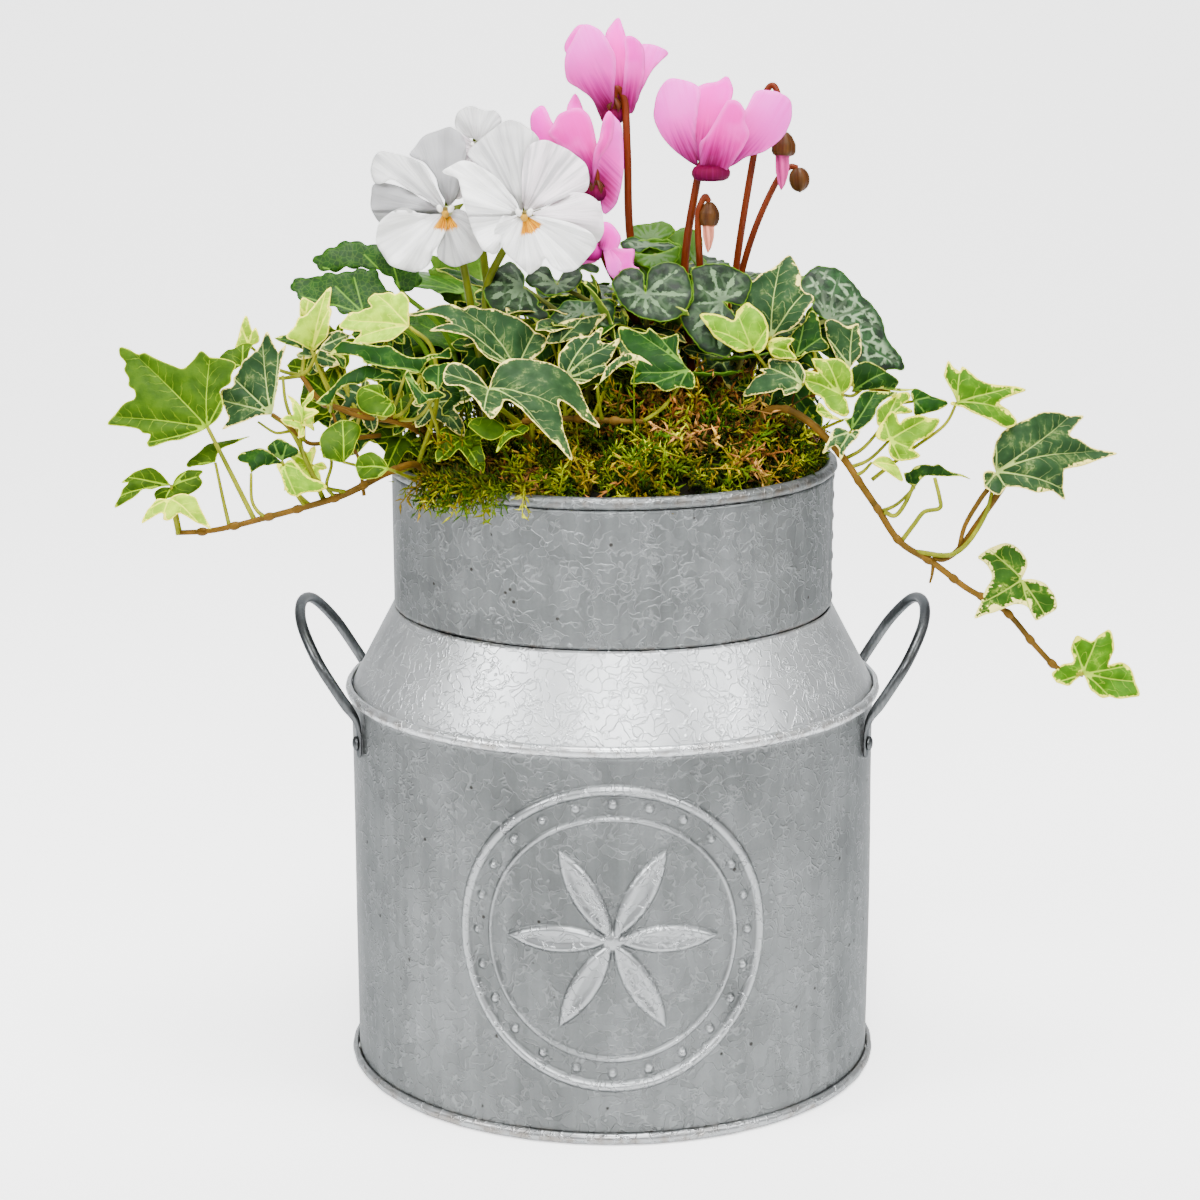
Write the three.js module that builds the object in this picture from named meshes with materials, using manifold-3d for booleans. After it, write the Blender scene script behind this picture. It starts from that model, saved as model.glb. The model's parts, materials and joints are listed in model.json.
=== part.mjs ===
// A mixed planting of cyclamen, pansies and ivy in a galvanised milk-churn planter.
// Millimetres, +Z up. The origin is the middle of the pot's flat underside and -Y is the front.
import * as THREE from "three";
import { mergeVertices } from "three/addons/utils/BufferGeometryUtils.js";
import Module from "manifold-3d";

const wasm = await Module();
wasm.setup();

// ---------------------------------------------------------------- driving dimensions

const GAP = 0.3; // left between two pieces that touch
const SHEET = 1.0; // thickness of the zinc-coated sheet
const ROUND = 40; // facets round the pot

const BODY_RADIUS = 110;
const BODY_TOP = 163;
const NECK_RADIUS = 91.6;
const NECK_BOTTOM = 199;
const RIM_HEIGHT = 257.4; // middle of the wired rim
const RIM_WIRE = 2.5;
const BEAD = { half: 2.5, proud: 2.5 }; // rolled beads at the foot and the shoulder
const MEDALLION_HEIGHT = 86; // middle of the pressed ring on the front
const MEDALLION_RADIUS = 61.5;
const MEDALLION_WIRE = 1.6;

const HANDLE_WIRE = 2.25;
const HANDLE_FOOT = { radius: 112.6, spread: 38, bottom: 157, lean: 0.625 };
const PLATE = { width: 7, height: 19, thickness: 1.8, top: 159 };
const RIVET = { height: 146, shank: 1.4, head: 3, length: 6 };

const SOIL_EDGE = 247;
const SOIL_CROWN = 262;
const MOSS_RADIUS = 88.2;
const MOSS_EDGE = 258;
const MOSS_RISE = 30;
const MOSS_SPREAD = 46;
const CROWN = [32, -2, 262]; // middle of the cyclamen tuber
const TUBER = { radius: 19, half: 11 };
const CROWN_HOLE = 21; // opening in the moss round the cyclamen stalks

const STALK = 1.5;
const PANSY_STEM = 1.2;
const PETIOLE = 0.9;
const IVY_STEM = 1.5;
const LEAF = 0.8; // thickness of a leaf blade
const PETAL = 0.8;

// ---------------------------------------------------------------- solids from geometry

// A three.js geometry as a solid that can be joined and cut.
function solid(geometry) {
  const bare = geometry.clone();
  bare.deleteAttribute("normal");
  bare.deleteAttribute("uv");
  const merged = mergeVertices(bare, 1e-4);
  const vertProperties = new Float32Array(merged.attributes.position.array);
  const triVerts = new Uint32Array(merged.index.array);
  return new wasm.Manifold(new wasm.Mesh({ numProp: 3, vertProperties, triVerts }));
}

// A solid back as a geometry that a mesh can carry.
function geometryOf(piece) {
  const { vertProperties, triVerts } = piece.getMesh();
  const geometry = new THREE.BufferGeometry();
  geometry.setAttribute("position", new THREE.BufferAttribute(vertProperties, 3));
  geometry.setIndex(new THREE.BufferAttribute(triVerts, 1));
  geometry.computeVertexNormals();
  return geometry;
}

const joined = (pieces) => pieces.reduce((whole, piece) => whole.add(piece));
const without = (piece, cutters) => cutters.reduce((rest, cutter) => rest.subtract(cutter), piece);
const vector = (point) => new THREE.Vector3(...point);

// A closed [radius, height] profile turned round the Z axis.
function turned(profile, facets = ROUND) {
  const points = profile.map(([r, z]) => new THREE.Vector2(r, z));
  const geometry = new THREE.LatheGeometry(points, facets);
  geometry.rotateX(Math.PI / 2);
  return solid(geometry);
}

// A round stem, stalk or wire along a smooth curve through the points.
function tube(points, radius, { sides = 5, steps = 8 } = {}) {
  const path = new THREE.CatmullRomCurve3(points.map(vector));
  const ring = [];
  for (let i = 0; i < sides; i++) {
    const angle = (i / sides) * 2 * Math.PI;
    ring.push(new THREE.Vector2(radius * Math.cos(angle), radius * Math.sin(angle)));
  }
  const settings = { steps, bevelEnabled: false, extrudePath: path };
  return solid(new THREE.ExtrudeGeometry(new THREE.Shape(ring), settings));
}

// Half outlines, from the joint at 0,0 to the tip at 0,1; the other half mirrors them.
const OUTLINES = {
  ivy: [[0, 0], [0.2, -0.12], [0.5, 0.08], [0.34, 0.26], [0.48, 0.55], [0.22, 0.56], [0, 1]],
  cyclamen: [[0, 0], [0.16, -0.2], [0.4, -0.14], [0.54, 0.2], [0.46, 0.62], [0.22, 0.9], [0, 1]],
  oval: [[0, 0], [0.3, 0.14], [0.5, 0.45], [0.38, 0.8], [0, 1]],
  petal: [[0, 0], [0.2, 0.1], [0.46, 0.56], [0.36, 0.9], [0, 1]],
};

// A thin blade of the given outline, in its own frame: Y runs to the tip and Z is its upper face.
// fold lifts the two sides and droop lowers the tip.
function blade({ shape, length, width, thickness, fold = 0.18, droop = 0.14 }) {
  const half = OUTLINES[shape];
  const mirrored = half.slice(1, -1).reverse().map(([x, y]) => [-x, y]);
  const outline = [...half, ...mirrored];
  const centre = [0, 0.36];
  const rings = shape === "petal" || length < 30 ? [1] : [0.55, 1];
  const flat = [centre];
  for (const ring of rings) {
    for (const [x, y] of outline) flat.push([x * ring, centre[1] + (y - centre[1]) * ring]);
  }
  const rise = (x, y) => (fold * Math.abs(x) - droop * y * y) * length;
  const vertices = [];
  for (const side of [thickness / 2, -thickness / 2]) {
    for (const [x, y] of flat) vertices.push(x * width, y * length, rise(x, y) + side);
  }
  return solid(bladeGeometry(vertices, outline.length, rings.length, flat.length));
}

// Triangles of a blade: a fan at the centre, bands between the rings, and the cut edge.
function bladeGeometry(vertices, around, rings, layer) {
  const index = [];
  const face = (a, b, c) => index.push(a, b, c, layer + a, layer + c, layer + b);
  for (let i = 0; i < around; i++) {
    const next = (i + 1) % around;
    face(0, 1 + i, 1 + next);
    for (let ring = 1; ring < rings; ring++) {
      const inner = 1 + (ring - 1) * around;
      const outer = 1 + ring * around;
      face(inner + i, outer + i, outer + next);
      face(inner + i, outer + next, inner + next);
    }
    const edge = 1 + (rings - 1) * around;
    index.push(edge + i, layer + edge + i, layer + edge + next);
    index.push(edge + i, layer + edge + next, edge + next);
  }
  const geometry = new THREE.BufferGeometry();
  geometry.setAttribute("position", new THREE.Float32BufferAttribute(vertices, 3));
  geometry.setIndex(index);
  return geometry;
}

// The blade placed with its joint at base, its tip towards tip and its upper face towards face.
function placedBlade({ base, tip, face, spread = 1, ...rest }) {
  const along = vector(tip).sub(vector(base));
  const length = along.length();
  along.normalize();
  const up = vector(face).addScaledVector(along, -vector(face).dot(along)).normalize();
  const across = new THREE.Vector3().crossVectors(along, up);
  const matrix = new THREE.Matrix4().makeBasis(across, along, up).setPosition(vector(base));
  return blade({ length, width: length * spread, ...rest }).transform(matrix.elements);
}

// A leaf: its blade and the petiole that runs from the blade's joint to its foot.
function leaf(spec) {
  const { foot = [], petiole = PETIOLE, shape = "ivy" } = spec;
  const plate = placedBlade({ ...spec, shape, thickness: LEAF });
  if (!foot.length) return plate;
  return plate.add(tube([spec.base, ...foot], petiole, { sides: 4, steps: foot.length * 2 }));
}

// ---------------------------------------------------------------- the churn

const slope = (BODY_RADIUS - NECK_RADIUS) / (NECK_BOTTOM - BODY_TOP);
const coneRadius = (z) => BODY_RADIUS - (z - BODY_TOP) * slope;
const NECK_TOP = RIM_HEIGHT - RIM_WIRE - GAP;
const RIM_RADIUS = NECK_RADIUS - SHEET / 2;

function churnBase() {
  const radius = BODY_RADIUS - SHEET - GAP;
  return turned([[0, 0], [radius, 0], [radius, SHEET], [0, SHEET]]);
}

// The pressed ring stands out of the sheet, so it is a round wire laid on the front of the wall.
function medallionRing() {
  const points = [];
  const count = 24;
  for (let i = 0; i < count; i++) {
    const angle = (i / count) * 2 * Math.PI;
    const turn = (MEDALLION_RADIUS * Math.cos(angle)) / BODY_RADIUS;
    const z = MEDALLION_HEIGHT + MEDALLION_RADIUS * Math.sin(angle);
    points.push(new THREE.Vector3(BODY_RADIUS * Math.sin(turn), -BODY_RADIUS * Math.cos(turn), z));
  }
  const path = new THREE.CatmullRomCurve3(points, true);
  const ring = new THREE.Shape();
  ring.absarc(0, 0, MEDALLION_WIRE, 0, 2 * Math.PI);
  const settings = { steps: count, curveSegments: 3, bevelEnabled: false, extrudePath: path };
  return solid(new THREE.ExtrudeGeometry(ring, settings));
}

// The four places where a handle foot is riveted: its side, and its angle from the X axis.
const footAngle = Math.asin(HANDLE_FOOT.spread / HANDLE_FOOT.radius);
const FEET = [];
for (const side of [-1, 1]) {
  for (const end of [-1, 1]) {
    FEET.push({ side, end, turn: side > 0 ? end * footAngle : Math.PI - end * footAngle });
  }
}

// A rivet axis points outwards along X before it is turned to its place.
function atFoot(piece, turn) {
  return piece.rotate([0, 0, THREE.MathUtils.radToDeg(turn)]);
}

function rivetHole(turn) {
  const hole = new THREE.CylinderGeometry(RIVET.shank + GAP, RIVET.shank + GAP, 12, 6);
  hole.rotateZ(-Math.PI / 2);
  hole.translate(BODY_RADIUS, 0, RIVET.height);
  return atFoot(solid(hole), turn);
}

function churnBody() {
  const wall = turned([
    [BODY_RADIUS - SHEET, GAP],
    [BODY_RADIUS, GAP],
    [BODY_RADIUS, BODY_TOP - GAP],
    [BODY_RADIUS - SHEET, BODY_TOP - GAP],
    [BODY_RADIUS - SHEET, GAP],
  ]);
  return without(wall.add(medallionRing()), FEET.map(({ turn }) => rivetHole(turn)));
}

function churnShoulder() {
  return turned([
    [coneRadius(BODY_TOP) - SHEET, BODY_TOP],
    [coneRadius(BODY_TOP), BODY_TOP],
    [NECK_RADIUS, NECK_BOTTOM - GAP],
    [NECK_RADIUS - SHEET, NECK_BOTTOM - GAP],
    [coneRadius(BODY_TOP) - SHEET, BODY_TOP],
  ]);
}

function churnNeck() {
  return turned([
    [NECK_RADIUS - SHEET, NECK_BOTTOM],
    [NECK_RADIUS, NECK_BOTTOM],
    [NECK_RADIUS, NECK_TOP],
    [NECK_RADIUS - SHEET, NECK_TOP],
    [NECK_RADIUS - SHEET, NECK_BOTTOM],
  ]);
}

// A rolled bead hugs the wall with a flat inner side and a rounded outer one.
function rolledBead(height) {
  const inner = BODY_RADIUS + GAP;
  const outer = BODY_RADIUS + BEAD.proud;
  return turned([
    [inner, height - BEAD.half], [outer, height - 1.6], [outer, height + 1.6], [inner, height + BEAD.half],
    [inner, height - BEAD.half],
  ]);
}

// The sheet is curled over a wire at the rim.
function rimBead() {
  const sides = 6;
  const section = [];
  for (let i = 0; i <= sides; i++) {
    const angle = ((i % sides) / sides) * 2 * Math.PI + Math.PI / sides;
    section.push([RIM_RADIUS + RIM_WIRE * Math.cos(angle), RIM_HEIGHT + RIM_WIRE * Math.sin(angle)]);
  }
  return turned(section);
}

// A bent wire loop that leans outwards, with a flattened, riveted foot at each end.
function handle(side) {
  const { spread, bottom, lean, radius } = HANDLE_FOOT;
  const footX = Math.sqrt(radius ** 2 - spread ** 2);
  const at = (y, z) => [side * (footX + lean * (z - bottom)), y, z];
  const half = [at(spread, bottom - 2), at(spread + 2, 168), at(spread, 181), at(24, 193)];
  const other = half.map(([x, y, z]) => [x, -y, z]).reverse();
  const wire = tube([...half, at(0, 197), ...other], HANDLE_WIRE, { sides: 7, steps: 26 });
  const feet = FEET.filter((foot) => foot.side === side).map(({ turn }) => {
    const plate = new THREE.BoxGeometry(PLATE.thickness, PLATE.width, PLATE.height);
    const out = BODY_RADIUS + GAP + PLATE.thickness / 2;
    plate.translate(out, 0, PLATE.top - PLATE.height / 2);
    return atFoot(solid(plate), turn);
  });
  const clear = BODY_RADIUS + GAP;
  const wall = turned([[0, 0], [clear, 0], [clear, BODY_TOP], [0, BODY_TOP]]);
  const holes = FEET.map(({ turn }) => rivetHole(turn));
  return without(joined([wire, ...feet]), [...holes, wall]);
}

// A shank through plate and wall, with a domed head outside and a flat tail inside.
function rivet(turn) {
  const { shank, head, length, height } = RIVET;
  const outside = BODY_RADIUS + GAP + PLATE.thickness + GAP;
  const inside = outside - length;
  const profile = [
    [0, inside], [head - 0.6, inside], [head - 0.6, inside + 1], [shank, inside + 1],
    [shank, outside], [head, outside], [0, outside + 1.5],
  ];
  const points = profile.map(([r, z]) => new THREE.Vector2(r, z));
  const geometry = new THREE.LatheGeometry(points, 6);
  geometry.rotateZ(-Math.PI / 2);
  geometry.translate(0, 0, height);
  return atFoot(solid(geometry), turn);
}

// ---------------------------------------------------------------- soil, moss and tuber

const soilTop = (r) => SOIL_EDGE + (SOIL_CROWN - SOIL_EDGE) * (1 - (r / NECK_RADIUS) ** 2);

function pottingSoil() {
  const wide = BODY_RADIUS - SHEET - 2.6;
  const narrow = NECK_RADIUS - SHEET - 1;
  const bottom = SHEET + GAP;
  return turned([
    [0, bottom], [wide, bottom], [wide, BODY_TOP - 3], [narrow, NECK_BOTTOM - 3],
    [narrow, SOIL_EDGE - 6], [narrow * 0.6, soilTop(narrow * 0.6)], [0, SOIL_CROWN],
  ], 24);
}

const mossTop = (x, y) => {
  const away = ((x - CROWN[0]) ** 2 + (y - CROWN[1]) ** 2) / (2 * MOSS_SPREAD ** 2);
  const edge = Math.min(1, (MOSS_RADIUS - Math.hypot(x, y)) / 12);
  return MOSS_EDGE - 4 + 4 * edge + MOSS_RISE * Math.exp(-away);
};

// A mound of moss over the soil, lying against the inside of the neck.
function mossMat() {
  const around = 20;
  const rings = [0.5, 0.85, 1];
  const vertices = [];
  for (const [under, ringList] of [[false, [0, ...rings]], [true, [0, ...rings]]]) {
    ringList.forEach((ring, level) => {
      for (let i = 0; i < (level === 0 ? 1 : around); i++) {
        const angle = (i / around) * 2 * Math.PI;
        const x = MOSS_RADIUS * ring * Math.cos(angle);
        const y = MOSS_RADIUS * ring * Math.sin(angle);
        vertices.push(x, y, under ? soilTop(Math.hypot(x, y)) + GAP + 1.2 : mossTop(x, y));
      }
    });
  }
  return solid(bladeGeometry(vertices, around, rings.length, 1 + rings.length * around));
}

function tuber(grow = 0) {
  const ball = new THREE.SphereGeometry(1, 16, 8);
  ball.rotateX(Math.PI / 2);
  ball.scale(TUBER.radius + grow, TUBER.radius + grow, TUBER.half + grow);
  ball.translate(...CROWN);
  return solid(ball);
}

function crownHole() {
  const hole = new THREE.CylinderGeometry(CROWN_HOLE, CROWN_HOLE, 70, 16);
  hole.rotateX(Math.PI / 2);
  hole.translate(...CROWN);
  return solid(hole);
}

// ---------------------------------------------------------------- cyclamen

// Flower stalks leave the tuber on an inner ring and petioles on an outer one.
const INNER_RING = 7.5;
const OUTER_RING = 12.5;

// The foot of a stalk just inside the tuber's skin, on its ring at the given bearing.
function crownPoint({ ring = OUTER_RING, bearing }) {
  const angle = THREE.MathUtils.degToRad(bearing);
  return [CROWN[0] + ring * Math.cos(angle), CROWN[1] + ring * Math.sin(angle), CROWN[2] + 6];
}

// Each stalk's points above the tuber, then the flower's nose and the tips of its five petals.
const FLOWERS = [
  {
    bearing: 182,
    stalk: [[20, -4, 300], [8, -10, 345], [6, -10, 385], [5, -8, 405], [2, -8, 411], [0.5, -8, 407]],
    nose: [1, -8, 398],
    tips: [[-11, -18, 435], [-20, -2, 427], [2, 6, 438], [12, -12, 428], [25, 2, 424]],
  },
  {
    bearing: 278,
    stalk: [[32, -15, 300], [29, -24, 340], [33, -27, 372], [36, -28, 384], [38.5, -29, 386], [39, -29, 382]],
    nose: [39, -30, 376],
    tips: [[17, -36, 402], [26, -24, 416], [44, -16, 414], [53, -40, 396], [69, -24, 402]],
  },
  {
    bearing: 150,
    stalk: [[20, 4, 300], [-2, -6, 340], [-8, -14, 366], [-8, -17, 377], [-7, -19, 379.5], [-6.5, -20, 375]],
    nose: [-7, -20, 368],
    tips: [[-31, -18, 395], [-20, -28, 400], [-15, -6, 408], [-2, -30, 396], [9, -25, 385]],
  },
  {
    bearing: 245,
    stalk: [[22, -13, 296], [6, -28, 326], [-1, -30, 346], [-4, -31, 357], [-6, -32, 359], [-7.5, -33, 357]],
    nose: [-8, -34, 349],
    tips: [[-6, -48, 366], [-18, -36, 361], [4, -30, 362], [12, -43, 348], [6, -36, 338]],
  },
];

const BUDS = [
  {
    bearing: 312,
    stalk: [[38, -16, 300], [35, -31, 342], [34, -33, 362], [36.5, -33, 370], [38.5, -33, 368]],
    tip: [38, -34, 347],
  },
  {
    bearing: 0,
    stalk: [[46, -2, 300], [52, -4, 350], [59, -8, 396], [61.5, -8, 409], [65, -9, 412], [68, -10, 403]],
    tip: [65, -14, 375],
  },
  {
    bearing: 45,
    stalk: [[45, 9, 300], [56, 8, 345], [66, 8, 370], [72, 8, 378], [76, 8, 378]],
    tip: [77, 8, 366],
  },
];

const stalkPoints = (entry) => [crownPoint({ ...entry, ring: INNER_RING }), ...entry.stalk];
const stalkTube = (entry, radius) => tube(stalkPoints(entry), radius, { steps: 16 });
const flowerStalk = (entry) => stalkTube(entry, STALK).subtract(tuber(GAP));
const stalkSocket = (entry) => stalkTube(entry, STALK + 2 * GAP);

// Five petals swept up from a short round nose that points down.
function cyclamenFlower({ nose, tips }) {
  const cup = new THREE.SphereGeometry(1, 7, 5);
  cup.rotateX(Math.PI / 2);
  cup.scale(6, 6, 5.5);
  cup.translate(...nose);
  const petals = tips.map((tip) => {
    const base = [0, 1, 2].map((i) => nose[i] + (tip[i] - nose[i]) * 0.06);
    const face = [tip[0] - nose[0], tip[1] - nose[1], 8];
    const spec = { base, tip, face, spread: 0.5 };
    return placedBlade({ ...spec, shape: "petal", thickness: PETAL, fold: 0.1, droop: 0 });
  });
  return joined([solid(cup), ...petals]);
}

// A closed bud hanging from its hooked stalk, as one grown piece.
function cyclamenBud(entry) {
  const { stalk, tip } = entry;
  const hook = stalk.at(-1);
  const middle = hook.map((value, i) => (value + tip[i]) / 2);
  const pod = new THREE.SphereGeometry(1, 7, 5);
  pod.rotateX(Math.PI / 2);
  pod.scale(3.6, 3.6, (hook[2] - tip[2]) / 2);
  pod.translate(...middle);
  const stem = tube([...stalkPoints(entry), middle], STALK - 0.2, { sides: 4, steps: 15 });
  return stem.add(solid(pod)).subtract(tuber(GAP));
}

// Each leaf's blade, then its petiole down to the tuber.
const CYCLAMEN_LEAVES = [
  {
    base: [-24, -24, 324], tip: [-46, -34, 335], face: [0, -0.8, 0.6],
    foot: [[-8, -18, 312], [12, -6, 290]], bearing: 190,
  },
  {
    base: [-14, -35, 339], tip: [-37, -41, 343], face: [0, -0.5, 0.85],
    foot: [[-4, -20, 322], [15, -9, 292]], bearing: 209,
  },
  {
    base: [1, -42, 318], tip: [-23, -47, 325], face: [0, -0.6, 0.8],
    foot: [[8, -28, 308], [19, -15, 288]], bearing: 229,
  },
  {
    base: [12, -48, 333], tip: [34, -42, 341], face: [-0.1, -0.8, 0.6],
    foot: [[14, -36, 318], [25, -19, 290]], bearing: 249,
  },
  {
    base: [21, -20, 341], tip: [3, -32, 352], face: [0.3, -0.1, 0.95],
    foot: [[25, -11, 322], [26, -7, 300]], bearing: 213, ring: INNER_RING,
  },
  {
    base: [52, -46, 324], tip: [33, -54, 337], face: [0.1, -0.85, 0.5],
    foot: [[52, -34, 306], [42, -17, 288]], bearing: 300,
  },
  {
    base: [86, -10, 319], tip: [118, -22, 303], face: [0.3, -0.6, 0.7],
    foot: [[68, -6, 308], [50, -5, 288]], bearing: 345,
  },
  {
    base: [62, 34, 330], tip: [90, 58, 322], face: [0.3, 0.3, 0.9],
    foot: [[54, 24, 314], [44, 12, 290]], bearing: 60,
  },
  {
    base: [0, 32, 326], tip: [-26, 62, 320], face: [-0.2, 0.4, 0.9],
    foot: [[12, 22, 308], [22, 10, 288]], bearing: 130,
  },
  {
    base: [38, 46, 318], tip: [44, 84, 304], face: [0, 0.5, 0.85],
    foot: [[36, 32, 304], [33, 16, 286]], bearing: 95,
  },
];

function cyclamenLeaf(spec) {
  const foot = [...spec.foot, crownPoint(spec)];
  return leaf({ ...spec, foot, petiole: 1.3, shape: "cyclamen", fold: 0.12 }).subtract(tuber(GAP));
}

// ---------------------------------------------------------------- pansies

const PANSIES = [
  { centre: [-65, -42, 365], face: [-0.15, -0.97, 0.15], size: 34 },
  { centre: [-33, -54, 364], face: [0.12, -0.97, 0.18], size: 38 },
  { centre: [-54, -18, 390], face: [-0.05, -0.9, 0.4], size: 20 },
];
const PANSY_STEMS = [
  [[-64.5, -40, 364.5], [-61, -34, 350], [-57, -32, 328], [-52, -27, 290], [-50, -24, 240]],
  [[-33, -48, 363], [-36, -39, 358], [-45, -33, 346], [-51, -31, 328], [-46, -22, 290], [-44, -18, 240]],
  [[-54, -16, 389.5], [-55, -10, 370], [-52, -10, 340], [-46, -10, 290], [-46, -10, 240]],
];
// Each petal's turn from straight up, its length and its width, against the flower's size.
const PANSY_PETALS = [
  { turn: 38, length: 0.95, width: 1.0 },
  { turn: -38, length: 0.95, width: 1.0 },
  { turn: 100, length: 0.8, width: 0.85 },
  { turn: -100, length: 0.8, width: 0.85 },
  { turn: 180, length: 0.85, width: 1.25 },
];

function pansyFlower({ centre, face, size }) {
  const front = vector(face).normalize();
  const across = new THREE.Vector3(0, 0, 1).cross(front).normalize();
  const up = front.clone().cross(across);
  const petals = PANSY_PETALS.map(({ turn, length, width }, i) => {
    const angle = THREE.MathUtils.degToRad(turn);
    const reach = up.clone().multiplyScalar(Math.cos(angle)).addScaledVector(across, Math.sin(angle));
    const base = vector(centre).addScaledVector(front, (i - 2) * 1.1);
    const tip = base.clone().addScaledVector(reach, size * length);
    const spec = { base: base.toArray(), tip: tip.toArray(), face: front.toArray() };
    const spread = width / length;
    return placedBlade({ ...spec, spread, shape: "petal", thickness: PETAL, fold: 0.06, droop: 0.08 });
  });
  const throat = new THREE.SphereGeometry(3.2, 8, 5);
  throat.translate(...centre);
  return joined([solid(throat), ...petals]);
}

const pansyStem = (points, grow = 0) => tube(points, PANSY_STEM + grow, { steps: 12 });

const PANSY_LEAVES = [
  {
    base: [-82, -24, 334], tip: [-118, -20, 344], face: [0.1, -0.5, 0.85],
    foot: [[-66, -20, 310], [-56, -16, 262]],
  },
  {
    base: [-92, -36, 333], tip: [-127, -40, 337], face: [0, -0.7, 0.7],
    foot: [[-76, -32, 310], [-62, -26, 262]],
  },
  {
    base: [-62, 12, 326], tip: [-92, 34, 336], face: [-0.3, 0.3, 0.9],
    foot: [[-54, 4, 300], [-50, -2, 262]],
  },
];

const pansyLeaf = (spec) => leaf({ ...spec, spread: 0.5, shape: "oval", fold: 0.12 });

// ---------------------------------------------------------------- ivy

const IVY_STEMS = {
  left_trail: [
    [-66, -36, 240], [-76, -46, 263], [-88, -58, 264], [-107, -68, 256],
    [-136, -65, 247], [-158, -62, 241], [-174, -58, 239],
  ],
  left_upper: [
    [-64, -24, 240], [-70, -32, 270], [-85, -40, 281],
    [-101, -44, 285], [-116, -46, 290], [-124, -44, 300],
  ],
  front: [[-28, -50, 240], [-30, -54, 268], [-36, -60, 283], [-22, -63, 286], [-4, -67, 286], [12, -70, 286]],
  right_trail: [
    [52, -36, 240], [58, -42, 280], [68, -46, 287], [80, -50, 281], [91, -58, 270],
    [98, -62, 260], [105, -64, 250], [114, -66, 237], [128, -66, 228], [141, -65, 218],
    [157, -62, 208], [170, -60, 193], [180, -58, 183], [190, -56, 180],
  ],
  right_upper: [
    [66, -20, 240], [68, -26, 280], [72, -34, 296],
    [84, -38, 300], [98, -40, 296], [112, -40, 292],
  ],
  back: [[-30, 52, 240], [-34, 66, 268], [-38, 86, 270], [-42, 102, 262], [-48, 112, 244], [-56, 116, 222]],
};

const ivyStem = (name, grow = 0) => {
  const points = IVY_STEMS[name];
  return tube(points, IVY_STEM + grow, { steps: 2 * points.length });
};

// Large ivy leaves, each with the stem that its petiole joins.
const IVY_LEAVES = {
  ivy_leaf_left_end: {
    on: "left_trail",
    base: [-160, -60, 282], tip: [-195, -50, 312], face: [0, -0.94, 0.34],
    foot: [[-152, -62, 266], [-142, -64, 245.5]],
  },
  ivy_leaf_left_high: {
    on: "left_trail",
    base: [-135, -55, 287], tip: [-138, -45, 321], face: [0, -0.95, 0.3],
    foot: [[-126, -60, 279], [-114, -67, 254]],
  },
  ivy_leaf_left_lime: {
    on: "left_trail",
    base: [-80, -54, 321], tip: [-107, -58, 325], face: [0, -0.85, 0.5],
    foot: [[-71, -54, 312], [-70, -50, 290], [-78, -48, 264]],
  },
  ivy_leaf_front_large: {
    on: "front",
    base: [-48, -78, 296], tip: [-16, -95, 275], face: [0.12, -0.66, 0.74],
    foot: [[-45, -68, 292], [-36, -60, 283]],
  },
  ivy_leaf_front_upper: {
    on: "front",
    base: [-37, -53, 311], tip: [-79, -62, 332], face: [0.3, -0.6, 0.72], spread: 0.7,
    foot: [[-32, -54, 300], [-32, -56, 274]],
  },
  ivy_leaf_right_top: {
    on: "right_upper",
    base: [62, -36, 316], tip: [71, -22, 347], face: [-0.1, -0.85, 0.5],
    foot: [[66, -33, 304], [69, -28, 285]],
  },
  ivy_leaf_right_large: {
    on: "right_trail",
    base: [151, -66, 266], tip: [201, -54, 272], face: [0.14, -0.84, 0.52],
    foot: [[147, -68, 248], [136, -68, 233], [120, -66, 233]],
  },
  ivy_leaf_right_end: {
    on: "right_trail",
    base: [190, -59, 183], tip: [202, -52, 203], face: [0.05, -0.95, 0.3], spread: 1.3,
    foot: [[187, -58, 180.5]],
  },
};

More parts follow.
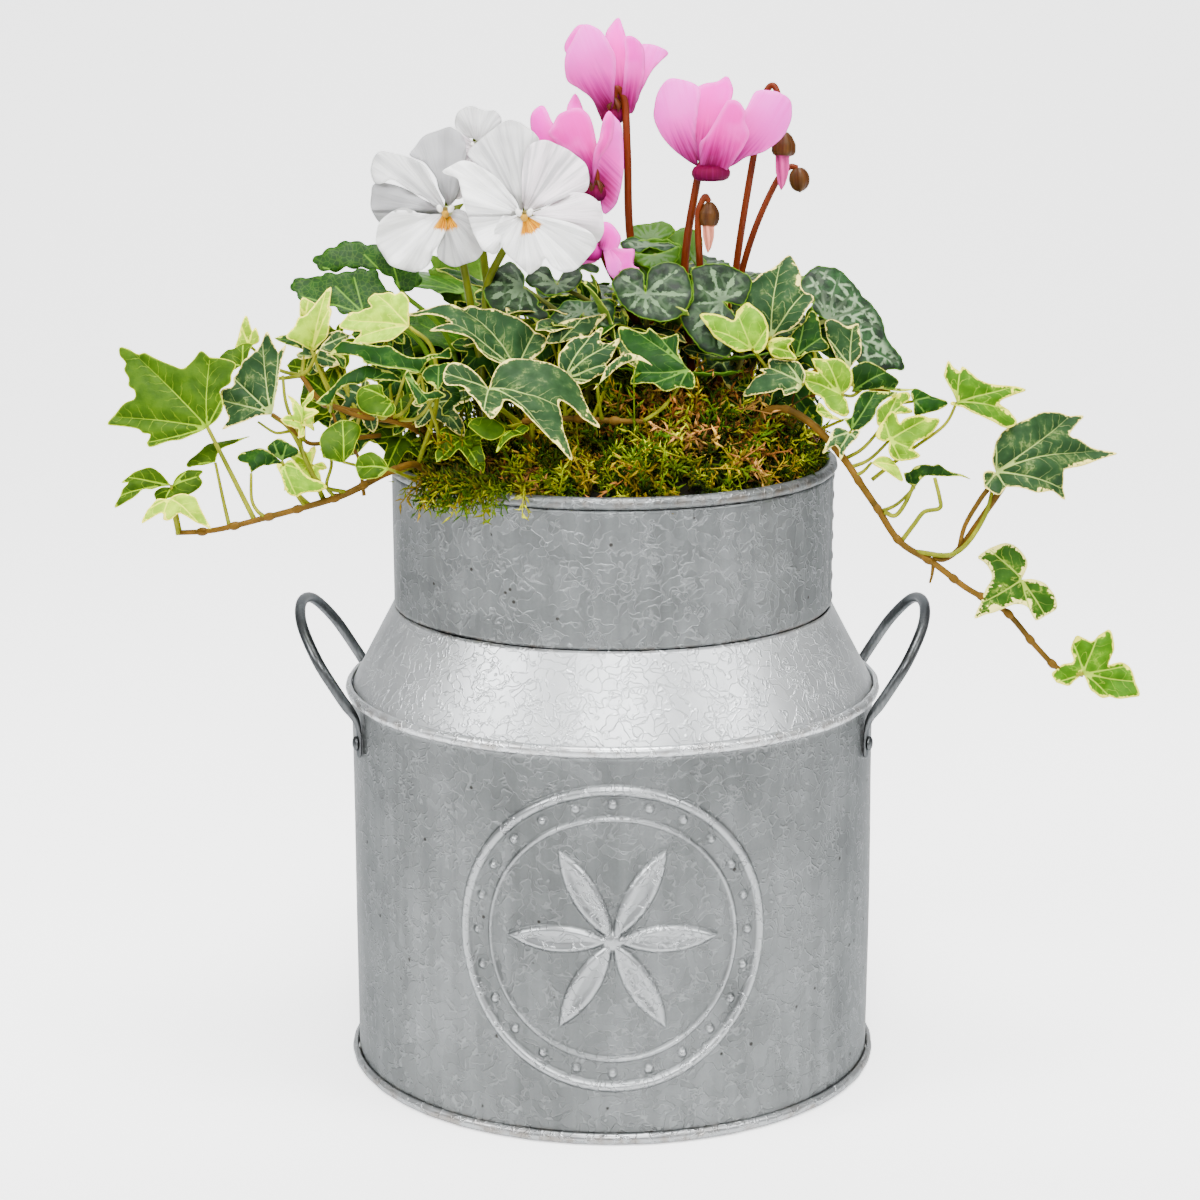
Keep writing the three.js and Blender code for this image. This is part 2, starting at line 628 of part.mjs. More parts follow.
// Small leaves that stay on their stem.
const SMALL_IVY_LEAVES = {
  left_trail: [
    { base: [-176, -59, 257], tip: [-199, -62, 251], face: [0.1, -0.9, 0.4], foot: [[-172, -59, 239]] },
    {
      base: [-168, -63, 255], tip: [-172, -70, 240], face: [0, -0.95, 0.3], spread: 1.4,
      foot: [[-168, -60, 239.5]],
    },
    {
      base: [-140, -62, 264], tip: [-139, -60, 275], face: [0, -0.9, 0.4], spread: 1.5,
      foot: [[-135, -65, 247]],
    },
    {
      base: [-130, -68, 269], tip: [-128, -66, 280], face: [0, -0.95, 0.3], spread: 1.2,
      foot: [[-119, -67, 252]],
    },
    {
      base: [-112, -77, 262], tip: [-131, -78, 274], face: [0.1, -0.8, 0.6], spread: 0.6,
      foot: [[-107, -68, 256]],
    },
    { base: [-105, -76, 270], tip: [-107, -69, 288], face: [0, -0.9, 0.4], foot: [[-98, -64, 260]] },
  ],
  left_upper: [
    {
      base: [-124, -40, 309], tip: [-113, -35, 334], face: [0, -0.95, 0.3], spread: 0.85,
      foot: [[-124, -44, 300]],
    },
    { base: [-112, -34, 296], tip: [-130, -28, 314], face: [-0.1, -0.7, 0.7], foot: [[-101, -44, 285]] },
    { base: [-96, -44, 300], tip: [-104, -40, 318], face: [0, -0.8, 0.6], foot: [[-92, -42, 283]] },
    {
      base: [-128, -42, 302], tip: [-147, -36, 312], face: [-0.1, -0.6, 0.8], spread: 0.8,
      foot: [[-122, -44, 297]],
    },
  ],
  front: [
    {
      base: [-19, -68, 302], tip: [-3, -56, 322], face: [0.1, -0.8, 0.55], spread: 0.9,
      foot: [[-20, -63, 286]],
    },
    {
      base: [20, -76, 303], tip: [8, -66, 324], face: [0.05, -0.85, 0.5], spread: 1.1,
      foot: [[12, -70, 286]],
    },
    { base: [-4, -74, 300], tip: [17, -82, 309], face: [0, -0.7, 0.7], spread: 0.5, foot: [[-4, -67, 286]] },
    {
      base: [-72, -72, 306], tip: [-109, -76, 313], face: [0.05, -0.4, 0.9], spread: 0.5,
      foot: [[-52, -66, 288], [-32, -56, 274]],
    },
  ],
  right_trail: [
    {
      base: [137, -58, 292], tip: [163, -56, 297], face: [0, -0.9, 0.4], spread: 1.1,
      foot: [[122, -62, 274], [98, -62, 260]],
    },
    {
      base: [119, -66, 261], tip: [142, -72, 265], face: [0, -0.5, 0.85], spread: 0.7,
      foot: [[107, -64, 247]],
    },
    {
      base: [162, -66, 222], tip: [143, -78, 209], face: [0, -0.8, 0.55], spread: 1.2,
      foot: [[157, -62, 208]],
    },
    {
      base: [109, -64, 277], tip: [129, -66, 287], face: [0, -0.8, 0.6], spread: 1.1,
      foot: [[95, -60, 264]],
    },
  ],
  right_upper: [
    {
      base: [55, -62, 309], tip: [34, -71, 323], face: [0.1, -0.85, 0.5], spread: 0.9,
      foot: [[60, -46, 300], [72, -34, 296]],
    },
    { base: [97, -46, 303], tip: [93, -40, 321], face: [0, -0.9, 0.45], spread: 0.9, foot: [[98, -40, 296]] },
    {
      base: [76, -56, 299], tip: [53, -70, 297], face: [0.15, -0.6, 0.8], spread: 0.8,
      foot: [[80, -37, 299]],
    },
    {
      base: [92, -50, 294], tip: [73, -62, 306], face: [-0.1, -0.85, 0.5], spread: 1.2,
      foot: [[92, -39, 299]],
    },
    {
      base: [112, -44, 296], tip: [133, -44, 289], face: [0.1, -0.6, 0.8], spread: 0.7,
      foot: [[111, -40, 292]],
    },
  ],
  back: [
    { base: [-14, 60, 292], tip: [14, 72, 300], face: [0.1, 0.4, 0.9], foot: [[-34, 70, 270]] },
    { base: [-52, 58, 290], tip: [-76, 46, 306], face: [-0.3, 0.5, 0.8], foot: [[-34, 67, 269]] },
    { base: [-24, 90, 284], tip: [0, 104, 272], face: [0.1, 0.7, 0.7], foot: [[-38, 86, 270]] },
    { base: [-54, 94, 280], tip: [-84, 98, 278], face: [-0.1, 0.7, 0.7], foot: [[-40, 92, 268]] },
    { base: [-40, 122, 250], tip: [-16, 128, 236], face: [0.1, 0.9, 0.4], foot: [[-46, 110, 250]] },
    { base: [-60, 120, 222], tip: [-74, 126, 198], face: [-0.1, 0.95, 0.25], foot: [[-56, 116, 222]] },
  ],
};

const ivyShoot = (name) => joined([ivyStem(name), ...SMALL_IVY_LEAVES[name].map(leaf)]);

// ---------------------------------------------------------------- the whole planting

const MATERIALS = {
  zinc: { color: 0xb9bcb9, metalness: 0.9, roughness: 0.42 },
  wire: { color: 0x8a8d8c, metalness: 0.9, roughness: 0.5 },
  soil: { color: 0x2e2119, metalness: 0, roughness: 1 },
  moss: { color: 0x8a8a3c, metalness: 0, roughness: 1 },
  tuber: { color: 0x5a4030, metalness: 0, roughness: 0.9 },
  pink: { color: 0xe86a98, metalness: 0, roughness: 0.55 },
  red_stalk: { color: 0x8a4638, metalness: 0, roughness: 0.5 },
  dark_leaf: { color: 0x2f5a3c, metalness: 0, roughness: 0.5 },
  white: { color: 0xf2f0ec, metalness: 0, roughness: 0.6 },
  green_stem: { color: 0x7d9a3c, metalness: 0, roughness: 0.5 },
  ivy: { color: 0x5f8a3e, metalness: 0, roughness: 0.45 },
};

const planting = new THREE.Group();

function put(name, piece, finish) {
  const mesh = new THREE.Mesh(geometryOf(piece), new THREE.MeshStandardMaterial(MATERIALS[finish]));
  mesh.name = name;
  planting.add(mesh);
}

put("churn_base", churnBase(), "zinc");
put("churn_body", churnBody(), "zinc");
put("foot_bead", rolledBead(BEAD.half), "zinc");
put("shoulder_bead", rolledBead(BODY_TOP), "zinc");
put("churn_shoulder", churnShoulder(), "zinc");
put("churn_neck", churnNeck(), "zinc");
put("rim_bead", rimBead(), "zinc");
put("handle_left", handle(-1), "wire");
put("handle_right", handle(1), "wire");
FEET.forEach(({ side, end, turn }) => {
  const name = `rivet_${side > 0 ? "right" : "left"}_${end > 0 ? "back" : "front"}`;
  put(name, rivet(turn), "wire");
});

const ivyNames = Object.keys(IVY_STEMS);
const petioleSleeve = ({ base, foot }) =>
  tube([base, ...foot], PETIOLE + 2 * GAP, { sides: 4, steps: 2 * foot.length });
const rooted = [
  ...ivyNames.map((name) => ivyStem(name, GAP)),
  ...PANSY_STEMS.map((points) => pansyStem(points, GAP)),
  ...PANSY_LEAVES.map(petioleSleeve),
];
put("potting_soil", without(pottingSoil(), [tuber(GAP), ...rooted]), "soil");
put("moss_mat", without(mossMat(), [crownHole(), tuber(GAP), ...rooted]), "moss");
put("cyclamen_tuber", tuber(), "tuber");

FLOWERS.forEach((entry, i) => {
  put(`cyclamen_stalk_${i + 1}`, flowerStalk(entry), "red_stalk");
  put(`cyclamen_flower_${i + 1}`, cyclamenFlower(entry).subtract(stalkSocket(entry)), "pink");
});
BUDS.forEach((entry, i) => put(`cyclamen_bud_${i + 1}`, cyclamenBud(entry), "red_stalk"));
CYCLAMEN_LEAVES.forEach((spec, i) => put(`cyclamen_leaf_${i + 1}`, cyclamenLeaf(spec), "dark_leaf"));

PANSIES.forEach((entry, i) => {
  put(`pansy_flower_${i + 1}`, pansyFlower(entry).subtract(pansyStem(PANSY_STEMS[i], GAP)), "white");
  put(`pansy_stem_${i + 1}`, pansyStem(PANSY_STEMS[i]), "green_stem");
});
PANSY_LEAVES.forEach((spec, i) => put(`pansy_leaf_${i + 1}`, pansyLeaf(spec), "dark_leaf"));

for (const name of ivyNames) put(`ivy_shoot_${name}`, ivyShoot(name), "ivy");
for (const [name, spec] of Object.entries(IVY_LEAVES)) {
  put(name, leaf(spec).subtract(ivyStem(spec.on, GAP)), "ivy");
}

export default planting;
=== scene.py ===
import json
import math

import bpy
import numpy as np
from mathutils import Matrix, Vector, geometry, noise

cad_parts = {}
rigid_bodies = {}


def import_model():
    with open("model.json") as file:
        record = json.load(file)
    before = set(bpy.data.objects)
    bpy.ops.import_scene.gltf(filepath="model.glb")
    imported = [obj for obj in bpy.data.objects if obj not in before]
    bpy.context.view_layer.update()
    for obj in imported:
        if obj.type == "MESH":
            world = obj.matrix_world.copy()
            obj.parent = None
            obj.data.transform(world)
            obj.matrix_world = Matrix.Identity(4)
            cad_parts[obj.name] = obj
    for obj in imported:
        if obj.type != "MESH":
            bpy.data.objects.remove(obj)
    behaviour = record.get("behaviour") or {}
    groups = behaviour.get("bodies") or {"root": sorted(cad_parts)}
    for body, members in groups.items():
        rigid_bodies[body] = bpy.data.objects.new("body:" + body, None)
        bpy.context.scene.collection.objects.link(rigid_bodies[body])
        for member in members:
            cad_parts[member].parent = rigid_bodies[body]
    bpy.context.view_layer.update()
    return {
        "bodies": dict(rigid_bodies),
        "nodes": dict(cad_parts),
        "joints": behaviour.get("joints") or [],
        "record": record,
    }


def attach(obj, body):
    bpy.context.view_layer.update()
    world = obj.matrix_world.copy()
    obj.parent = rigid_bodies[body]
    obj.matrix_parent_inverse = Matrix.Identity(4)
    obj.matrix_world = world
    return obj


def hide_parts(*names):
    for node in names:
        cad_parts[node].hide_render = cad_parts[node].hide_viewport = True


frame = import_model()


# ---------------------------------------------------------------- churn body
# The planter is a small milk churn. Its lower can is one galvanised steel sheet, rolled
# round, and a round medallion is pressed into its front: a rim with studs and a plain
# six-petal rosette.

def paint(red, green, blue):
    """A colour from its 0 to 255 screen values, as the linear light a shader takes."""
    return tuple((value / 255) ** 2.2 for value in (red, green, blue))


class Wire:
    """One socket of a finish. Arithmetic on it adds Math nodes."""

    def __init__(self, finish, socket):
        self.finish = finish
        self.socket = socket

    def maths(self, operation, *values):
        return self.finish.node("Math", {"operation": operation}, values)

    def __add__(self, other):
        return self.maths("ADD", self, other)

    def __sub__(self, other):
        return self.maths("SUBTRACT", self, other)

    def __rsub__(self, other):
        return self.maths("SUBTRACT", other, self)

    def __mul__(self, other):
        return self.maths("MULTIPLY", self, other)

    def __pow__(self, other):
        return self.maths("POWER", self, other)

    __radd__ = __add__
    __rmul__ = __mul__


class Finish:
    """A material: node() adds any node, and the other methods are short ways to common ones."""

    def __init__(self, name):
        self.material = bpy.data.materials.new(name)
        self.material.use_nodes = True
        self.tree = self.material.node_tree
        self.tree.nodes.clear()

    def node(self, kind, settings=None, values=(), out=0):
        made = self.tree.nodes.new("ShaderNode" + kind)
        for key, value in (settings or {}).items():
            if key == "stops":
                ramp = made.color_ramp
                ramp.elements.remove(ramp.elements[0])
                for place, colour in value:
                    ramp.elements.new(place).color = (*colour, 1)
                ramp.elements.remove(ramp.elements[-1])
            else:
                setattr(made, key, value)
        pairs = values.items() if isinstance(values, dict) else enumerate(values)
        for key, value in pairs:
            socket = made.inputs[key]
            if isinstance(value, Wire):
                self.tree.links.new(value.socket, socket)
            elif socket.type == "RGBA":
                socket.default_value = (*value[:3], 1)
            else:
                socket.default_value = value
        return Wire(self, made.outputs[out]) if made.outputs else None

    def field(self, name, out="Vector"):
        """A value or colour that the mesh carries at its points."""
        return self.node("Attribute", {"attribute_name": name}, out=out)

    def split(self, vector):
        """The three numbers of a vector."""
        whole = self.node("SeparateXYZ", None, (vector,))
        outputs = whole.socket.node.outputs
        return [Wire(self, outputs[axis]) for axis in range(3)]

    def where(self):
        """The place on the object, in metres."""
        return self.node("TexCoord", out="Object")

    def stretched(self, vector, scale):
        return self.node("VectorMath", {"operation": "MULTIPLY"}, (vector, scale))

    def noise(self, scale, detail=2.0, vector=None, rough=0.5):
        values = {"Scale": scale, "Detail": detail, "Roughness": rough}
        values["Vector"] = vector or self.where()
        return self.node("TexNoise", None, values)

    def mix(self, share, first, second, blend="MIX"):
        settings = {"data_type": "RGBA", "blend_type": blend}
        return self.node("Mix", settings, {0: share, 6: first, 7: second}, out=2)

    def between(self, value, low, high):
        """0 below low and 1 above high, smoothly, or the reverse where low is the larger."""
        if low > high:
            return 1 - self.between(value, high, low)
        settings = {"interpolation_type": "SMOOTHSTEP"}
        return self.node("MapRange", settings, {0: value, 1: low, 2: high, 3: 0.0, 4: 1.0})

    def bump(self, height, depth, strength=1.0):
        """A normal from a height of 0 to 1, which stands for depth millimetres."""
        values = {"Height": height, "Distance": depth / 1000, "Strength": strength}
        return self.node("Bump", None, values)

    def close(self, shader):
        self.node("OutputMaterial", None, (shader,))

    def surface(self, colour, rough, relief=None, shine=None, metal=None, glow=None, share=0.0):
        """The finished skin. relief is what bump takes, shine and metal are plain numbers, and
        share is how much of the light that comes through has the colour glow."""
        values = {"Base Color": colour, "Roughness": rough}
        if relief:
            values["Normal"] = self.bump(*relief)
        if shine is not None:
            values["Specular IOR Level"] = shine
        if metal is not None:
            values["Metallic"] = metal
            values["Specular Tint"] = (0.4, 0.41, 0.42)
        body = self.node("BsdfPrincipled", None, values)
        if glow:
            light = self.node("BsdfTranslucent", None, {"Color": glow})
            body = self.node("MixShader", None, {0: share, 1: body, 2: light})
        self.close(body)


def ring_of(columns):
    return np.arange(columns) * 2 * math.pi / columns


def piece_from(name, points, faces, material, nodes=(), fields=None):
    """A mesh piece from points in millimetres. It rides on the root."""
    mesh = bpy.data.meshes.new(name)
    mesh.from_pydata((np.asarray(points, float) / 1000).tolist(), [], list(map(tuple, faces)))
    for field, values in (fields or {}).items():
        values = np.asarray(values, np.float32)
        carried = mesh.attributes.new(field, "FLOAT_VECTOR", "POINT")
        carried.data.foreach_set("vector", values.ravel())
    mesh.polygons.foreach_set("use_smooth", [True] * len(mesh.polygons))
    mesh.materials.append(material)
    mesh.update()
    piece = bpy.data.objects.new(name, mesh)
    bpy.context.collection.objects.link(piece)
    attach(piece, "root")
    if nodes:
        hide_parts(*nodes)
    return piece


def lattice(rows, columns, closed_rows=True, closed_columns=True):
    """The quads of a grid of points, rows by columns, which can close on itself either way."""
    row = np.arange(rows if closed_rows else rows - 1)
    column = np.arange(columns if closed_columns else columns - 1)
    a, b = np.meshgrid(row, column, indexing="ij")
    a, b = a.ravel(), b.ravel()
    c, d = (a + 1) % rows, (b + 1) % columns
    return np.stack([a * columns + b, a * columns + d, c * columns + d, c * columns + b], 1)


def capped(rows, columns):
    """The faces of a tube made of rings, with a flat cap at each end."""
    faces = [tuple(face) for face in lattice(rows, columns, closed_rows=False)]
    caps = [tuple(range(columns - 1, -1, -1)), tuple(range((rows - 1) * columns, rows * columns))]
    return faces + caps


def turned(name, outline, angles, material, nodes, proud=None):
    """A closed outline of (radius, height), turned about the churn's axis."""
    radius, height = np.array(outline, float).T
    radius = radius[:, None] * np.ones(len(angles))
    height = height[:, None] * np.ones(len(angles))
    if proud:
        radius = radius + proud(angles[None, :] * np.ones_like(radius), radius, height)
    points = np.stack([radius * np.cos(angles), radius * np.sin(angles), height], 2)
    faces = lattice(len(outline), len(angles))
    return piece_from(name, points.reshape(-1, 3), faces, material, nodes)


BODY_RADIUS = 110.0
BODY_TOP = 163.0
SHEET = 1.0
FRONT = -math.pi / 2
SHOULDER_SEAM = 163.0
NECK_SEAM = 199.0
RIM_LINE = 257.4
MEDALLION_HEIGHT = 86.0
MEDALLION_RADIUS = 61.5
ZINC_PALE = paint(130, 133, 134)
ZINC_MID = paint(105, 108, 108)
ZINC_DEEP = paint(82, 84, 84)
SEAM_BROWN = paint(96, 80, 62)


def zinc_finish():
    """Hot-dip zinc: fine crystals with raised pale borders, cloudy runs, pits and seam stains."""
    zinc = Finish("galvanised_zinc")
    place = zinc.where()
    drift = zinc.node("TexNoise", None, {"Vector": place, "Scale": 95.0, "Detail": 2.0}, out=1)
    warped = zinc.mix(0.012, place, drift, "LINEAR_LIGHT")
    cell = {"feature": "F1"}
    crystal = zinc.node("TexVoronoi", cell, {"Vector": warped, "Scale": 150.0}, out=1)
    shade = zinc.split(crystal)[0]
    to_edge = {"feature": "DISTANCE_TO_EDGE"}
    border = zinc.node("TexVoronoi", to_edge, {"Vector": warped, "Scale": 150.0})
    curl = zinc.between(border, 0.075, 0.01) * zinc.between(zinc.noise(120.0, 1.0), 0.32, 0.48)
    ring = zinc.node("TexVoronoi", cell, {"Vector": warped, "Scale": 210.0})
    loop = zinc.between(zinc.node("Math", {"operation": "ABSOLUTE"}, (ring - 0.42,)), 0.07, 0.01)
    curl = zinc.node("Math", {"operation": "MAXIMUM"},
                     (curl, loop * zinc.between(zinc.noise(85.0, 1.0), 0.54, 0.62)))
    cloud = zinc.noise(22.0, 5.0, rough=0.6)
    grain = zinc.noise(900.0, 2.0)
    runs = zinc.noise(1.0, 3.0, zinc.stretched(place, (170.0, 170.0, 9.0)))
    tone = shade * 0.14 + cloud * 0.66 + runs * 0.42 + grain * 0.12 - 0.145
    stops = [(0.25, ZINC_DEEP), (0.52, ZINC_MID), (0.82, ZINC_PALE)]
    colour = zinc.node("ValToRGB", {"stops": stops}, (tone,))
    colour = zinc.mix(curl * 0.19, colour, paint(170, 173, 174))
    pit_map = zinc.node("TexVoronoi", cell, {"Vector": place, "Scale": 120.0})
    pits = zinc.between(pit_map, 0.12, 0.06) * zinc.between(zinc.noise(95.0, 0.0), 0.54, 0.58)
    colour = zinc.mix(pits * 0.85, colour, paint(50, 46, 42))
    across, deep, height = zinc.split(place)
    reach = (across * across + deep * deep) ** 0.5
    # Raised parts of the medallion and the foot and shoulder beads: their paler colour is a painted
    # highlight, and their lower roughness is rubbing.
    rubbed_and_painted_highlight = zinc.between(reach, 0.1105, 0.1113)
    # Everything below the shoulder is mixed a fifth of the way to near black: painted shade on the
    # can's side.
    lower = zinc.between(height, 0.1592, 0.1588)
    colour = zinc.mix(lower * 0.2, colour, paint(40, 41, 41))
    # The shoulder cone is mixed towards pale grey: a painted reflection of the bright sky above.
    cone = zinc.between(height, 0.159, 0.162) * zinc.between(height, 0.1992, 0.1984)
    colour = zinc.mix(cone * 0.68, colour, paint(200, 203, 205))
    colour = zinc.mix(rubbed_and_painted_highlight * 0.35, colour, paint(196, 199, 201))
    stain = zinc.between(zinc.noise(150.0, 3.0), 0.42, 0.66)
    for seam, far in ((NECK_SEAM, 1.6), (SHOULDER_SEAM, 3.4), (2.5, 4.2), (RIM_LINE, 3.0)):
        off = zinc.node("Math", {"operation": "ABSOLUTE"}, (height - seam / 1000,))
        close_by = zinc.between(off, far / 1000, 0.0)
        colour = zinc.mix(close_by * stain * 0.5, colour, SEAM_BROWN)
    rough = 0.33 + 0.16 * cloud + 0.05 * shade - 0.08 * curl + 0.25 * pits - 0.10 * rubbed_and_painted_highlight
    relief = 0.25 * shade + 0.9 * curl + 0.12 * grain - 0.8 * pits + 0.5 * cloud
    zinc.surface(colour, rough, (relief, 0.3, 0.75), metal=0.85)
    return zinc.material


def dome(off, half):
    """1 on a line, falling to 0 at half a width from it, as a pressed bead does."""
    return np.clip(1 - (off / half) ** 2, 0, 1) ** 0.8


def rosette(across, up):
    """The pressed medallion's height: rim, fine inner ring, studs and a six-petal rosette."""
    reach = np.hypot(across, up)
    height = 1.9 * dome(reach - MEDALLION_RADIUS, 2.2)
    height += 1.2 * dome(reach - 50.0, 1.2)
    wheel = 43.0
    for spoke in range(6):
        turn = math.radians(60 * spoke)
        centre = wheel * np.array([math.cos(turn), math.sin(turn)])
        after = wheel * np.array([math.cos(turn + 2.0944), math.sin(turn + 2.0944)])
        deep = wheel - np.maximum(
            np.hypot(across - centre[0], up - centre[1]), np.hypot(across - after[0], up - after[1])
        )
        height = np.maximum(height, 1.9 * np.clip(deep / 1.6, 0, 1) ** 0.6)
        height -= 0.9 * np.clip((deep - 2.4) / 2.0, 0, 1)
    for stud in range(24):
        turn = math.radians(15 * stud)
        off = np.hypot(across - 55.8 * math.cos(turn), up - 55.8 * math.sin(turn))
        height = np.maximum(height, 1.5 * dome(off, 2.0))
    height = np.maximum(height, 2.0 * dome(reach, 4.5))
    return height


def body_swell(angles, radius, height):
    """The sheet's small waves, and the medallion that is pressed out of its front."""
    across = (angles - FRONT) * BODY_RADIUS
    outer = radius > BODY_RADIUS - 0.5
    swell = 0.16 * np.sin(5 * angles + 0.03 * height) + 0.12 * np.sin(11 * angles - 0.05 * height)
    near = outer & (np.abs(across) < 70)
    return swell + np.where(near, rosette(across, height - MEDALLION_HEIGHT), 0)


fine = np.linspace(-68, 68, 250) / BODY_RADIUS + FRONT
coarse = np.linspace(fine[-1], fine[0] + 2 * math.pi, 132)[1:-1]
body_angles = np.concatenate([fine, coarse])
body_outline = [(BODY_RADIUS - SHEET, 0.3)]
body_outline += [(BODY_RADIUS, z) for z in np.linspace(0.3, 21, 8)]
body_outline += [(BODY_RADIUS, z) for z in np.linspace(22, 150, 236)]
body_outline += [(BODY_RADIUS, z) for z in np.linspace(151, BODY_TOP - 0.3, 5)]
body_outline += [(BODY_RADIUS - SHEET, z) for z in (BODY_TOP - 0.3, 110, 55)]
zinc = zinc_finish()
turned("churn_body_wall", body_outline, body_angles, zinc, ["churn_body"],
       body_swell)


# ------------------------------------------- churn base, shoulder, neck and beads
# A flat disc closes the foot. A pressed cone carries a straight rolled neck with one lapped
# seam, and rolled beads stiffen the foot, the shoulder joint and the rim.

def bead(radius, height, half, proud, sides=14):
    """The outline of a rolled bead: a half round that stands proud of the wall."""
    turn = np.linspace(-math.pi / 2, math.pi / 2, sides)
    front = [(radius + proud * math.cos(a), height + half * math.sin(a)) for a in turn]
    return front + [(radius - 0.2, height + half * 0.6), (radius - 0.2, height - half * 0.6)]


def bead_swell(angles, radius, height):
    """Small pinches where the rolled edge was closed."""
    return 0.14 * np.sin(9 * angles + 1.3) * np.sin(17 * angles) + 0.08 * np.sin(43 * angles)


def neck_swell(angles, radius, height):
    """The neck's small waves, and the step of its lapped seam with a row of spot welds."""
    swell = 0.14 * np.sin(4 * angles + 0.6) + 0.10 * np.sin(9 * angles - 0.06 * height)
    off = (angles - math.radians(352)) * 91.6
    lap = 0.55 * np.clip(1 - np.abs(off) / 6.0, 0, 1) ** 0.25
    weld = 0.5 * np.exp(-((off / 1.2) ** 2)) * (np.cos((height - 203) * 2 * math.pi / 8.5) > 0.75)
    return swell + np.where(radius > 91.3, lap + weld, 0)


def cone_swell(angles, radius, height):
    """The cone's small waves."""
    return 0.2 * np.sin(6 * angles + 0.05 * height) + 0.12 * np.sin(13 * angles)


base_outline = [(0.02, 0.02), (60, 0.02), (108.7, 0.02), (108.7, 1.0), (60, 1.0), (0.02, 1.0)]
turned("churn_base_disc", base_outline, ring_of(96), zinc, ["churn_base"])
cone_rows = np.linspace(0, 1, 26)
cone_outer = [(110.0 - 18.4 * t, 163.0 + 35.7 * t) for t in cone_rows]
cone_inner = [(r - 1.1, z - 0.4) for r, z in reversed(cone_outer[1:-1:4])]
turned("churn_shoulder_cone", cone_outer + cone_inner, ring_of(260), zinc,
       ["churn_shoulder"], cone_swell)
neck_outer = [(91.6, z) for z in np.linspace(199.2, 254.6, 40)]
neck_inner = [(90.6, z) for z in np.linspace(254.6, 199.2, 6)]
turned("churn_neck_wall", neck_outer + neck_inner, ring_of(420), zinc,
       ["churn_neck"], neck_swell)
for name, radius, height in (("foot_bead", 110.3, 2.5), ("shoulder_bead", 110.3, 163.0)):
    turned(name + "_roll", bead(radius, height, 2.4, 2.3), ring_of(300), zinc,
           [name], bead_swell)
rim_turn = ring_of(18)
rim_outline = [(91.1 + 2.5 * math.cos(a), RIM_LINE + 2.5 * math.sin(a)) for a in rim_turn]
turned("rim_bead_roll", rim_outline, ring_of(320), zinc, ["rim_bead"],
       bead_swell)


# ----------------------------------------------------------- handles and rivets
# Each side handle is one bent steel rod. Its two ends are beaten flat into tabs, and a
# domed rivet through each tab holds it to the can just below the shoulder bead.

HANDLE_WIRE = 2.25
TAB_ANGLE = math.radians(19.7)
TAB_RADIUS = 111.35
RIVET_HEIGHT = 146.0


def smooth_path(corners, steps=8):
    """A Catmull-Rom curve through the corners, steps points to each stretch."""
    corners = np.asarray(corners, float)
    ends = np.vstack([2 * corners[0] - corners[1], corners, 2 * corners[-1] - corners[-2]])
    share = np.arange(steps)[:, None] / steps
    found = []
    for a, b, c, d in zip(ends, ends[1:], ends[2:], ends[3:]):
        found.append(0.5 * (2 * b + (c - a) * share + (2 * a - 5 * b + 4 * c - d) * share**2
                            + (3 * b - a - 3 * c + d) * share**3))
    return np.vstack(found + [corners[-1:]])


def unit(vectors):
    return vectors / np.maximum(np.linalg.norm(vectors, axis=-1, keepdims=True), 1e-9)


def rod(path, wide, thick, outward, sides=12):
    """A closed rod along a path. wide and thick are its half sizes, thick along outward."""
    path = np.asarray(path, float)
    along = unit(np.gradient(path, axis=0))
    outward = np.asarray(outward, float) * np.ones_like(path)
    side = unit(np.cross(along, outward))
    face = unit(np.cross(side, along))
    turn = ring_of(sides)
    wide = np.asarray(wide, float) * np.ones(len(path))
    thick = np.asarray(thick, float) * np.ones(len(path))
    ring = path[:, None] + side[:, None] * (wide[:, None] * np.cos(turn))[..., None]
    ring = ring + face[:, None] * (thick[:, None] * np.sin(turn))[..., None]
    points = np.vstack([ring.reshape(-1, 3), path[:1], path[-1:]])
    faces = [tuple(f) for f in lattice(len(path), sides, closed_rows=False)]
    last = (len(path) - 1) * sides
    for k in range(sides):
        faces.append((len(points) - 2, (k + 1) % sides, k))
        faces.append((len(points) - 1, last + k, last + (k + 1) % sides))
    return points, faces


steel = Finish("worn_steel_rod")
steel_cloud = steel.noise(55.0, 4.0)
steel_scratch = steel.noise(1.0, 2.0, steel.stretched(steel.where(), (900.0, 900.0, 160.0)))
steel_stops = [(0.3, paint(58, 59, 60)), (0.55, paint(84, 86, 87)), (0.8, paint(122, 124, 125))]
steel_tone = steel_cloud * 0.7 + steel_scratch * 0.3
steel.surface(steel.node("ValToRGB", {"stops": steel_stops}, (steel_tone,)),
              0.24 + 0.22 * steel_cloud, (steel_scratch, 0.08, 0.35), metal=0.95)

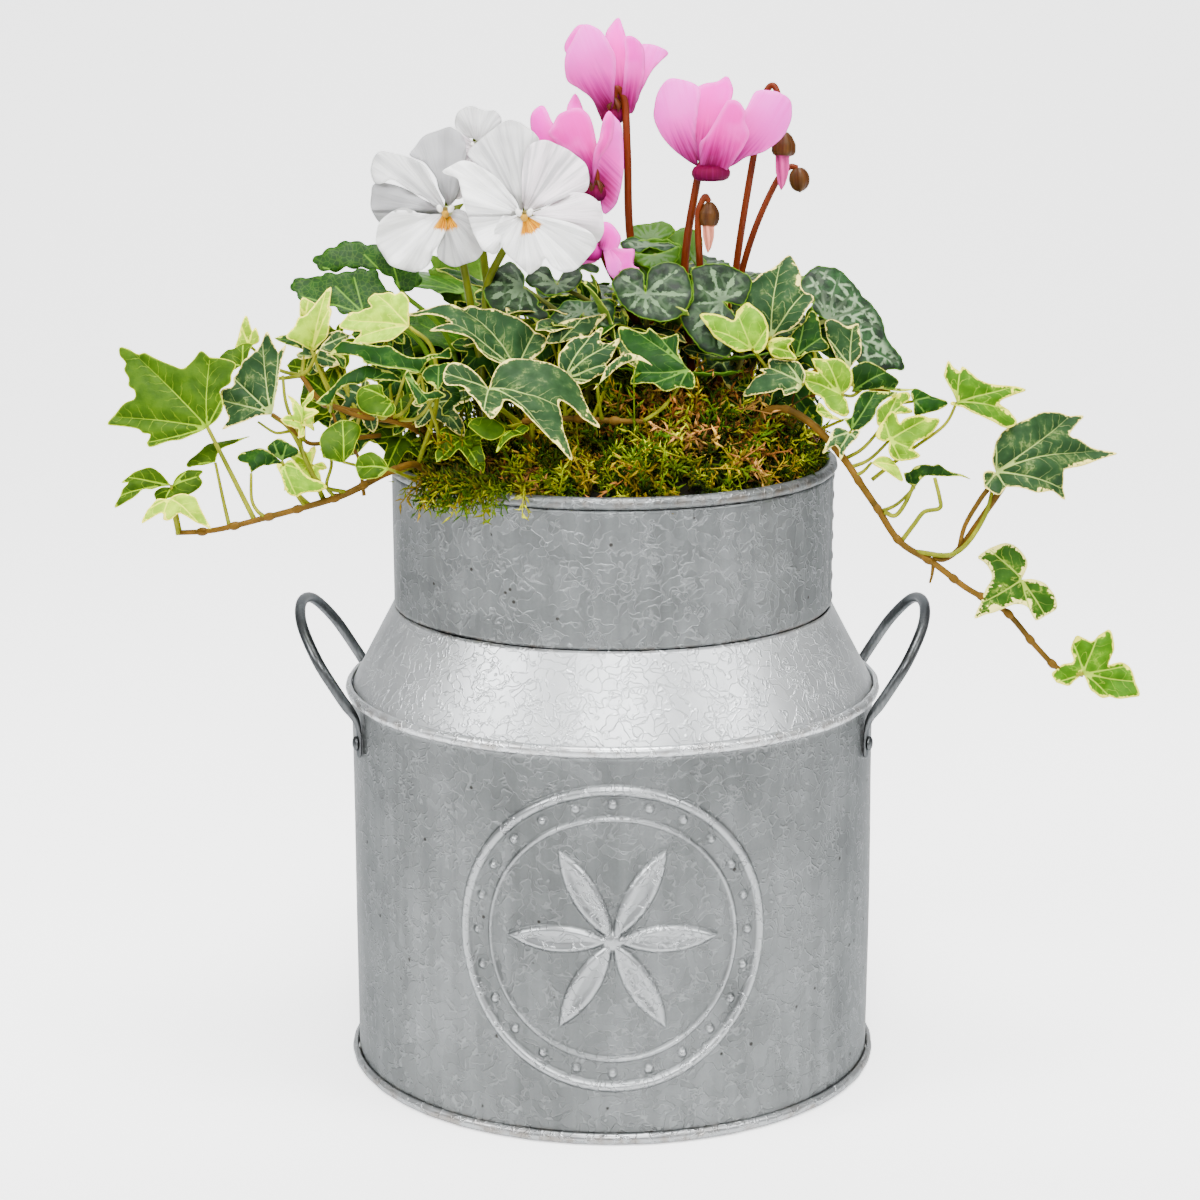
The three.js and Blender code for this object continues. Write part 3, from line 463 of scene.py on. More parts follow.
for side, hand in ((-1, "left"), (1, "right")):
    def wire_at(y, z):
        return (side * (105.99 + 0.625 * (z - 157)), y, z)

    def tab_at(end, z, radius=TAB_RADIUS):
        return (side * radius * math.cos(TAB_ANGLE), end * radius * math.sin(TAB_ANGLE), z)

    front_end = [tab_at(-1, 140.2), tab_at(-1, 141.4), tab_at(-1, 145), tab_at(-1, 151),
                 tab_at(-1, 156.5, 112.6)]
    bow = [wire_at(y, z) for y, z in ((-39.4, 162), (-40, 168), (-38, 181), (-24, 193), (0, 197))]
    half = front_end + bow
    corners = half + [(x, -y, z) for x, y, z in reversed(half[:-1])]
    path = smooth_path(corners, 7)
    sizes = [(1.6, 0.7), (3.2, 0.85), (3.5, 0.9), (3.4, 0.9), (2.8, 1.6)] + [(HANDLE_WIRE,) * 2] * 5
    sizes = np.array(sizes + sizes[-2::-1], float)
    stations = np.arange(len(sizes)) * 7
    wide = np.interp(np.arange(len(path)), stations, sizes[:, 0])
    thick = np.interp(np.arange(len(path)), stations, sizes[:, 1])
    outward = np.stack([side * np.ones(len(path)), 0.36 * path[:, 1] / 38, np.zeros(len(path))], 1)
    points, faces = rod(path, wide, thick, outward, 16)
    piece_from(f"handle_{hand}_rod", points, faces, steel.material,
               [f"handle_{hand}"])
    for end, where in ((-1, "front"), (1, "back")):
        heading = Vector((side * math.cos(TAB_ANGLE), end * math.sin(TAB_ANGLE), 0))
        rise = np.linspace(0, math.pi / 2, 7)
        rings = [(3.0, 112.3)] + [(3.0 * math.cos(a), 112.6 + 1.3 * math.sin(a)) for a in rise[:-1]]
        turn = ring_of(20)
        points = [heading * 112.3 + Vector((0, 0, RIVET_HEIGHT))]
        for reach, depth in rings:
            for a in turn:
                across = Vector((-heading.y, heading.x, 0)) * math.cos(a) * reach
                rise_by = Vector((0, 0, RIVET_HEIGHT + reach * math.sin(a)))
                points.append(heading * depth + across + rise_by)
        points.append(heading * 113.9 + Vector((0, 0, RIVET_HEIGHT)))
        faces = [tuple(f + 1) for f in lattice(len(rings), 20, closed_rows=False)]
        for k in range(20):
            faces.append((0, 1 + (k + 1) % 20, 1 + k))
            top = 1 + 20 * (len(rings) - 1)
            faces.append((len(points) - 1, top + k, top + (k + 1) % 20))
        piece_from(f"rivet_{hand}_{where}_head", points, faces, steel.material,
                   [f"rivet_{hand}_{where}"])


# ------------------------------------------------------ potting soil, tuber and moss
# Dark peat fills the neck. The cyclamen's corky tuber sits half out of it, and cut sheet
# moss is packed over the rest: fresh yellow-green sprigs with dried tan and brown shoots.

CROWN = np.array([32.0, -2.0])
SOIL_RADIUS = 89.5
MOSS_RADIUS = 87.8
TUBER_HEIGHT = 262.0
LEAF_TURN = 2.4


class Gather:
    """Points, faces and per-point fields of one piece, put together part by part."""

    def __init__(self):
        self.points, self.faces, self.fields, self.count = [], [], [], 0

    def add(self, points, faces, **fields):
        points = np.asarray(points, float)
        self.points.append(points)
        self.faces.extend(tuple(int(i) + self.count for i in face) for face in faces)
        plain = np.ones((len(points), 3))
        self.fields.append({name: np.asarray(value, float) * plain
                            for name, value in fields.items()})
        self.count += len(points)

    def piece(self, name, finish, slot, nodes=()):
        names = sorted({name for part in self.fields for name in part})
        blank = [np.zeros((len(points), 3)) for points in self.points]
        fields = {field: np.vstack([part.get(field, none)
                                    for part, none in zip(self.fields, blank)])
                  for field in names}
        points = np.vstack(self.points)
        return piece_from(name, points, self.faces, finish.material, nodes, fields)


def moss_height(x, y):
    """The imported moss: level with the rim, and heaped around the tuber."""
    reach = np.hypot(x, y)
    heap = np.exp(-((x - 32) ** 2 + (y + 2) ** 2) / (2 * 46**2))
    slope = 257.5 + 0.75 * (88.2 - reach) + 0.004 * (88.2 - reach) ** 2
    return np.minimum(256 + 3 * np.clip((88.2 - reach) / 12, 0, 1) + 30 * heap, slope)


def lumps(points, scale, seed=0.0):
    """Smooth noise of about -1 to 1 at each point, for uneven natural surfaces."""
    return np.array([noise.noise(Vector(p) / scale + Vector((seed, 0, 0))) for p in points])


def heaped_disc(radius, rings, columns, top, floor, rough, seed):
    """A closed disc with an uneven top and a flat underside."""
    reach = radius * np.linspace(0.02, 1, rings) ** 0.8
    turn = ring_of(columns)
    x, y = np.outer(reach, np.cos(turn)).ravel(), np.outer(reach, np.sin(turn)).ravel()
    z = top(x, y)
    flat = np.stack([x, y, z], 1)
    z = z + rough * (lumps(flat, 6.0, seed) + 0.6 * lumps(flat, 2.4, seed + 9))
    upper = np.stack([x, y, z], 1)
    lower = np.stack([radius * np.cos(turn), radius * np.sin(turn), np.full(columns, floor)], 1)
    points = np.vstack([upper, lower, [[0, 0, top(0, 0)]], [[0, 0, floor]]])
    faces = [tuple(f) for f in lattice(rings + 1, columns, closed_rows=False)]
    middle, under = len(points) - 2, len(points) - 1
    for k in range(columns):
        after = (k + 1) % columns
        faces.append((middle, k, after))
        faces.append((under, rings * columns + after, rings * columns + k))
    return points, faces


peat = Finish("damp_peat")
crumb = peat.noise(420.0, 4.0, rough=0.7)
peat_stops = [(0.3, paint(18, 13, 9)), (0.55, paint(45, 32, 22)), (0.75, paint(86, 64, 42))]
peat.surface(peat.node("ValToRGB", {"stops": peat_stops}, (crumb,)), 0.75 + 0.2 * crumb,
             (crumb, 1.2, 0.9), shine=0.1)


def soil_height(x, y):
    """The compost is heaped a little in the middle."""
    return 246.5 + 13 * (1 - (x**2 + y**2) / 91.6**2)


points, faces = heaped_disc(SOIL_RADIUS, 40, 150, soil_height, 201, 0.8, 3.0)
piece_from("potting_soil_fill", points, faces, peat.material, ["potting_soil"])

tuber = Finish("tuber_cork")
cork = tuber.noise(240.0, 5.0, rough=0.65)
tuber_stops = [(0.3, paint(48, 33, 22)), (0.6, paint(104, 78, 54)), (0.8, paint(146, 116, 84))]
tuber.surface(tuber.node("ValToRGB", {"stops": tuber_stops}, (cork,)), 0.6 + 0.3 * cork,
              (cork, 0.8, 0.8))
rise = np.linspace(-math.pi / 2 + 0.12, math.pi / 2 - 0.12, 22)
turn = ring_of(56)
corm = np.stack([CROWN[0] + 18.6 * np.outer(np.cos(rise), np.cos(turn)),
                 CROWN[1] + 18.6 * np.outer(np.cos(rise), np.sin(turn)),
                 TUBER_HEIGHT + 10.6 * np.outer(np.sin(rise), np.ones(56))], 2).reshape(-1, 3)
bulge = 1 + 0.05 * lumps(corm, 9.0, 5.0) + 0.02 * lumps(corm, 2.5, 1.0)
centre = np.array([*CROWN, TUBER_HEIGHT])
corm = centre + (corm - centre) * bulge[:, None]
piece_from("cyclamen_tuber_corm", corm, capped(22, 56), tuber.material,
           ["cyclamen_tuber"])


def moss_bed_height(x, y):
    """The dark bed under the sprigs, with a hollow where the tuber sits."""
    near = np.exp(-(((x - CROWN[0]) ** 2 + (y - CROWN[1]) ** 2) / 17.0**2) ** 2)
    return moss_height(x, y) - 3.5 - 19 * near


moss = Finish("sheet_moss")
moss_tint = moss.field("tint", "Color")
shaded_tint = moss.mix(1.0, moss_tint, (0.35, 0.3, 0.2), "MULTIPLY")
moss.surface(moss.mix(moss.noise(700.0, 2.0) * 0.5, moss_tint, shaded_tint),
             0.6 + 0.2 * moss.noise(300.0, 1.0), shine=0.06)
bed = Gather()
points, faces = heaped_disc(MOSS_RADIUS, 60, 190, moss_bed_height, 250, 2.4, 11.0)
# The bed stands for the moss mat's underside; its near-black mottle is painted shade for the gaps
# between the sprigs.
mottle = lumps(points, 5.0, 2.0)[:, None] * 0.5 + 0.5
bed.add(points, faces, tint=mottle * paint(26, 24, 4) + (1 - mottle) * paint(6, 4, 2))
bed.piece("moss_bed", moss, "moss", ["moss_mat"])

MOSS_TINTS = [paint(164, 166, 14), paint(126, 140, 6), paint(88, 110, 0), paint(58, 86, 0),
              paint(140, 118, 18), paint(44, 62, 0)]
DRY_TINTS = [paint(206, 146, 78), paint(178, 114, 56), paint(128, 80, 36), paint(184, 144, 60)]


def moss_sprigs(name, count, seed, y_low, y_high, leaflets):
    """Feathery sprigs: each is a thin bent stem with a leaflet every millimetre or so."""
    draw = np.random.default_rng(seed)
    x, y = draw.uniform(-87.6, 87.6, (2, count * 3))
    keep = (np.hypot(x, y) < 87.6) & (np.hypot(x - CROWN[0], y - CROWN[1]) > 15)
    keep &= (y > y_low) & (y < y_high)
    x, y = x[keep][:count], y[keep][:count]
    count = len(x)
    root = np.stack([x, y, moss_height(x, y) - 4.5], 1)
    slope = np.stack([x - CROWN[0], y - CROWN[1], np.full(count, 62.0)], 1)
    lean = unit(unit(slope) * 0.75 + draw.normal(0, 0.62, (count, 3)))
    rim = np.hypot(x, y) > 78
    inward = -np.stack([x, y, np.zeros(count)], 1) / 90
    lean = unit(lean + rim[:, None] * (0.15 * inward + (0, 0, 0.9)))
    lean[:, 2] = np.abs(lean[:, 2]) * 0.9 + 0.1
    length = draw.uniform(11, 26, count) * np.where(rim, 0.62, 1)
    length *= 0.92 + 0.42 * lumps(root, 8.0, seed)
    bend = draw.normal(0, 0.42, (count, 3)) - (0, 0, 0.16)
    share = np.linspace(0, 1, 7)
    stem = root[:, None] + length[:, None, None] * (
        lean[:, None] * share[:, None] + bend[:, None] * share[:, None] ** 2)
    reach = np.hypot(stem[..., 0], stem[..., 1])
    stem[..., :2] *= np.minimum(1, 88.3 / reach)[..., None]
    return sprig_mesh(name, stem, length, draw, leaflets, MOSS_TINTS)


def sprig_mesh(name, stem, length, draw, leaflets, tints):
    """Closed slim stems and four-sided leaflets along the given centre lines."""
    count, steps = stem.shape[:2]
    along = unit(np.gradient(stem, axis=1))
    side = unit(np.cross(along, draw.normal(0, 1, (count, 1, 3))))
    other = np.cross(along, side)
    turn = ring_of(3)
    thick = np.linspace(0.55, 0.25, steps)[:, None, None]
    ring = stem[:, :, None] + thick * (side[:, :, None] * np.cos(turn)[:, None]
                                       + other[:, :, None] * np.sin(turn)[:, None])
    tube = ring.reshape(-1, 3)
    each = lattice(steps, 3, closed_rows=False)
    start = (np.arange(count) * steps * 3)[:, None, None]
    faces = (each + start).reshape(-1, 4).tolist()
    faces += (np.array([2, 1, 0]) + start[:, 0]).tolist()
    faces += (np.array([0, 1, 2]) + (steps - 1) * 3 + start[:, 0]).tolist()
    place = np.linspace(0.12, 0.99, leaflets) * (steps - 1)
    low = np.minimum(place.astype(int), steps - 2)
    part = (place - low)[:, None]
    foot = stem[:, low] * (1 - part) + stem[:, low + 1] * part
    ahead = along[:, low]
    spin = draw.uniform(0, 2 * math.pi, (count, 1)) + np.arange(leaflets) * LEAF_TURN
    out = side[:, low] * np.cos(spin)[..., None] + other[:, low] * np.sin(spin)[..., None]
    size = (0.2 + 0.2 * draw.random((count, leaflets))) * length[:, None]
    size = np.clip(size * (1.15 - 0.5 * place / steps), 2.4, 6.0)[..., None]
    point = unit(0.75 * ahead + out)
    flat = unit(np.cross(point, draw.normal(0, 1, (count, leaflets, 3))))
    lift = np.cross(flat, point)
    quad = np.stack([foot, foot + size * (0.42 * point + 0.10 * flat),
                     foot + size * (point + 0.34 * lift),
                     foot + size * (0.42 * point - 0.10 * flat)], 2)
    spine = foot + size * (0.42 * point - 0.10 * lift)
    leaf = np.concatenate([quad, spine[:, :, None]], 2).reshape(-1, 3)
    first = len(tube) + np.arange(count * leaflets)[:, None, None] * 5
    sides = np.array([[0, 1, 2], [0, 2, 3], [0, 4, 1], [1, 4, 2], [2, 4, 3], [3, 4, 0]])
    faces += (first + sides).reshape(-1, 3).tolist()
    pick = np.array(tints)[draw.integers(0, len(tints), count)]
    pick = pick * draw.uniform(0.4, 1.3, (count, 1))
    # Sprigs on the left are painted darker: painted shade over that side of the moss.
    pick = pick * (0.82 + 0.18 * np.tanh((stem[:, :1, 0] + 30) / 25))
    # Each sprig is painted dark near its root and bright at its tip, stem and leaflets alike:
    # painted shade down among the sprigs and painted light on their tips.
    stem_painted_shade = np.linspace(0.12, 1.15, steps)[:, None]
    tube_tint = np.repeat((pick[:, None] * stem_painted_shade).reshape(-1, 3), 3, axis=0)
    leaflet_painted_shade = np.interp(place / (steps - 1), (0, 0.6, 1), (0.06, 0.7, 1.5))[:, None]
    leaf_tint = np.repeat((pick[:, None] * leaflet_painted_shade).reshape(-1, 3), 5, axis=0)
    strands = Gather()
    strands.add(np.vstack([tube, leaf]), faces, tint=np.vstack([tube_tint, leaf_tint]))
    return strands.piece(name, moss, "moss")


def dry_strands(name, count, seed, middle, spread, length, tints, leaflets):
    """Bent dried shoots over one part of the moss, some standing up out of it."""
    draw = np.random.default_rng(seed)
    spot = np.asarray(middle) + draw.normal(0, 1, (count, 2)) * spread
    far = np.hypot(*spot.T)
    spot = spot * np.minimum(1, 83 / far)[:, None]
    root = np.column_stack([spot, moss_height(*spot.T) - 1.0])
    heading = draw.uniform(0, 2 * math.pi, count)
    lean = np.stack([np.cos(heading), np.sin(heading), draw.uniform(0.15, 1.0, count)], 1)
    size = draw.uniform(*length, count)
    bend = draw.normal(0, 0.45, (count, 3)) - (0, 0, 0.5)
    wave = draw.normal(0, 0.12, (count, 3))
    share = np.linspace(0, 1, 8)[:, None]
    stem = root[:, None] + size[:, None, None] * (
        0.8 * unit(lean)[:, None] * share + bend[:, None] * share**2 * 0.8
        + wave[:, None] * np.sin(7 * share))
    floor = moss_height(stem[..., 0], stem[..., 1]) + 0.5
    stem[..., 2] = np.maximum(stem[..., 2], floor)
    reach = np.hypot(stem[..., 0], stem[..., 1])
    shrink = np.minimum(1, 87 / reach)[..., None]
    stem[..., :2] *= shrink
    return sprig_mesh(name, stem, size * 0.8, draw, leaflets, tints)


moss_sprigs("moss_sprigs_front", 820, 21, -88, -18, 14)
moss_sprigs("moss_sprigs_middle", 700, 22, -22, 34, 13)
moss_sprigs("moss_sprigs_back", 700, 23, 30, 88, 13)
dry_strands("moss_dry_right", 170, 31, (33, -30), (15, 17), (17, 34), DRY_TINTS, 12)
dry_strands("moss_dry_left", 60, 32, (-22, -60), (28, 12), (12, 22), DRY_TINTS, 10)
dry_strands("moss_right_rim", 150, 34, (74, -22), (8, 17), (10, 19), MOSS_TINTS[1:6], 12)
dry_strands("moss_dry_back", 90, 33, (0, 40), (44, 20), (12, 24), DRY_TINTS, 10)


def hanging_tuft(name, count, seed):
    """The sprigs that have crept over the rim at the left and hang down outside it."""
    draw = np.random.default_rng(seed)
    turn = np.radians(np.clip(draw.normal(231, 8.0, count), 212, 250))
    out = np.stack([np.cos(turn), np.sin(turn), np.zeros(count)], 1)
    root = out * 84.5 + np.array([0, 0, 1]) * draw.uniform(259, 262.5, count)[:, None]
    size = draw.uniform(8, 20, count)
    share = np.linspace(0, 1, 8)[:, None]
    aside = np.stack([-out[:, 1], out[:, 0], np.zeros(count)], 1) * draw.normal(0, 0.45, (count, 1))
    stem = root[:, None] + size[:, None, None] * (
        (out + aside)[:, None] * share * 0.95 + np.array([0, 0, 0.45]) * share
        - np.array([0, 0, 0.95]) * share**2)
    reach = np.hypot(stem[..., 0], stem[..., 1])
    over = (reach > 86.5) & (reach < 95.5) & (stem[..., 2] < 261.0)
    stem[..., 2] = np.where(over, 261.0, stem[..., 2])
    return sprig_mesh(name, stem, size, draw, 16, MOSS_TINTS[:5])


hanging_tuft("moss_tuft_rim", 105, 41)


# ---------------------------------------------------------------- cyclamen leaves
# Kidney-shaped leaves on thin petioles from the tuber's crown. Each is thick and leathery,
# dark green with silver marbling between the veins, a scalloped pale rim and a plain green
# underside.

def smooth_outline(points, sharp, gap):
    """A closed outline, curved between its sharp points and stepped about gap apart."""
    points = np.asarray(points, float)
    count = len(points)
    sharp = sorted({index % count for index in sharp})
    runs = []
    for first, last in zip(sharp, sharp[1:] + [sharp[0] + count]):
        line = smooth_path(points[np.arange(first, last + 1) % count], 6)
        length = np.append(0, np.cumsum(np.linalg.norm(np.diff(line, axis=0), axis=1)))
        steps = max(2, round(length[-1] / gap))
        at = np.linspace(0, length[-1], steps, endpoint=False)
        runs.append(np.stack([np.interp(at, length, line[:, axis]) for axis in (0, 1)], 1))
    return np.vstack(runs)


def off_line(points, starts, ends):
    """For each point: how far the nearest of the straight pieces is, and which one it is."""
    way = ends - starts
    size = np.maximum((way**2).sum(1), 1e-9)
    from_start = points[:, None] - starts
    share = np.clip((from_start * way).sum(2) / size, 0, 1)
    off = np.linalg.norm(from_start - share[..., None] * way, axis=2)
    best = off.argmin(1)
    rows = np.arange(len(points))
    return off[rows, best], best, share[rows, best]


def inside(points, rim):
    """Whether each point lies within a closed outline."""
    x, y = points[:, :1], points[:, 1:]
    after = np.roll(rim, -1, 0)
    cross = (rim[:, 1] > y) != (after[:, 1] > y)
    slope = (after[:, 0] - rim[:, 0]) / np.where(after[:, 1] == rim[:, 1], 1e-9,
                                                 after[:, 1] - rim[:, 1])
    return (cross & (x < rim[:, 0] + (y - rim[:, 1]) * slope)).sum(1) % 2 == 1


def vein_line(tip, bow, gap):
    """A slightly bowed line from the foot of a blade towards one of its tips."""
    tip = np.asarray(tip, float)
    length = np.linalg.norm(tip)
    share = np.linspace(0, 0.96, max(3, round(length / gap)))[:, None]
    return tip * share + bow * np.array([-tip[1], tip[0]]) * share * (1 - share)


class Sheet:
    """A flat leaf or petal: its points, triangles and how far each point is from rim and veins."""

    def __init__(self, outline, sharp, tips, gap=1.15, bows=None):
        rim = smooth_outline(np.vstack([[0, 0], outline]), [0, *sharp], gap)
        verts, edges = [rim], [(i, (i + 1) % len(rim)) for i in range(len(rim))]
        count = len(rim)
        self.lines = []
        for number, tip in enumerate(tips):
            line = vein_line(tip, bows[number] if bows else 0.0, gap)
            held = np.append(True, inside(line[1:], rim))
            first = 1 + int(held[1:].argmax())
            stop = first + int(np.append(~held[first:], True).argmax())
            line = np.vstack([line[:1], line[first:stop]])
            if len(line) < 3:
                continue
            self.lines.append(line)
            kept = line[1:]
            kept = kept[off_line(kept, rim, np.roll(rim, -1, 0))[0] > gap * 0.45]
            verts.append(kept)
            edges += [(count + i, count + i + 1) for i in range(len(kept) - 1)]
            count += len(kept)
        if not self.lines:
            self.lines.append(np.array([(0.0, 0.0), rim.mean(0)]))
        low, high = rim.min(0), rim.max(0)
        rows = np.arange(low[1], high[1], gap * 0.866)
        columns = np.arange(low[0], high[0], gap)
        grid = np.array([(x + (k % 2) * gap / 2, y) for k, y in enumerate(rows) for x in columns])
        grid = grid[inside(grid, rim)]
        fixed = np.vstack(verts)
        near = np.linalg.norm(grid[:, None] - fixed[None], axis=2).min(1)
        verts.append(grid[near > gap * 0.6])
        flat = [Vector(p) for p in np.vstack(verts)]
        made = geometry.delaunay_2d_cdt(flat, edges, [list(range(len(rim)))], 1, 1e-4)
        self.flat = np.array([tuple(p) for p in made[0]])
        middle = np.array([self.flat[list(face)].mean(0) for face in made[2]])
        held = inside(middle, rim)
        self.faces = np.array([face for face, good in zip(made[2], held) if good])
        used, renamed = np.unique(self.faces, return_inverse=True)
        self.flat, self.faces = self.flat[used], renamed.reshape(-1, 3)
        self.edge = off_line(self.flat, rim, np.roll(rim, -1, 0))[0]
        starts = np.vstack([line[:-1] for line in self.lines])
        ends = np.vstack([line[1:] for line in self.lines])
        length = np.concatenate([np.cumsum(np.linalg.norm(np.diff(line, axis=0), axis=1))
                                 for line in self.lines])
        step = np.linalg.norm(ends - starts, axis=1)
        self.vein, best, share = off_line(self.flat, starts, ends)
        self.along = (length - step)[best] + share * step[best]
        self.size = np.linalg.norm(rim, axis=1).max()

    def laid(self, base, frame, height, thick=0.45):
        """The sheet in space with its relief: points of both faces, and the faces."""
        across, up, out = frame
        flat, faces = self.flat, self.faces
        top = np.asarray(base) + flat[:, :1] * across + flat[:, 1:] * up + height[:, None] * out
        a, b, c = (top[faces[:, k]] for k in range(3))
        facing = np.cross(b - a, c - a)
        normal = np.zeros_like(top)
        for k in range(3):
            np.add.at(normal, faces[:, k], facing)
        normal = unit(normal)
        if (normal @ out).mean() < 0:
            normal, faces = -normal, faces[:, ::-1]
        slim = thick * np.clip(0.35 + self.edge / 1.5, 0.35, 1)[:, None]
        count = len(top)
        pairs = np.sort(faces[:, [0, 1, 1, 2, 2, 0]].reshape(-1, 2), 1)
        ways = faces[:, [0, 1, 1, 2, 2, 0]].reshape(-1, 2)
        _, index, times = np.unique(pairs, axis=0, return_index=True, return_counts=True)
        rim = ways[index[times == 1]]
        quads = np.stack([rim[:, 1], rim[:, 0], rim[:, 0] + count, rim[:, 1] + count], 1)
        both = faces.tolist() + (faces[:, ::-1] + count).tolist() + quads.tolist()
        return np.vstack([top + normal * slim / 2, top - normal * slim / 2]), both


def facing_frame(face):
    """The plane of a blade that was measured upright: its across, up and outward ways."""
    out = unit(np.array(face, float))
    across = unit(np.cross((0, 0, 1), out))
    return across, np.cross(out, across), out


def growing_frame(base, tip, face):
    """The plane of a blade from its foot, its tip and roughly where it faces."""
    up = unit(np.subtract(tip, base).astype(float))
    across = unit(np.cross(up, face))
    return across, up, np.cross(across, up)


def side_colours(sheet, top, under):
    """One colour for the points of a sheet's upper side and another for the lower side."""
    count = len(sheet.flat)
    return np.vstack([np.tile(top, (count, 1)), np.tile(under, (count, 1))])


def both_sides(*columns):
    one = np.stack([np.asarray(c, float) for c in columns], 1)
    return np.vstack([one, one])


def add_leaf(group, sheet, base, frame, height, thick, shift, middle, veins, border, thin=0.0,
             **more):
    """A leaf with the fields that its finish reads. Each colour is one for the upper side and
    one for the under side, and shift moves the leaf to a part of its pattern of its own."""
    points, faces = sheet.laid(base, frame, height, thick)
    count = len(sheet.flat)
    place = both_sides(sheet.flat[:, 0] + shift, sheet.flat[:, 1], np.zeros(count))
    place[:count, 2] = thin
    group.add(points, faces, blade=both_sides(sheet.edge, sheet.vein, sheet.along), sheet=place,
              middle=side_colours(sheet, *middle), veins=side_colours(sheet, *veins),
              border=side_colours(sheet, *border), **more)


def one_colour(colour, blade=(3.0, 3.0, 0.0), sheet=(0.0, 0.0, 0.0)):
    """The fields of a part that has one colour all over."""
    return {"blade": blade, "sheet": sheet, "middle": colour, "border": colour, "veins": colour}


def stalk_path(points, steps=6):
    return smooth_path(np.asarray(points, float), steps)


def add_stalk(group, path, start, end, colour, sides=8, **more):
    """A round stalk that tapers from one radius to the other."""
    path = np.asarray(path, float)
    size = np.linspace(start, end, len(path))
    points, faces = rod(path, size, size, (0.35, -0.8, 0.45), sides)
    share = np.repeat(np.linspace(0, 1, len(path)), sides)
    share = np.concatenate([share, [0, 1]])
    colour = colour(share) if callable(colour) else colour
    group.add(points, faces, **{**one_colour(colour, (9.0, 9.0, 0.0)), **more})


def waves(points, size, seed):
    """Soft noise over a flat blade, for the way no leaf lies quite flat."""
    deep = np.column_stack([points, np.full(len(points), seed * 7.3)])
    return lumps(deep, size, seed)


CYCLAMEN_GREEN = paint(22, 48, 13)
CYCLAMEN_DARK = paint(7, 22, 7)
CYCLAMEN_SILVER = paint(100, 125, 89)
CYCLAMEN_RIM = paint(92, 132, 22)
CYCLAMEN_UNDER = paint(54, 90, 8)
STALK_RED = paint(90, 31, 4)

cyclamen_leaf = Finish("cyclamen_leaf_skin")
edge, vein, along = cyclamen_leaf.split(cyclamen_leaf.field("blade"))
on_blade = cyclamen_leaf.field("sheet")
thin = cyclamen_leaf.split(on_blade)[2]
middle = cyclamen_leaf.field("middle", "Color")
marble = cyclamen_leaf.field("veins", "Color")
border = cyclamen_leaf.field("border", "Color")
drift = cyclamen_leaf.node("TexNoise", None, {"Vector": on_blade, "Scale": 0.35, "Detail": 2.0},
                           out=1)
bent = cyclamen_leaf.mix(0.9, on_blade, drift, "LINEAR_LIGHT")
cells = cyclamen_leaf.node("TexVoronoi", {"feature": "DISTANCE_TO_EDGE"},
                           {"Vector": bent, "Scale": 0.19})
patch = cyclamen_leaf.noise(0.26, 3.0, bent, 0.6)
web = cyclamen_leaf.between(cells, 0.15, 0.04) * cyclamen_leaf.between(patch, 0.34, 0.52)
marked = cyclamen_leaf.between(thin, 0.2, 0.8)
netted = cyclamen_leaf.between(thin, 1.3, 1.7)
band = cyclamen_leaf.between(edge, 1.0, 4.0) * cyclamen_leaf.between(vein, 0.25, 0.9)
zone = cyclamen_leaf.between(edge, 14.0, 8.0) * cyclamen_leaf.between(edge, 2.0, 5.0)
feathers = cyclamen_leaf.between(vein + (patch - 0.5) * 6.0 - zone * 0.25, 0.62, 0.25)
feathers = feathers * (0.35 + 0.65 * cyclamen_leaf.between(along, 2.0, 6.0))
feathers = feathers * cyclamen_leaf.between(edge, 1.2, 3.0)
silver = feathers * (0.8 - netted * 0.7) + web * band * (0.2 + netted * 0.65)
vein_edge = cyclamen_leaf.between(vein, 0.75, 0.15) * cyclamen_leaf.between(along, 14.0, 3.0)
skin = cyclamen_leaf.mix(cyclamen_leaf.between(patch, 0.3, 0.75), CYCLAMEN_DARK, middle)
skin = cyclamen_leaf.mix(marked, middle, skin)
skin = cyclamen_leaf.mix(silver * marked, skin, marble)
skin = cyclamen_leaf.mix(vein_edge * 0.4, skin, marble)
skin = cyclamen_leaf.mix(cyclamen_leaf.between(edge, 0.55, 0.1) * 0.8, skin, border)
pores = cyclamen_leaf.noise(1.6, 2.0, on_blade)
cyclamen_leaf.surface(skin, 0.36 + 0.25 * pores + 0.12 * silver,
                      (patch + 0.3 * pores + 0.5 * silver, 0.35, 0.6), shine=0.16,
                      glow=paint(88, 130, 40), share=0.05)
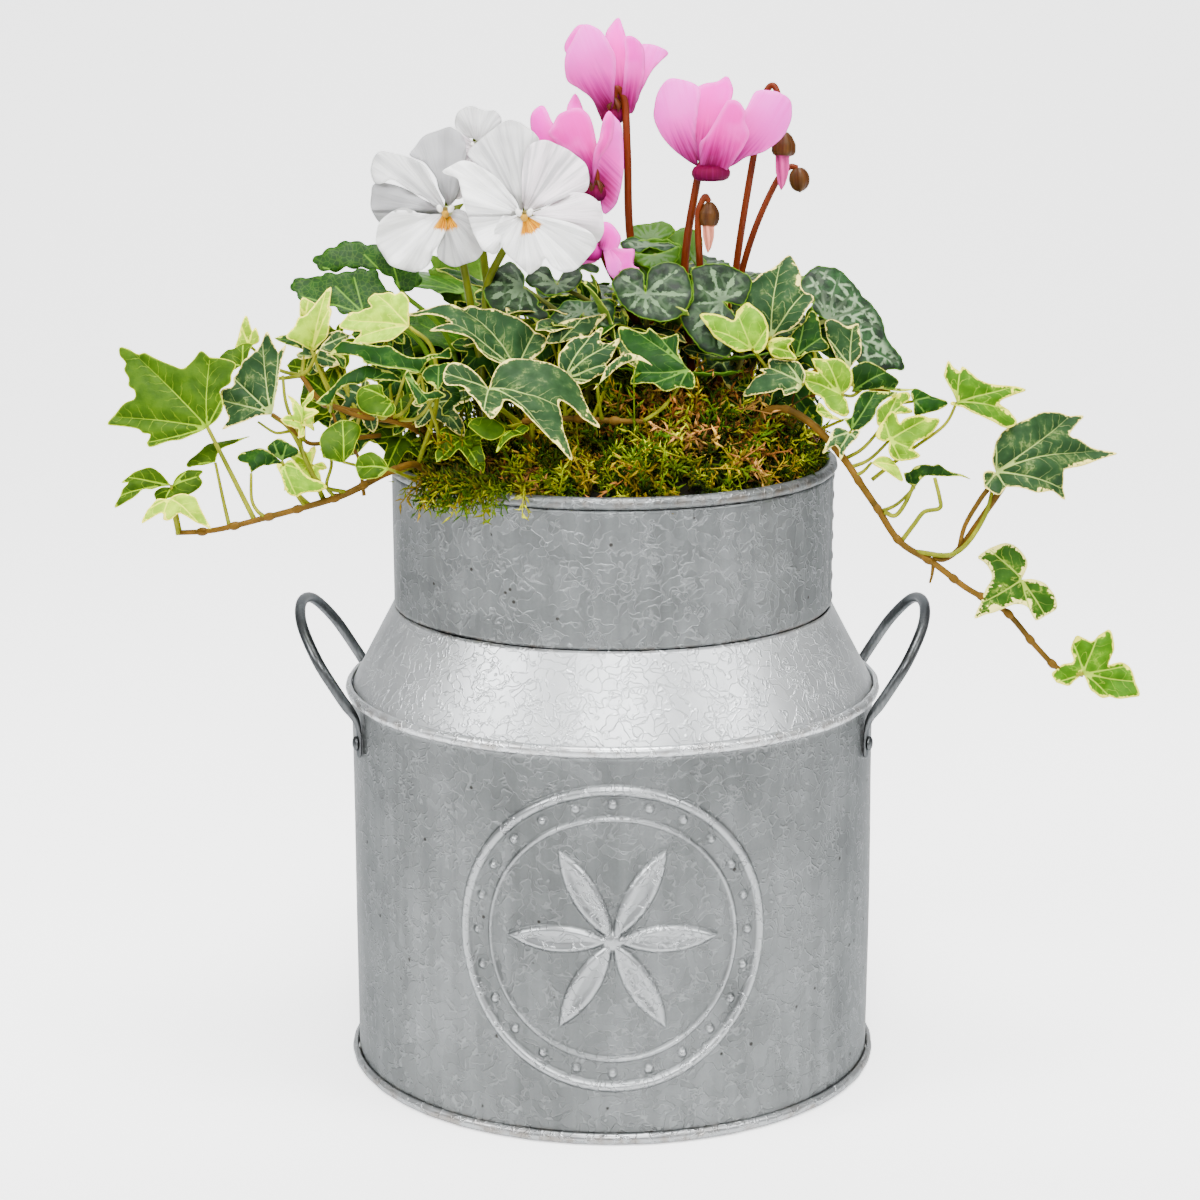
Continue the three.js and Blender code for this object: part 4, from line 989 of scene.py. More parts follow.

# Leaf number: look, foot in space, where it faces, and its outline in millimetres from the foot,
# round the leaf as it is seen. One leaf's outline has a sharp corner at the place where the leaf
# folds.
FOLDED_LEAF, FOLD_CORNER = 2, 6
CYCLAMEN_SHEETS = {
    1: ("top", (-35.5, -35, 334.5), (0, -0.75, 0.66), [
        (2.5, -2), (6, -6), (6, -9), (10.5, -12.5), (8, -15), (4, -14.5), (-1.5, -13), (-6.5, -12),
        (-11.5, -10.5), (-14.5, -6.5), (-16, -1.5), (-14.5, 3.5), (-12.5, 7.5), (-9, 10.5),
        (-6, 13), (-3.5, 11), (-0.5, 7), (0.5, 3.5)]),
    2: ("top", (-22.5, -28, 335), (0.1, -0.7, 0.7), [
        (-2.5, 8), (-6, 9), (-11, 5), (-12.5, 1), (-8.5, -3), (-4.5, -5.5), (0, -5.5), (5.5, -3.5),
        (9, -1), (11, 3), (10.5, 6.5), (17, 5.5), (18, 9.5), (12, 10.5), (7, 9), (3.5, 6)]),
    3: ("grey", (-12, -44, 325), (0, -0.8, 0.6), [
        (-3.5, -6.5), (-11, -5), (-13, -1.5), (-9.5, 3), (-6.5, 6), (-0.5, 6), (6, 6), (11, 6.5),
        (13, 3.5), (12.5, -1.5), (11.5, -6.5), (5.5, -7.5)]),
    4: ("top", (13, -48, 333.5), (-0.05, -0.8, 0.6), [
        (-0.6, 4), (-1, 9), (-4, 12), (-9, 11.5), (-13.5, 5.5), (-12, 0.5), (-9, -5), (-5, -8.5),
        (-1.5, -11), (3.5, -12), (9, -12), (14, -9), (17, -5), (18.5, 0.5), (17.5, 6.5),
        (15.5, 11.5), (12, 14.5), (6.5, 14.5), (2.5, 12.5), (0.6, 9), (0.3, 4)]),
    5: ("under", (17, -22, 346), (0, -0.95, 0.3), [
        (-4, 0), (-9, 0.5), (-8, -2.5), (-5.5, -4.5), (-2.5, -5.5), (2.5, -7), (6, -5.5),
        (9.5, -1.5), (10, 3.5), (5.5, 1.5)]),
    6: ("top", (43.5, -46, 330), (0.1, -0.85, 0.5), [
        (5.5, -8.5), (4, -15.5), (1, -22.5), (-4, -22), (-9.5, -20), (-13.5, -14.5), (-16, -10),
        (-17, -6), (-15, -3.5), (-12, 1), (-11.5, 7.5), (-11.5, 14), (-8, 15.5), (-3, 16.5),
        (3.5, 15.5), (10.5, 12), (12.5, 8.5), (10.5, 2.5), (7.5, -2)]),
    7: ("grey", (86, -24, 319.5), (0.25, -0.85, 0.46), [
        (-5.5, 5), (-3.5, 9), (-8, 11.5), (-7.5, 17.5), (-5.5, 20), (-2.5, 22.5), (1, 24), (5, 23),
        (9, 22.5), (12, 20), (13.5, 17.5), (16, 14), (18, 10), (21, 7), (23.5, 3), (25, -2),
        (25.5, -7), (27, -10.5), (30, -14.5), (32, -18.5), (31.5, -21.5), (27, -21), (21.5, -22),
        (17.5, -20.5), (12, -19), (8.5, -12), (4.5, -5)]),
}
# The other blades of a leaf that is curled into a bowl.
CYCLAMEN_PARTNERS = {
    5: [
        ("grey", (15, -16, 348.5), (0, -0.6, 0.8), [
            (-4, -3.5), (-7, -2.5), (-12, 0.5), (-9, 5), (-3, 4.5), (2, 2), (7.5, 2), (12.5, 1),
            (5.5, -3)]),
        ("under", (15, -8, 349.5), (0, -0.9, 0.42), [
            (-4, 0.5), (-8, 1.5), (-8.5, 5), (-6.5, 7), (0.5, 8), (5.5, 9), (10.5, 5.5),
            (7.5, 1.5), (4.5, 0)]),
        ("under", (34.5, -4, 338.5), (0.1, -0.9, 0.4), [
            (-2.5, 4), (-6.5, 8.5), (-12.5, 12.5), (-6, 17), (-2, 17.5), (1.5, 15), (3, 12),
            (2.5, 5), (4, 2.5), (3, -2)]),
    ],
}
# The leaves that grow behind, where the photograph can't show them: foot, tip, facing, length
# and width. Then each leaf's stalk: two points on its way down, and the bearing and distance
# from the tuber's middle where it starts.
CYCLAMEN_BACK = {
    8: ((62, 34, 330), (90, 58, 322), (0.3, 0.3, 0.9), 38, 44),
    9: ((0, 32, 326), (-26, 62, 320), (-0.2, 0.4, 0.9), 40, 44),
    10: ((38, 46, 318), (44, 84, 304), (0, 0.5, 0.85), 40, 46),
}
CYCLAMEN_FEET = {
    1: [(-8, -18, 312), (12, -6, 290), 190, 12.5],
    2: [(-4, -20, 322), (15, -9, 292), 209, 12.5],
    3: [(8, -28, 308), (19, -15, 288), 229, 12.5],
    4: [(14, -36, 318), (25, -19, 290), 249, 12.5],
    5: [(25, -11, 322), (26, -7, 300), 213, 7.5],
    6: [(52, -34, 306), (42, -17, 288), 300, 12.5],
    7: [(68, -6, 308), (50, -5, 288), 345, 12.5],
    8: [(54, 24, 314), (44, 12, 290), 60, 12.5],
    9: [(12, 22, 308), (22, 10, 288), 130, 12.5],
    10: [(36, 32, 304), (33, 16, 286), 95, 12.5],
}


def crown_point(bearing, reach):
    """Where a stalk leaves the tuber."""
    turn = math.radians(bearing)
    return (CROWN[0] + reach * math.cos(turn), CROWN[1] + reach * math.sin(turn), 268)


def kidney(length, width, notch=0.16, scallops=17, seed=1):
    """A kidney-shaped outline with shallow scallops, its foot at the notch."""
    turn = np.linspace(-math.pi / 2 + 0.16, 1.5 * math.pi - 0.16, 52)
    swell = 1 + 0.035 * np.cos(scallops * (turn + math.pi / 2)) + 0.03 * np.sin(3 * turn + seed)
    x = width / 2 * np.cos(turn) * swell
    y = length * (0.5 + 0.5 * np.sin(turn) * swell) - length * notch
    y = np.where(np.abs(x) < width * 0.09, np.maximum(y, 0.0), y)
    return np.stack([x, y], 1)[::-1]


def fan_tips(outline, count):
    """Ends for the veins that fan out from the foot, all within the outline."""
    outline = np.asarray(outline, float)
    turn = np.unwrap(np.arctan2(outline[:, 1], outline[:, 0]))
    order = np.argsort(turn)
    asked = np.linspace(turn.min(), turn.max(), count + 2)[1:-1]
    return [np.array([np.interp(a, turn[order], outline[order, k]) for k in (0, 1)]) * 0.95
            for a in asked]


def scalloped(outline, depth, pitch):
    """The outline with small rounded scallops all the way round."""
    rim = smooth_outline(np.vstack([[0, 0], outline]), [0], 1.0)
    way = unit(np.roll(rim, -1, 0) - np.roll(rim, 1, 0))
    turned_in = np.sign(np.sum(rim[:, 0] * np.roll(rim[:, 1], -1)
                               - rim[:, 1] * np.roll(rim[:, 0], -1)))
    out = np.stack([way[:, 1], -way[:, 0]], 1) * turned_in
    at = np.arange(len(rim)) * math.pi * max(round(len(rim) / pitch), 3) / len(rim)
    step = depth * (np.abs(np.sin(at)) ** 0.7 - 0.6)
    near = np.clip(np.linalg.norm(rim, axis=1) / 5, 0, 1)
    return (rim + out * (step * near)[:, None])[2:-1]


def cyclamen_blade(group, look, base, frame, outline, sharp, cup, seed):
    """One thick leaf: cupped, sunken at its veins and waved at its scalloped rim."""
    outline = np.asarray(outline, float)
    tips = fan_tips(outline, 7)
    if not sharp:
        outline = scalloped(outline, 0.35, 3.6)
    sheet = Sheet(outline, sharp, tips, 1.1)
    flat, size = sheet.flat, sheet.size
    height = cup * (np.linalg.norm(flat, axis=1) / size) ** 2 * size
    height += 0.45 * np.clip(1 - np.exp(-sheet.vein / 1.6), 0, 1)
    height += 0.05 * size * waves(flat, size * 0.45, seed) + 0.5 * waves(flat, 4.0, seed + 3)
    height += 0.9 * np.exp(-sheet.edge / 1.6) * waves(flat, 3.2, seed + 5)
    top, silver_tone, marked = CYCLAMEN_GREEN, CYCLAMEN_SILVER, 1.0
    if look == "grey":
        top, silver_tone, marked = paint(36, 68, 34), paint(124, 148, 112), 2.0
    if look == "under":
        top, marked = CYCLAMEN_UNDER, 0.0
    add_leaf(group, sheet, base, frame, height, 0.6, 40 * seed, (top, CYCLAMEN_UNDER),
             (silver_tone, paint(142, 158, 96)), (CYCLAMEN_RIM, CYCLAMEN_RIM), marked)


def petiole_tone(share):
    """Red at the tuber, green by the leaf."""
    low, high = np.array(STALK_RED), np.array(paint(104, 112, 52))
    return low + (high - low) * (share[:, None] ** 0.7)


for number, (upper, lower, bearing, reach) in CYCLAMEN_FEET.items():
    group = Gather()
    if number in CYCLAMEN_SHEETS:
        look, base, face, outline = CYCLAMEN_SHEETS[number]
        frame = facing_frame(face)
        sharp = (FOLD_CORNER,) if number == FOLDED_LEAF else ()
        cyclamen_blade(group, look, base, frame, outline, sharp, -0.10, number)
    else:
        base, tip, face, length, width = CYCLAMEN_BACK[number]
        frame = growing_frame(base, tip, face)
        cyclamen_blade(group, "top", base, frame, kidney(length, width, seed=number), (), 0.12,
                       number)
    path = stalk_path([crown_point(bearing, reach), lower, upper,
                       np.asarray(base) - 0.4 * frame[2]])
    add_stalk(group, path, 1.35, 0.9, petiole_tone)
    if number == 5:
        wall = growing_frame((16, -13, 334), (14, -16, 352), (0.1, -0.9, 0.4))
        cyclamen_blade(group, "under", (16, -13, 334), wall, kidney(20, 34, seed=3), (), -0.2, 31)
    for extra in CYCLAMEN_PARTNERS.get(number, ()):
        look, base, face, outline = extra
        cyclamen_blade(group, look, base, facing_frame(face), outline, (), -0.1, number + 20)
    group.piece(f"cyclamen_leaf_{number}_blade", cyclamen_leaf, "cyclamen_leaf",
                [f"cyclamen_leaf_{number}"])


# ------------------------------------------------------ cyclamen stalks and flowers
# Each flower nods on a fleshy red-brown stalk that hooks over at the top. Five soft pink
# petals sweep up from a short cup whose mouth is deep magenta and faces down.

def petal_finish():
    petal = Finish("cyclamen_petal_skin")
    on_blade = petal.field("sheet")
    reach = petal.split(on_blade)[0]
    edge = petal.split(petal.field("blade"))[0]
    pink = petal.field("middle", "Color")
    deep = petal.field("border", "Color")
    streak = petal.noise(1.0, 3.0, petal.stretched(on_blade, (0.045, 0.85, 1.0)), 0.6)
    cloud = petal.noise(0.11, 2.0, on_blade)
    flush = petal.between(reach + streak * 16.0, 42.0, 10.0)
    base = petal.between(reach + streak * 15.0, 27.0, 8.0)
    skin = petal.mix(flush * 0.8, pink, paint(214, 0, 140))
    skin = petal.mix(petal.between(edge, 2.4, 0.0) * 0.45, skin, paint(255, 132, 232))
    skin = petal.mix(petal.between(streak, 0.42, 0.66) * 0.42, skin, paint(236, 28, 188))
    skin = petal.mix(petal.between(cloud, 0.45, 0.8) * 0.3, skin, paint(255, 118, 230))
    skin = petal.mix(base * 0.92, skin, deep)
    petal.surface(skin, 0.5 + 0.2 * streak, (streak, 0.25, 0.5), shine=0.06,
                  glow=paint(255, 76, 196), share=0.3 - base * 0.29)
    return petal


PETAL_PALE = paint(255, 88, 232)
PETAL_MID = paint(250, 22, 210)
PETAL_STRONG = paint(236, 4, 184)
MAGENTA = paint(80, 0, 28)
# The mouth's magenta darkened as painted shade.
MAGENTA_PAINTED_SHADE = paint(44, 0, 12)
cyclamen_petal = petal_finish()

stalk = Finish("stalk_skin")
stalk_tone = stalk.field("middle", "Color")
stalk_mottle = stalk.noise(1.0, 3.0, stalk.stretched(stalk.where(), (520.0, 520.0, 90.0)))
stalk_skin = stalk.mix(stalk_mottle, stalk.mix(1.0, stalk_tone, (0.5, 0.42, 0.4), "MULTIPLY"),
                       stalk.mix(0.25, stalk_tone, paint(140, 70, 20)))
stalk.surface(stalk_skin, 0.34 + 0.2 * stalk_mottle, (stalk_mottle, 0.15, 0.4), shine=0.14)

# Flower number: bearing round the tuber, the rest of the stalk, and the cup's middle.
FLOWER_STALKS = {
    1: (182, [(20, -4, 300), (8, -10, 345), (6, -10, 385), (5, -8, 405), (2, -8, 411),
              (0.5, -8, 407)], (1, -8, 398)),
    2: (278, [(32, -15, 300), (29, -24, 340), (33, -27, 372), (36, -28, 384), (38.5, -29, 386),
              (39, -29, 382)], (39, -30, 376)),
    3: (150, [(20, 4, 300), (-2, -6, 340), (-8, -14, 366), (-8, -17, 377), (-7, -19, 379.5),
              (-6.5, -20, 375)], (-7, -20, 368)),
    4: (245, [(22, -13, 296), (6, -28, 326), (-1, -30, 346), (-4, -31, 357), (-6, -32, 359),
              (-7.5, -33, 357)], (-8, -34, 349)),
}
# The magenta mouth of each open flower: its middle and radius.
FLOWER_CUPS = {1: ((0, -5.5, 400.5), 4.8), 2: ((39, -30, 379.6), 7.3), 3: ((-7, -19, 370.5), 4.4)}
# Each petal: its foot, where it faces, the outline's tip, its shade, how far it leans towards
# the viewer over its length, and its outline in millimetres from the foot.
FLOWER_PETALS = {
    1: [
        ((-2.5, -4, 402.5), (-0.3, -0.9, -0.2), 5, PETAL_MID, -0.1, [
            (-4, 5), (-9.5, 12.5), (-13, 20.5), (-16, 25.5), (-13, 31), (-9.5, 34), (-4.5, 32),
            (-1, 24.5), (0.5, 12.5)]),
        ((2, -2.5, 402.5), (0, -1, 0), 4, PETAL_MID, -0.35, [
            (-2, 7), (-4.5, 20), (-5, 29), (-2, 34), (0.5, 36), (2, 33), (4.5, 24), (4.5, 12),
            (2.5, 4)]),
        ((3, -3.5, 402.5), (0.4, -0.9, 0), 5, PETAL_PALE, -0.2, [
            (4.5, 7), (7, 15.5), (9.5, 24.5), (15, 25.5), (20.5, 24), (24, 21.5), (18.5, 18.5),
            (13, 14), (9, 8), (6.5, 2)]),
        ((3, -6.5, 402.5), (0.25, -0.95, 0), 4, PETAL_MID, 0.1, [
            (0, 7), (0, 16), (0.5, 22), (0.5, 28.5), (3.5, 29.5), (8, 26.5), (9.5, 21), (9, 13),
            (7, 6.5), (5.5, -1.5)]),
        ((-2.5, -8.5, 402.5), (-0.2, -0.97, 0), 7, PETAL_PALE, 0.15, [
            (-2.5, -3), (-5, 4.5), (-9.5, 8.5), (-14.5, 11.5), (-15.5, 15.5), (-15, 22),
            (-12.5, 27), (-8, 34), (-2, 32.5), (1, 29.5), (3.5, 25), (5, 20.5), (4.5, 12),
            (2.5, -0.5)]),
    ],
    2: [
        ((34.5, -30, 381.5), (-0.3, -0.93, 0), 7, PETAL_PALE, 0.05, [
            (-4.5, 2.5), (-10, 7), (-15, 13), (-18, 19), (-18, 23), (-16, 30), (-12, 34.5),
            (-6.5, 34.5), (-1.5, 33), (1.5, 30), (1, 22.5), (0, 14.5), (0, 6.5), (-0.5, -1)]),
        ((37.5, -26.5, 381.5), (0, -1, 0), 7, PETAL_MID, -0.3, [
            (-4, 3), (-4.5, 10.5), (-6.5, 17), (-9, 24.5), (-7, 28.5), (-1.5, 32), (4, 33),
            (8, 35), (10, 32), (10.5, 28.5), (8.5, 22), (6, 12.5), (3.5, 3)]),
        ((43.5, -29.5, 381.5), (0.3, -0.93, 0), 7, PETAL_PALE, 0.05, [
            (0, 6.5), (3, 14.5), (6.5, 21.5), (9.5, 26.5), (12.5, 30), (17.5, 30), (22.5, 29),
            (27.5, 26), (28.5, 21.5), (27.5, 16), (23.5, 11), (16.5, 6), (9.5, 4), (4, 0.5)]),
        ((39, -34, 381.5), (0.05, -1, 0), 6, PETAL_STRONG, 0.22, [
            (-3.5, -1.5), (-5, 9.5), (-2.5, 13), (1.5, 20), (4, 24.5), (6, 27), (10, 26.5),
            (13, 22), (12.5, 19), (14.5, 14), (13, 9.5), (11, 6), (7.5, 0.5), (4, -2.5)]),
    ],
    3: [
        ((-9.5, -18.5, 372.5), (-0.3, -0.93, 0), 5, PETAL_MID, 0.1, [
            (-7, 12.5), (-14, 14.5), (-20, 18), (-22.5, 24.5), (-21.5, 30), (-18, 32.5), (-15, 30),
            (-13, 26.5), (-8.5, 20.5), (-3.5, 14.5), (-0.5, 10)]),
        ((-9.5, -16, 372.5), (0, -1, 0), 3, PETAL_MID, -0.3, [
            (-6.5, 23), (-9, 30), (-7, 35), (-5.5, 36.5), (-3.5, 33.5), (-0.5, 25), (1, 19)]),
        ((-4.5, -16.5, 372.5), (0.3, -0.93, 0), 4, PETAL_PALE, -0.7, [
            (3.5, 11), (8, 18), (11, 19.5), (14, 15), (14.5, 10), (12.5, 7.5), (7, 3.5),
            (2.5, 1)]),
        ((-6.5, -19, 372.5), (0.2, -0.97, 0), 10, PETAL_PALE, 0, [
            (0, 11), (3, 19), (6, 28.5), (9, 27), (11, 24), (11.5, 18.5), (11.5, 11), (10.5, 3.5),
            (9, -2), (7, -7), (2.5, -10.5), (1, -5)]),
        ((-8, -21, 372.5), (-0.1, -1, 0), 7, PETAL_STRONG, 0.1, [
            (-4, 11.5), (-9, 15), (-14, 18.5), (-17, 22), (-15.5, 24.5), (-14, 28), (-12, 30),
            (-6, 32), (-2, 30), (0, 26.5), (2, 19), (2, 13), (2, 8)]),
        ((-8, -22, 372.5), (0.1, -1, 0), 4, PETAL_STRONG, 0.15, [
            (-0.5, 11), (0.5, 17), (2, 20.5), (3.5, 27.5), (6, 31), (8, 28), (8, 23.5), (7, 19),
            (4.5, 15), (2, 11)]),
    ],
    4: [
        ((-6, -35.5, 351), (0.2, -0.95, 0.1), 3, PETAL_PALE, 0.2, [
            (1.5, 2), (2, -3), (3, -10), (6, -13.5), (8, -11.5), (9, -6.5), (8, -2), (6.5, 0.5)]),
        ((-6, -34, 351), (0.2, -0.95, 0.2), 3, PETAL_MID, 0.1, [
            (6.5, -8.5), (8, -11.5), (12.5, -12), (16.5, -10), (13.5, -8.5), (14.5, -4.5),
            (14.5, -2), (10, -2)]),
        ((-6, -36.5, 351), (0.1, -0.97, 0.1), 3, PETAL_MID, -0.2, [
            (1, 2.5), (1, 6.5), (2.5, 9.5), (6, 8.5), (9.5, 3.5), (8.5, -0.5), (7, -4.5),
            (5, -4)]),
        ((-6, -32.5, 351), (-0.2, -0.95, 0.1), 2, PETAL_STRONG, -0.2, [
            (-2.5, -3), (-7, -6), (-9, -8.5), (-4, -7.5), (0, -6.5)]),
    ],
}


def petal_sheet(group, base, face, tip, tone, lean, outline, seed):
    """One petal, leaning, curled round its length and a little twisted."""
    outline = np.asarray(outline, float)
    end = outline[tip - 1]
    fan = [end * 0.94]
    for turn in (-0.34, 0.34):
        c, s = math.cos(turn), math.sin(turn)
        fan.append(0.7 * np.array([c * end[0] - s * end[1], s * end[0] + c * end[1]]))
    sheet = Sheet(outline, (), fan, 1.15)
    axis = end / np.linalg.norm(end)
    reach = sheet.flat @ axis
    across = sheet.flat @ np.array([-axis[1], axis[0]])
    wide = np.abs(across).max()
    size = sheet.size
    curl = 0.34 * across**2 / wide * (0.4 + 0.6 * np.clip(reach / size, 0, 1))
    height = lean * reach + 0.16 * size * np.sin(math.pi * np.clip(reach / size, 0, 1) * 0.9)
    height = height - curl + 0.05 * size * waves(sheet.flat, size * 0.5, seed)
    height += 0.14 * across * np.clip(reach / size, 0, 1) * math.sin(seed * 2.1)
    height += 0.8 * np.exp(-sheet.edge / 2.0) * waves(sheet.flat, 5.0, seed + 2)
    points, faces = sheet.laid(base, facing_frame(face), height, 0.5)
    seeds = np.full(len(reach), 13.0 * seed)
    from_foot = np.linalg.norm(sheet.flat, axis=1)
    group.add(points, faces, blade=both_sides(sheet.edge, sheet.vein, sheet.along),
              sheet=both_sides(from_foot * (34 / size), across, seeds),
              middle=side_colours(sheet, tone, tone),
              border=side_colours(sheet, MAGENTA, MAGENTA))


def cup(group, middle, radius, height, lobes, colour, dark, axis=(0, 0, 1)):
    """A small lobed cup, open side down, like the mouth of the flower."""
    profile = [(0.15, 0.95), (0.62, 0.9), (0.9, 0.55), (1.0, 0.1), (1.0, -0.35), (0.9, -0.75),
               (0.68, -0.98), (0.5, -0.9), (0.42, -0.5), (0.15, -0.35)]
    turn = ring_of(40)
    out = unit(np.asarray(axis, float))
    side = unit(np.cross(out, (0.2, 1, 0.1)))
    other = np.cross(out, side)
    swell = 1 + 0.07 * np.abs(np.sin(lobes * turn / 2))
    rings = []
    for reach, rise in profile:
        circle = np.cos(turn)[:, None] * side + np.sin(turn)[:, None] * other
        rings.append(np.asarray(middle) + circle * (radius * reach * swell)[:, None]
                     + out * height * rise)
    points = np.vstack(rings)
    # The colour darkens from the cup's top to its downward mouth: the darkening is painted shade
    # under the nodding flower.
    rise = np.repeat([p[1] for p in profile], 40)[:, None]
    tone = np.array(dark) + (np.array(colour) - np.array(dark)) * np.clip(0.5 + 0.5 * rise, 0, 1)
    angle = np.tile(turn, len(profile))
    sheet = np.stack([np.zeros_like(angle), angle * 6, np.zeros_like(angle)], 1)
    group.add(points, capped(len(profile), 40), blade=(3.0, 3.0, 0.0), sheet=sheet, middle=tone,
              border=tone)


for number, (bearing, points, nose) in FLOWER_STALKS.items():
    path = stalk_path([crown_point(bearing, 7.5), *points, nose], 8)
    group = Gather()
    add_stalk(group, path, 1.75, 1.35, STALK_RED, 12)
    hook = np.asarray(points[-1], float)
    for turn in ring_of(5) + 0.3:
        way = np.array([math.cos(turn), math.sin(turn), 0])
        sepal = [hook + way * 0.6 + (0, 0, 0.8), hook + way * 2.8 - (0, 0, 1.5),
                 hook + way * 3.4 - (0, 0, 3.4), hook + way * 3.0 - (0, 0, 5.0)]
        blade = smooth_path(sepal, 4)
        width = np.interp(np.linspace(0, 1, len(blade)), (0, 0.4, 1), (0.7, 1.4, 0.25))
        mesh, faces = rod(blade, width, 0.35, way, 8)
        group.add(mesh, faces, **one_colour(paint(54, 26, 10)))
    group.piece(f"cyclamen_stalk_{number}_rod", stalk, "red_stalk",
                [f"cyclamen_stalk_{number}"])
    flower = Gather()
    for order, petal in enumerate(FLOWER_PETALS[number]):
        petal_sheet(flower, *petal, number * 10 + order)
    if number == 4:
        cup(flower, nose, 3.6, 4.0, 5, PETAL_STRONG, MAGENTA)
    else:
        place, radius = FLOWER_CUPS[number]
        cup(flower, place, radius, 3.4, 5, MAGENTA, MAGENTA_PAINTED_SHADE)
    flower.piece(f"cyclamen_flower_{number}_bloom", cyclamen_petal, "cyclamen_petal",
                 [f"cyclamen_flower_{number}"])


# ---------------------------------------------------------------- cyclamen buds
# Three buds hang from their own hooked stalks: two are opening, a twist of pink petals below
# a ribbed brown calyx, and one is still shut tight.

# Bud number: bearing, stalk, tip, widest radius, how much of its length the calyx covers, and
# the colour of what shows below the calyx.
BUDS = {
    1: (312, [(38, -16, 300), (35, -31, 342), (34, -33, 362), (36.5, -33, 370), (38.5, -33, 368)],
        (38, -34, 348), 3.4, 0.46, paint(250, 158, 132)),
    2: (0, [(46, -2, 300), (52, -4, 350), (59, -8, 396), (61.5, -8, 409), (65, -9, 412),
            (68, -11, 403), (69, -12, 394)], (68, -14, 371), 4.1, 0.42, paint(238, 70, 172)),
    3: (45, [(45, 9, 300), (56, 8, 345), (66, 8, 370), (72, 8, 378), (76, 8, 378)],
        (77, 8, 368), 3.6, 1.1, paint(150, 120, 80)),
}
for number, (bearing, points, tip, wide, covered, tone) in BUDS.items():
    group = Gather()
    path = stalk_path([crown_point(bearing, 7.5), *points], 8)
    add_stalk(group, path, 1.6, 1.15, STALK_RED, 12)
    start, end = np.asarray(points[-1], float), np.asarray(tip, float)
    share = np.linspace(0, 1, 34)
    spine = start + (end - start) * share[:, None]
    out = unit(end - start)
    side = unit(np.cross(out, (0, 1, 0.1)))
    other = np.cross(out, side)
    turn = ring_of(40)
    shell = wide * np.interp(share, (0, 0.06, 0.2, 0.34, covered * 0.98), (0.3, 0.62, 0.98, 1, 0.8))
    inner = wide * np.interp(share, (0, covered, 0.7, 0.9, 1), (0.3, 0.66, 0.6, 0.34, 0.05))
    if covered > 1:
        shell = wide * np.sqrt(np.clip(1 - (2 * share - 0.94) ** 2 * 0.98, 0.01, 1))
    held = share < covered
    size = np.where(held, shell, inner)
    ribs = np.where(held[:, None], 0.2 * np.abs(np.cos(2.5 * turn)) + 0.04 * np.cos(20 * turn),
                    0.12 * np.cos(5 * turn + 7 * share[:, None]))
    ring = side * np.cos(turn)[:, None] + other * np.sin(turn)[:, None]
    pod = spine[:, None] + ring * (size[:, None] * (1 + ribs))[..., None]
    # The calyx is painted near black between its ribs and light on them: painted shade in the
    # grooves and painted highlight on the ribs.
    rib_painted_highlight = np.abs(np.cos(2.5 * turn))[None, :, None]
    fine_rib_painted_highlight = np.abs(np.cos(10 * turn))[None, :, None]
    shut = paint(50, 40, 18) * np.ones((34, 40, 1)) * (0.12 + 1.1 * rib_painted_highlight**1.6 + 0.6 * fine_rib_painted_highlight)
    shut = shut * (0.8 + 0.5 * share[:, None, None])
    # The petals below the calyx are painted lighter on their twisted ridges and darker between
    # them, and on the second bud darker just under the calyx: painted highlight and painted shade.
    lit = np.array(tone) * (0.8 + 0.25 * np.cos(5 * turn + 7 * share[:, None]))[..., None]
    neck = np.clip((share - covered) / 0.12, 0, 1)[:, None, None]
    lit = lit * (0.55 + 0.45 * neck) if number == 2 else lit
    colour = np.where(held[:, None, None], shut, lit).reshape(-1, 3)
    group.add(pod.reshape(-1, 3), capped(34, 40), **one_colour(colour))
    group.piece(f"cyclamen_bud_{number}_pod", stalk, "red_stalk", [f"cyclamen_bud_{number}"])


# ---------------------------------------------------------------- white pansies
# Two full flowers and a smaller one behind them, each with five thin, ruffled white petals, a
# yellow eye on the lower petal, and a green calyx and stem at the back.

PANSY_WHITE = paint(250, 250, 249)
PANSY_SHADE = paint(160, 160, 162)
PANSY_ROSE = paint(240, 230, 235)
# This grey is white petal in painted shade: it colours the back petals and the grey streaks of the
# folds.
PANSY_PAINTED_SHADE_GREY = paint(210, 210, 209)

pansy_petal = Finish("pansy_petal_skin")
on_blade = pansy_petal.field("sheet")
reach = pansy_petal.split(on_blade)[0]
_, eye_reach, eye_turn = pansy_petal.split(pansy_petal.field("blade"))
ground = pansy_petal.field("middle", "Color")
shade = pansy_petal.field("border", "Color")
fan = pansy_petal.noise(1.0, 3.0, pansy_petal.stretched(on_blade, (0.03, 9.0, 1.0)), 0.6)
fine_fan = pansy_petal.noise(1.0, 2.0, pansy_petal.stretched(on_blade, (0.05, 24.0, 1.0)))
white = pansy_petal.mix(pansy_petal.between(fan, 0.4, 0.7) * 0.85, ground, shade)
throat_rays = pansy_petal.between(fine_fan, 0.5, 0.66) * pansy_petal.between(reach, 11.0, 2.5)
white = pansy_petal.mix(throat_rays * 0.65, white, paint(116, 84, 98))
inner = pansy_petal.between(reach + fan * 3.0, 5.6, 3.4)
white = pansy_petal.mix(inner * 0.35, white, paint(206, 200, 170))
eye_edge = eye_reach + fine_fan * 4.6
eye_side = pansy_petal.node("Math", {"operation": "ABSOLUTE"}, (eye_turn,))
eye = pansy_petal.between(eye_edge, 10.6, 9.8) * pansy_petal.between(eye_side, 0.74, 0.6)
yellow = pansy_petal.mix(pansy_petal.between(fine_fan, 0.42, 0.62), paint(226, 158, 0),
                         paint(156, 82, 0))
white = pansy_petal.mix(eye, white, yellow)
white = pansy_petal.mix(pansy_petal.between(eye_reach, 2.8, 1.6), white, paint(92, 62, 8))
pansy_petal.surface(white, 0.5 + 0.15 * fan, (fan + 0.4 * fine_fan, 0.9, 1.1), shine=0.03,
                    glow=paint(246, 246, 240), share=0.2 - eye * 0.2)

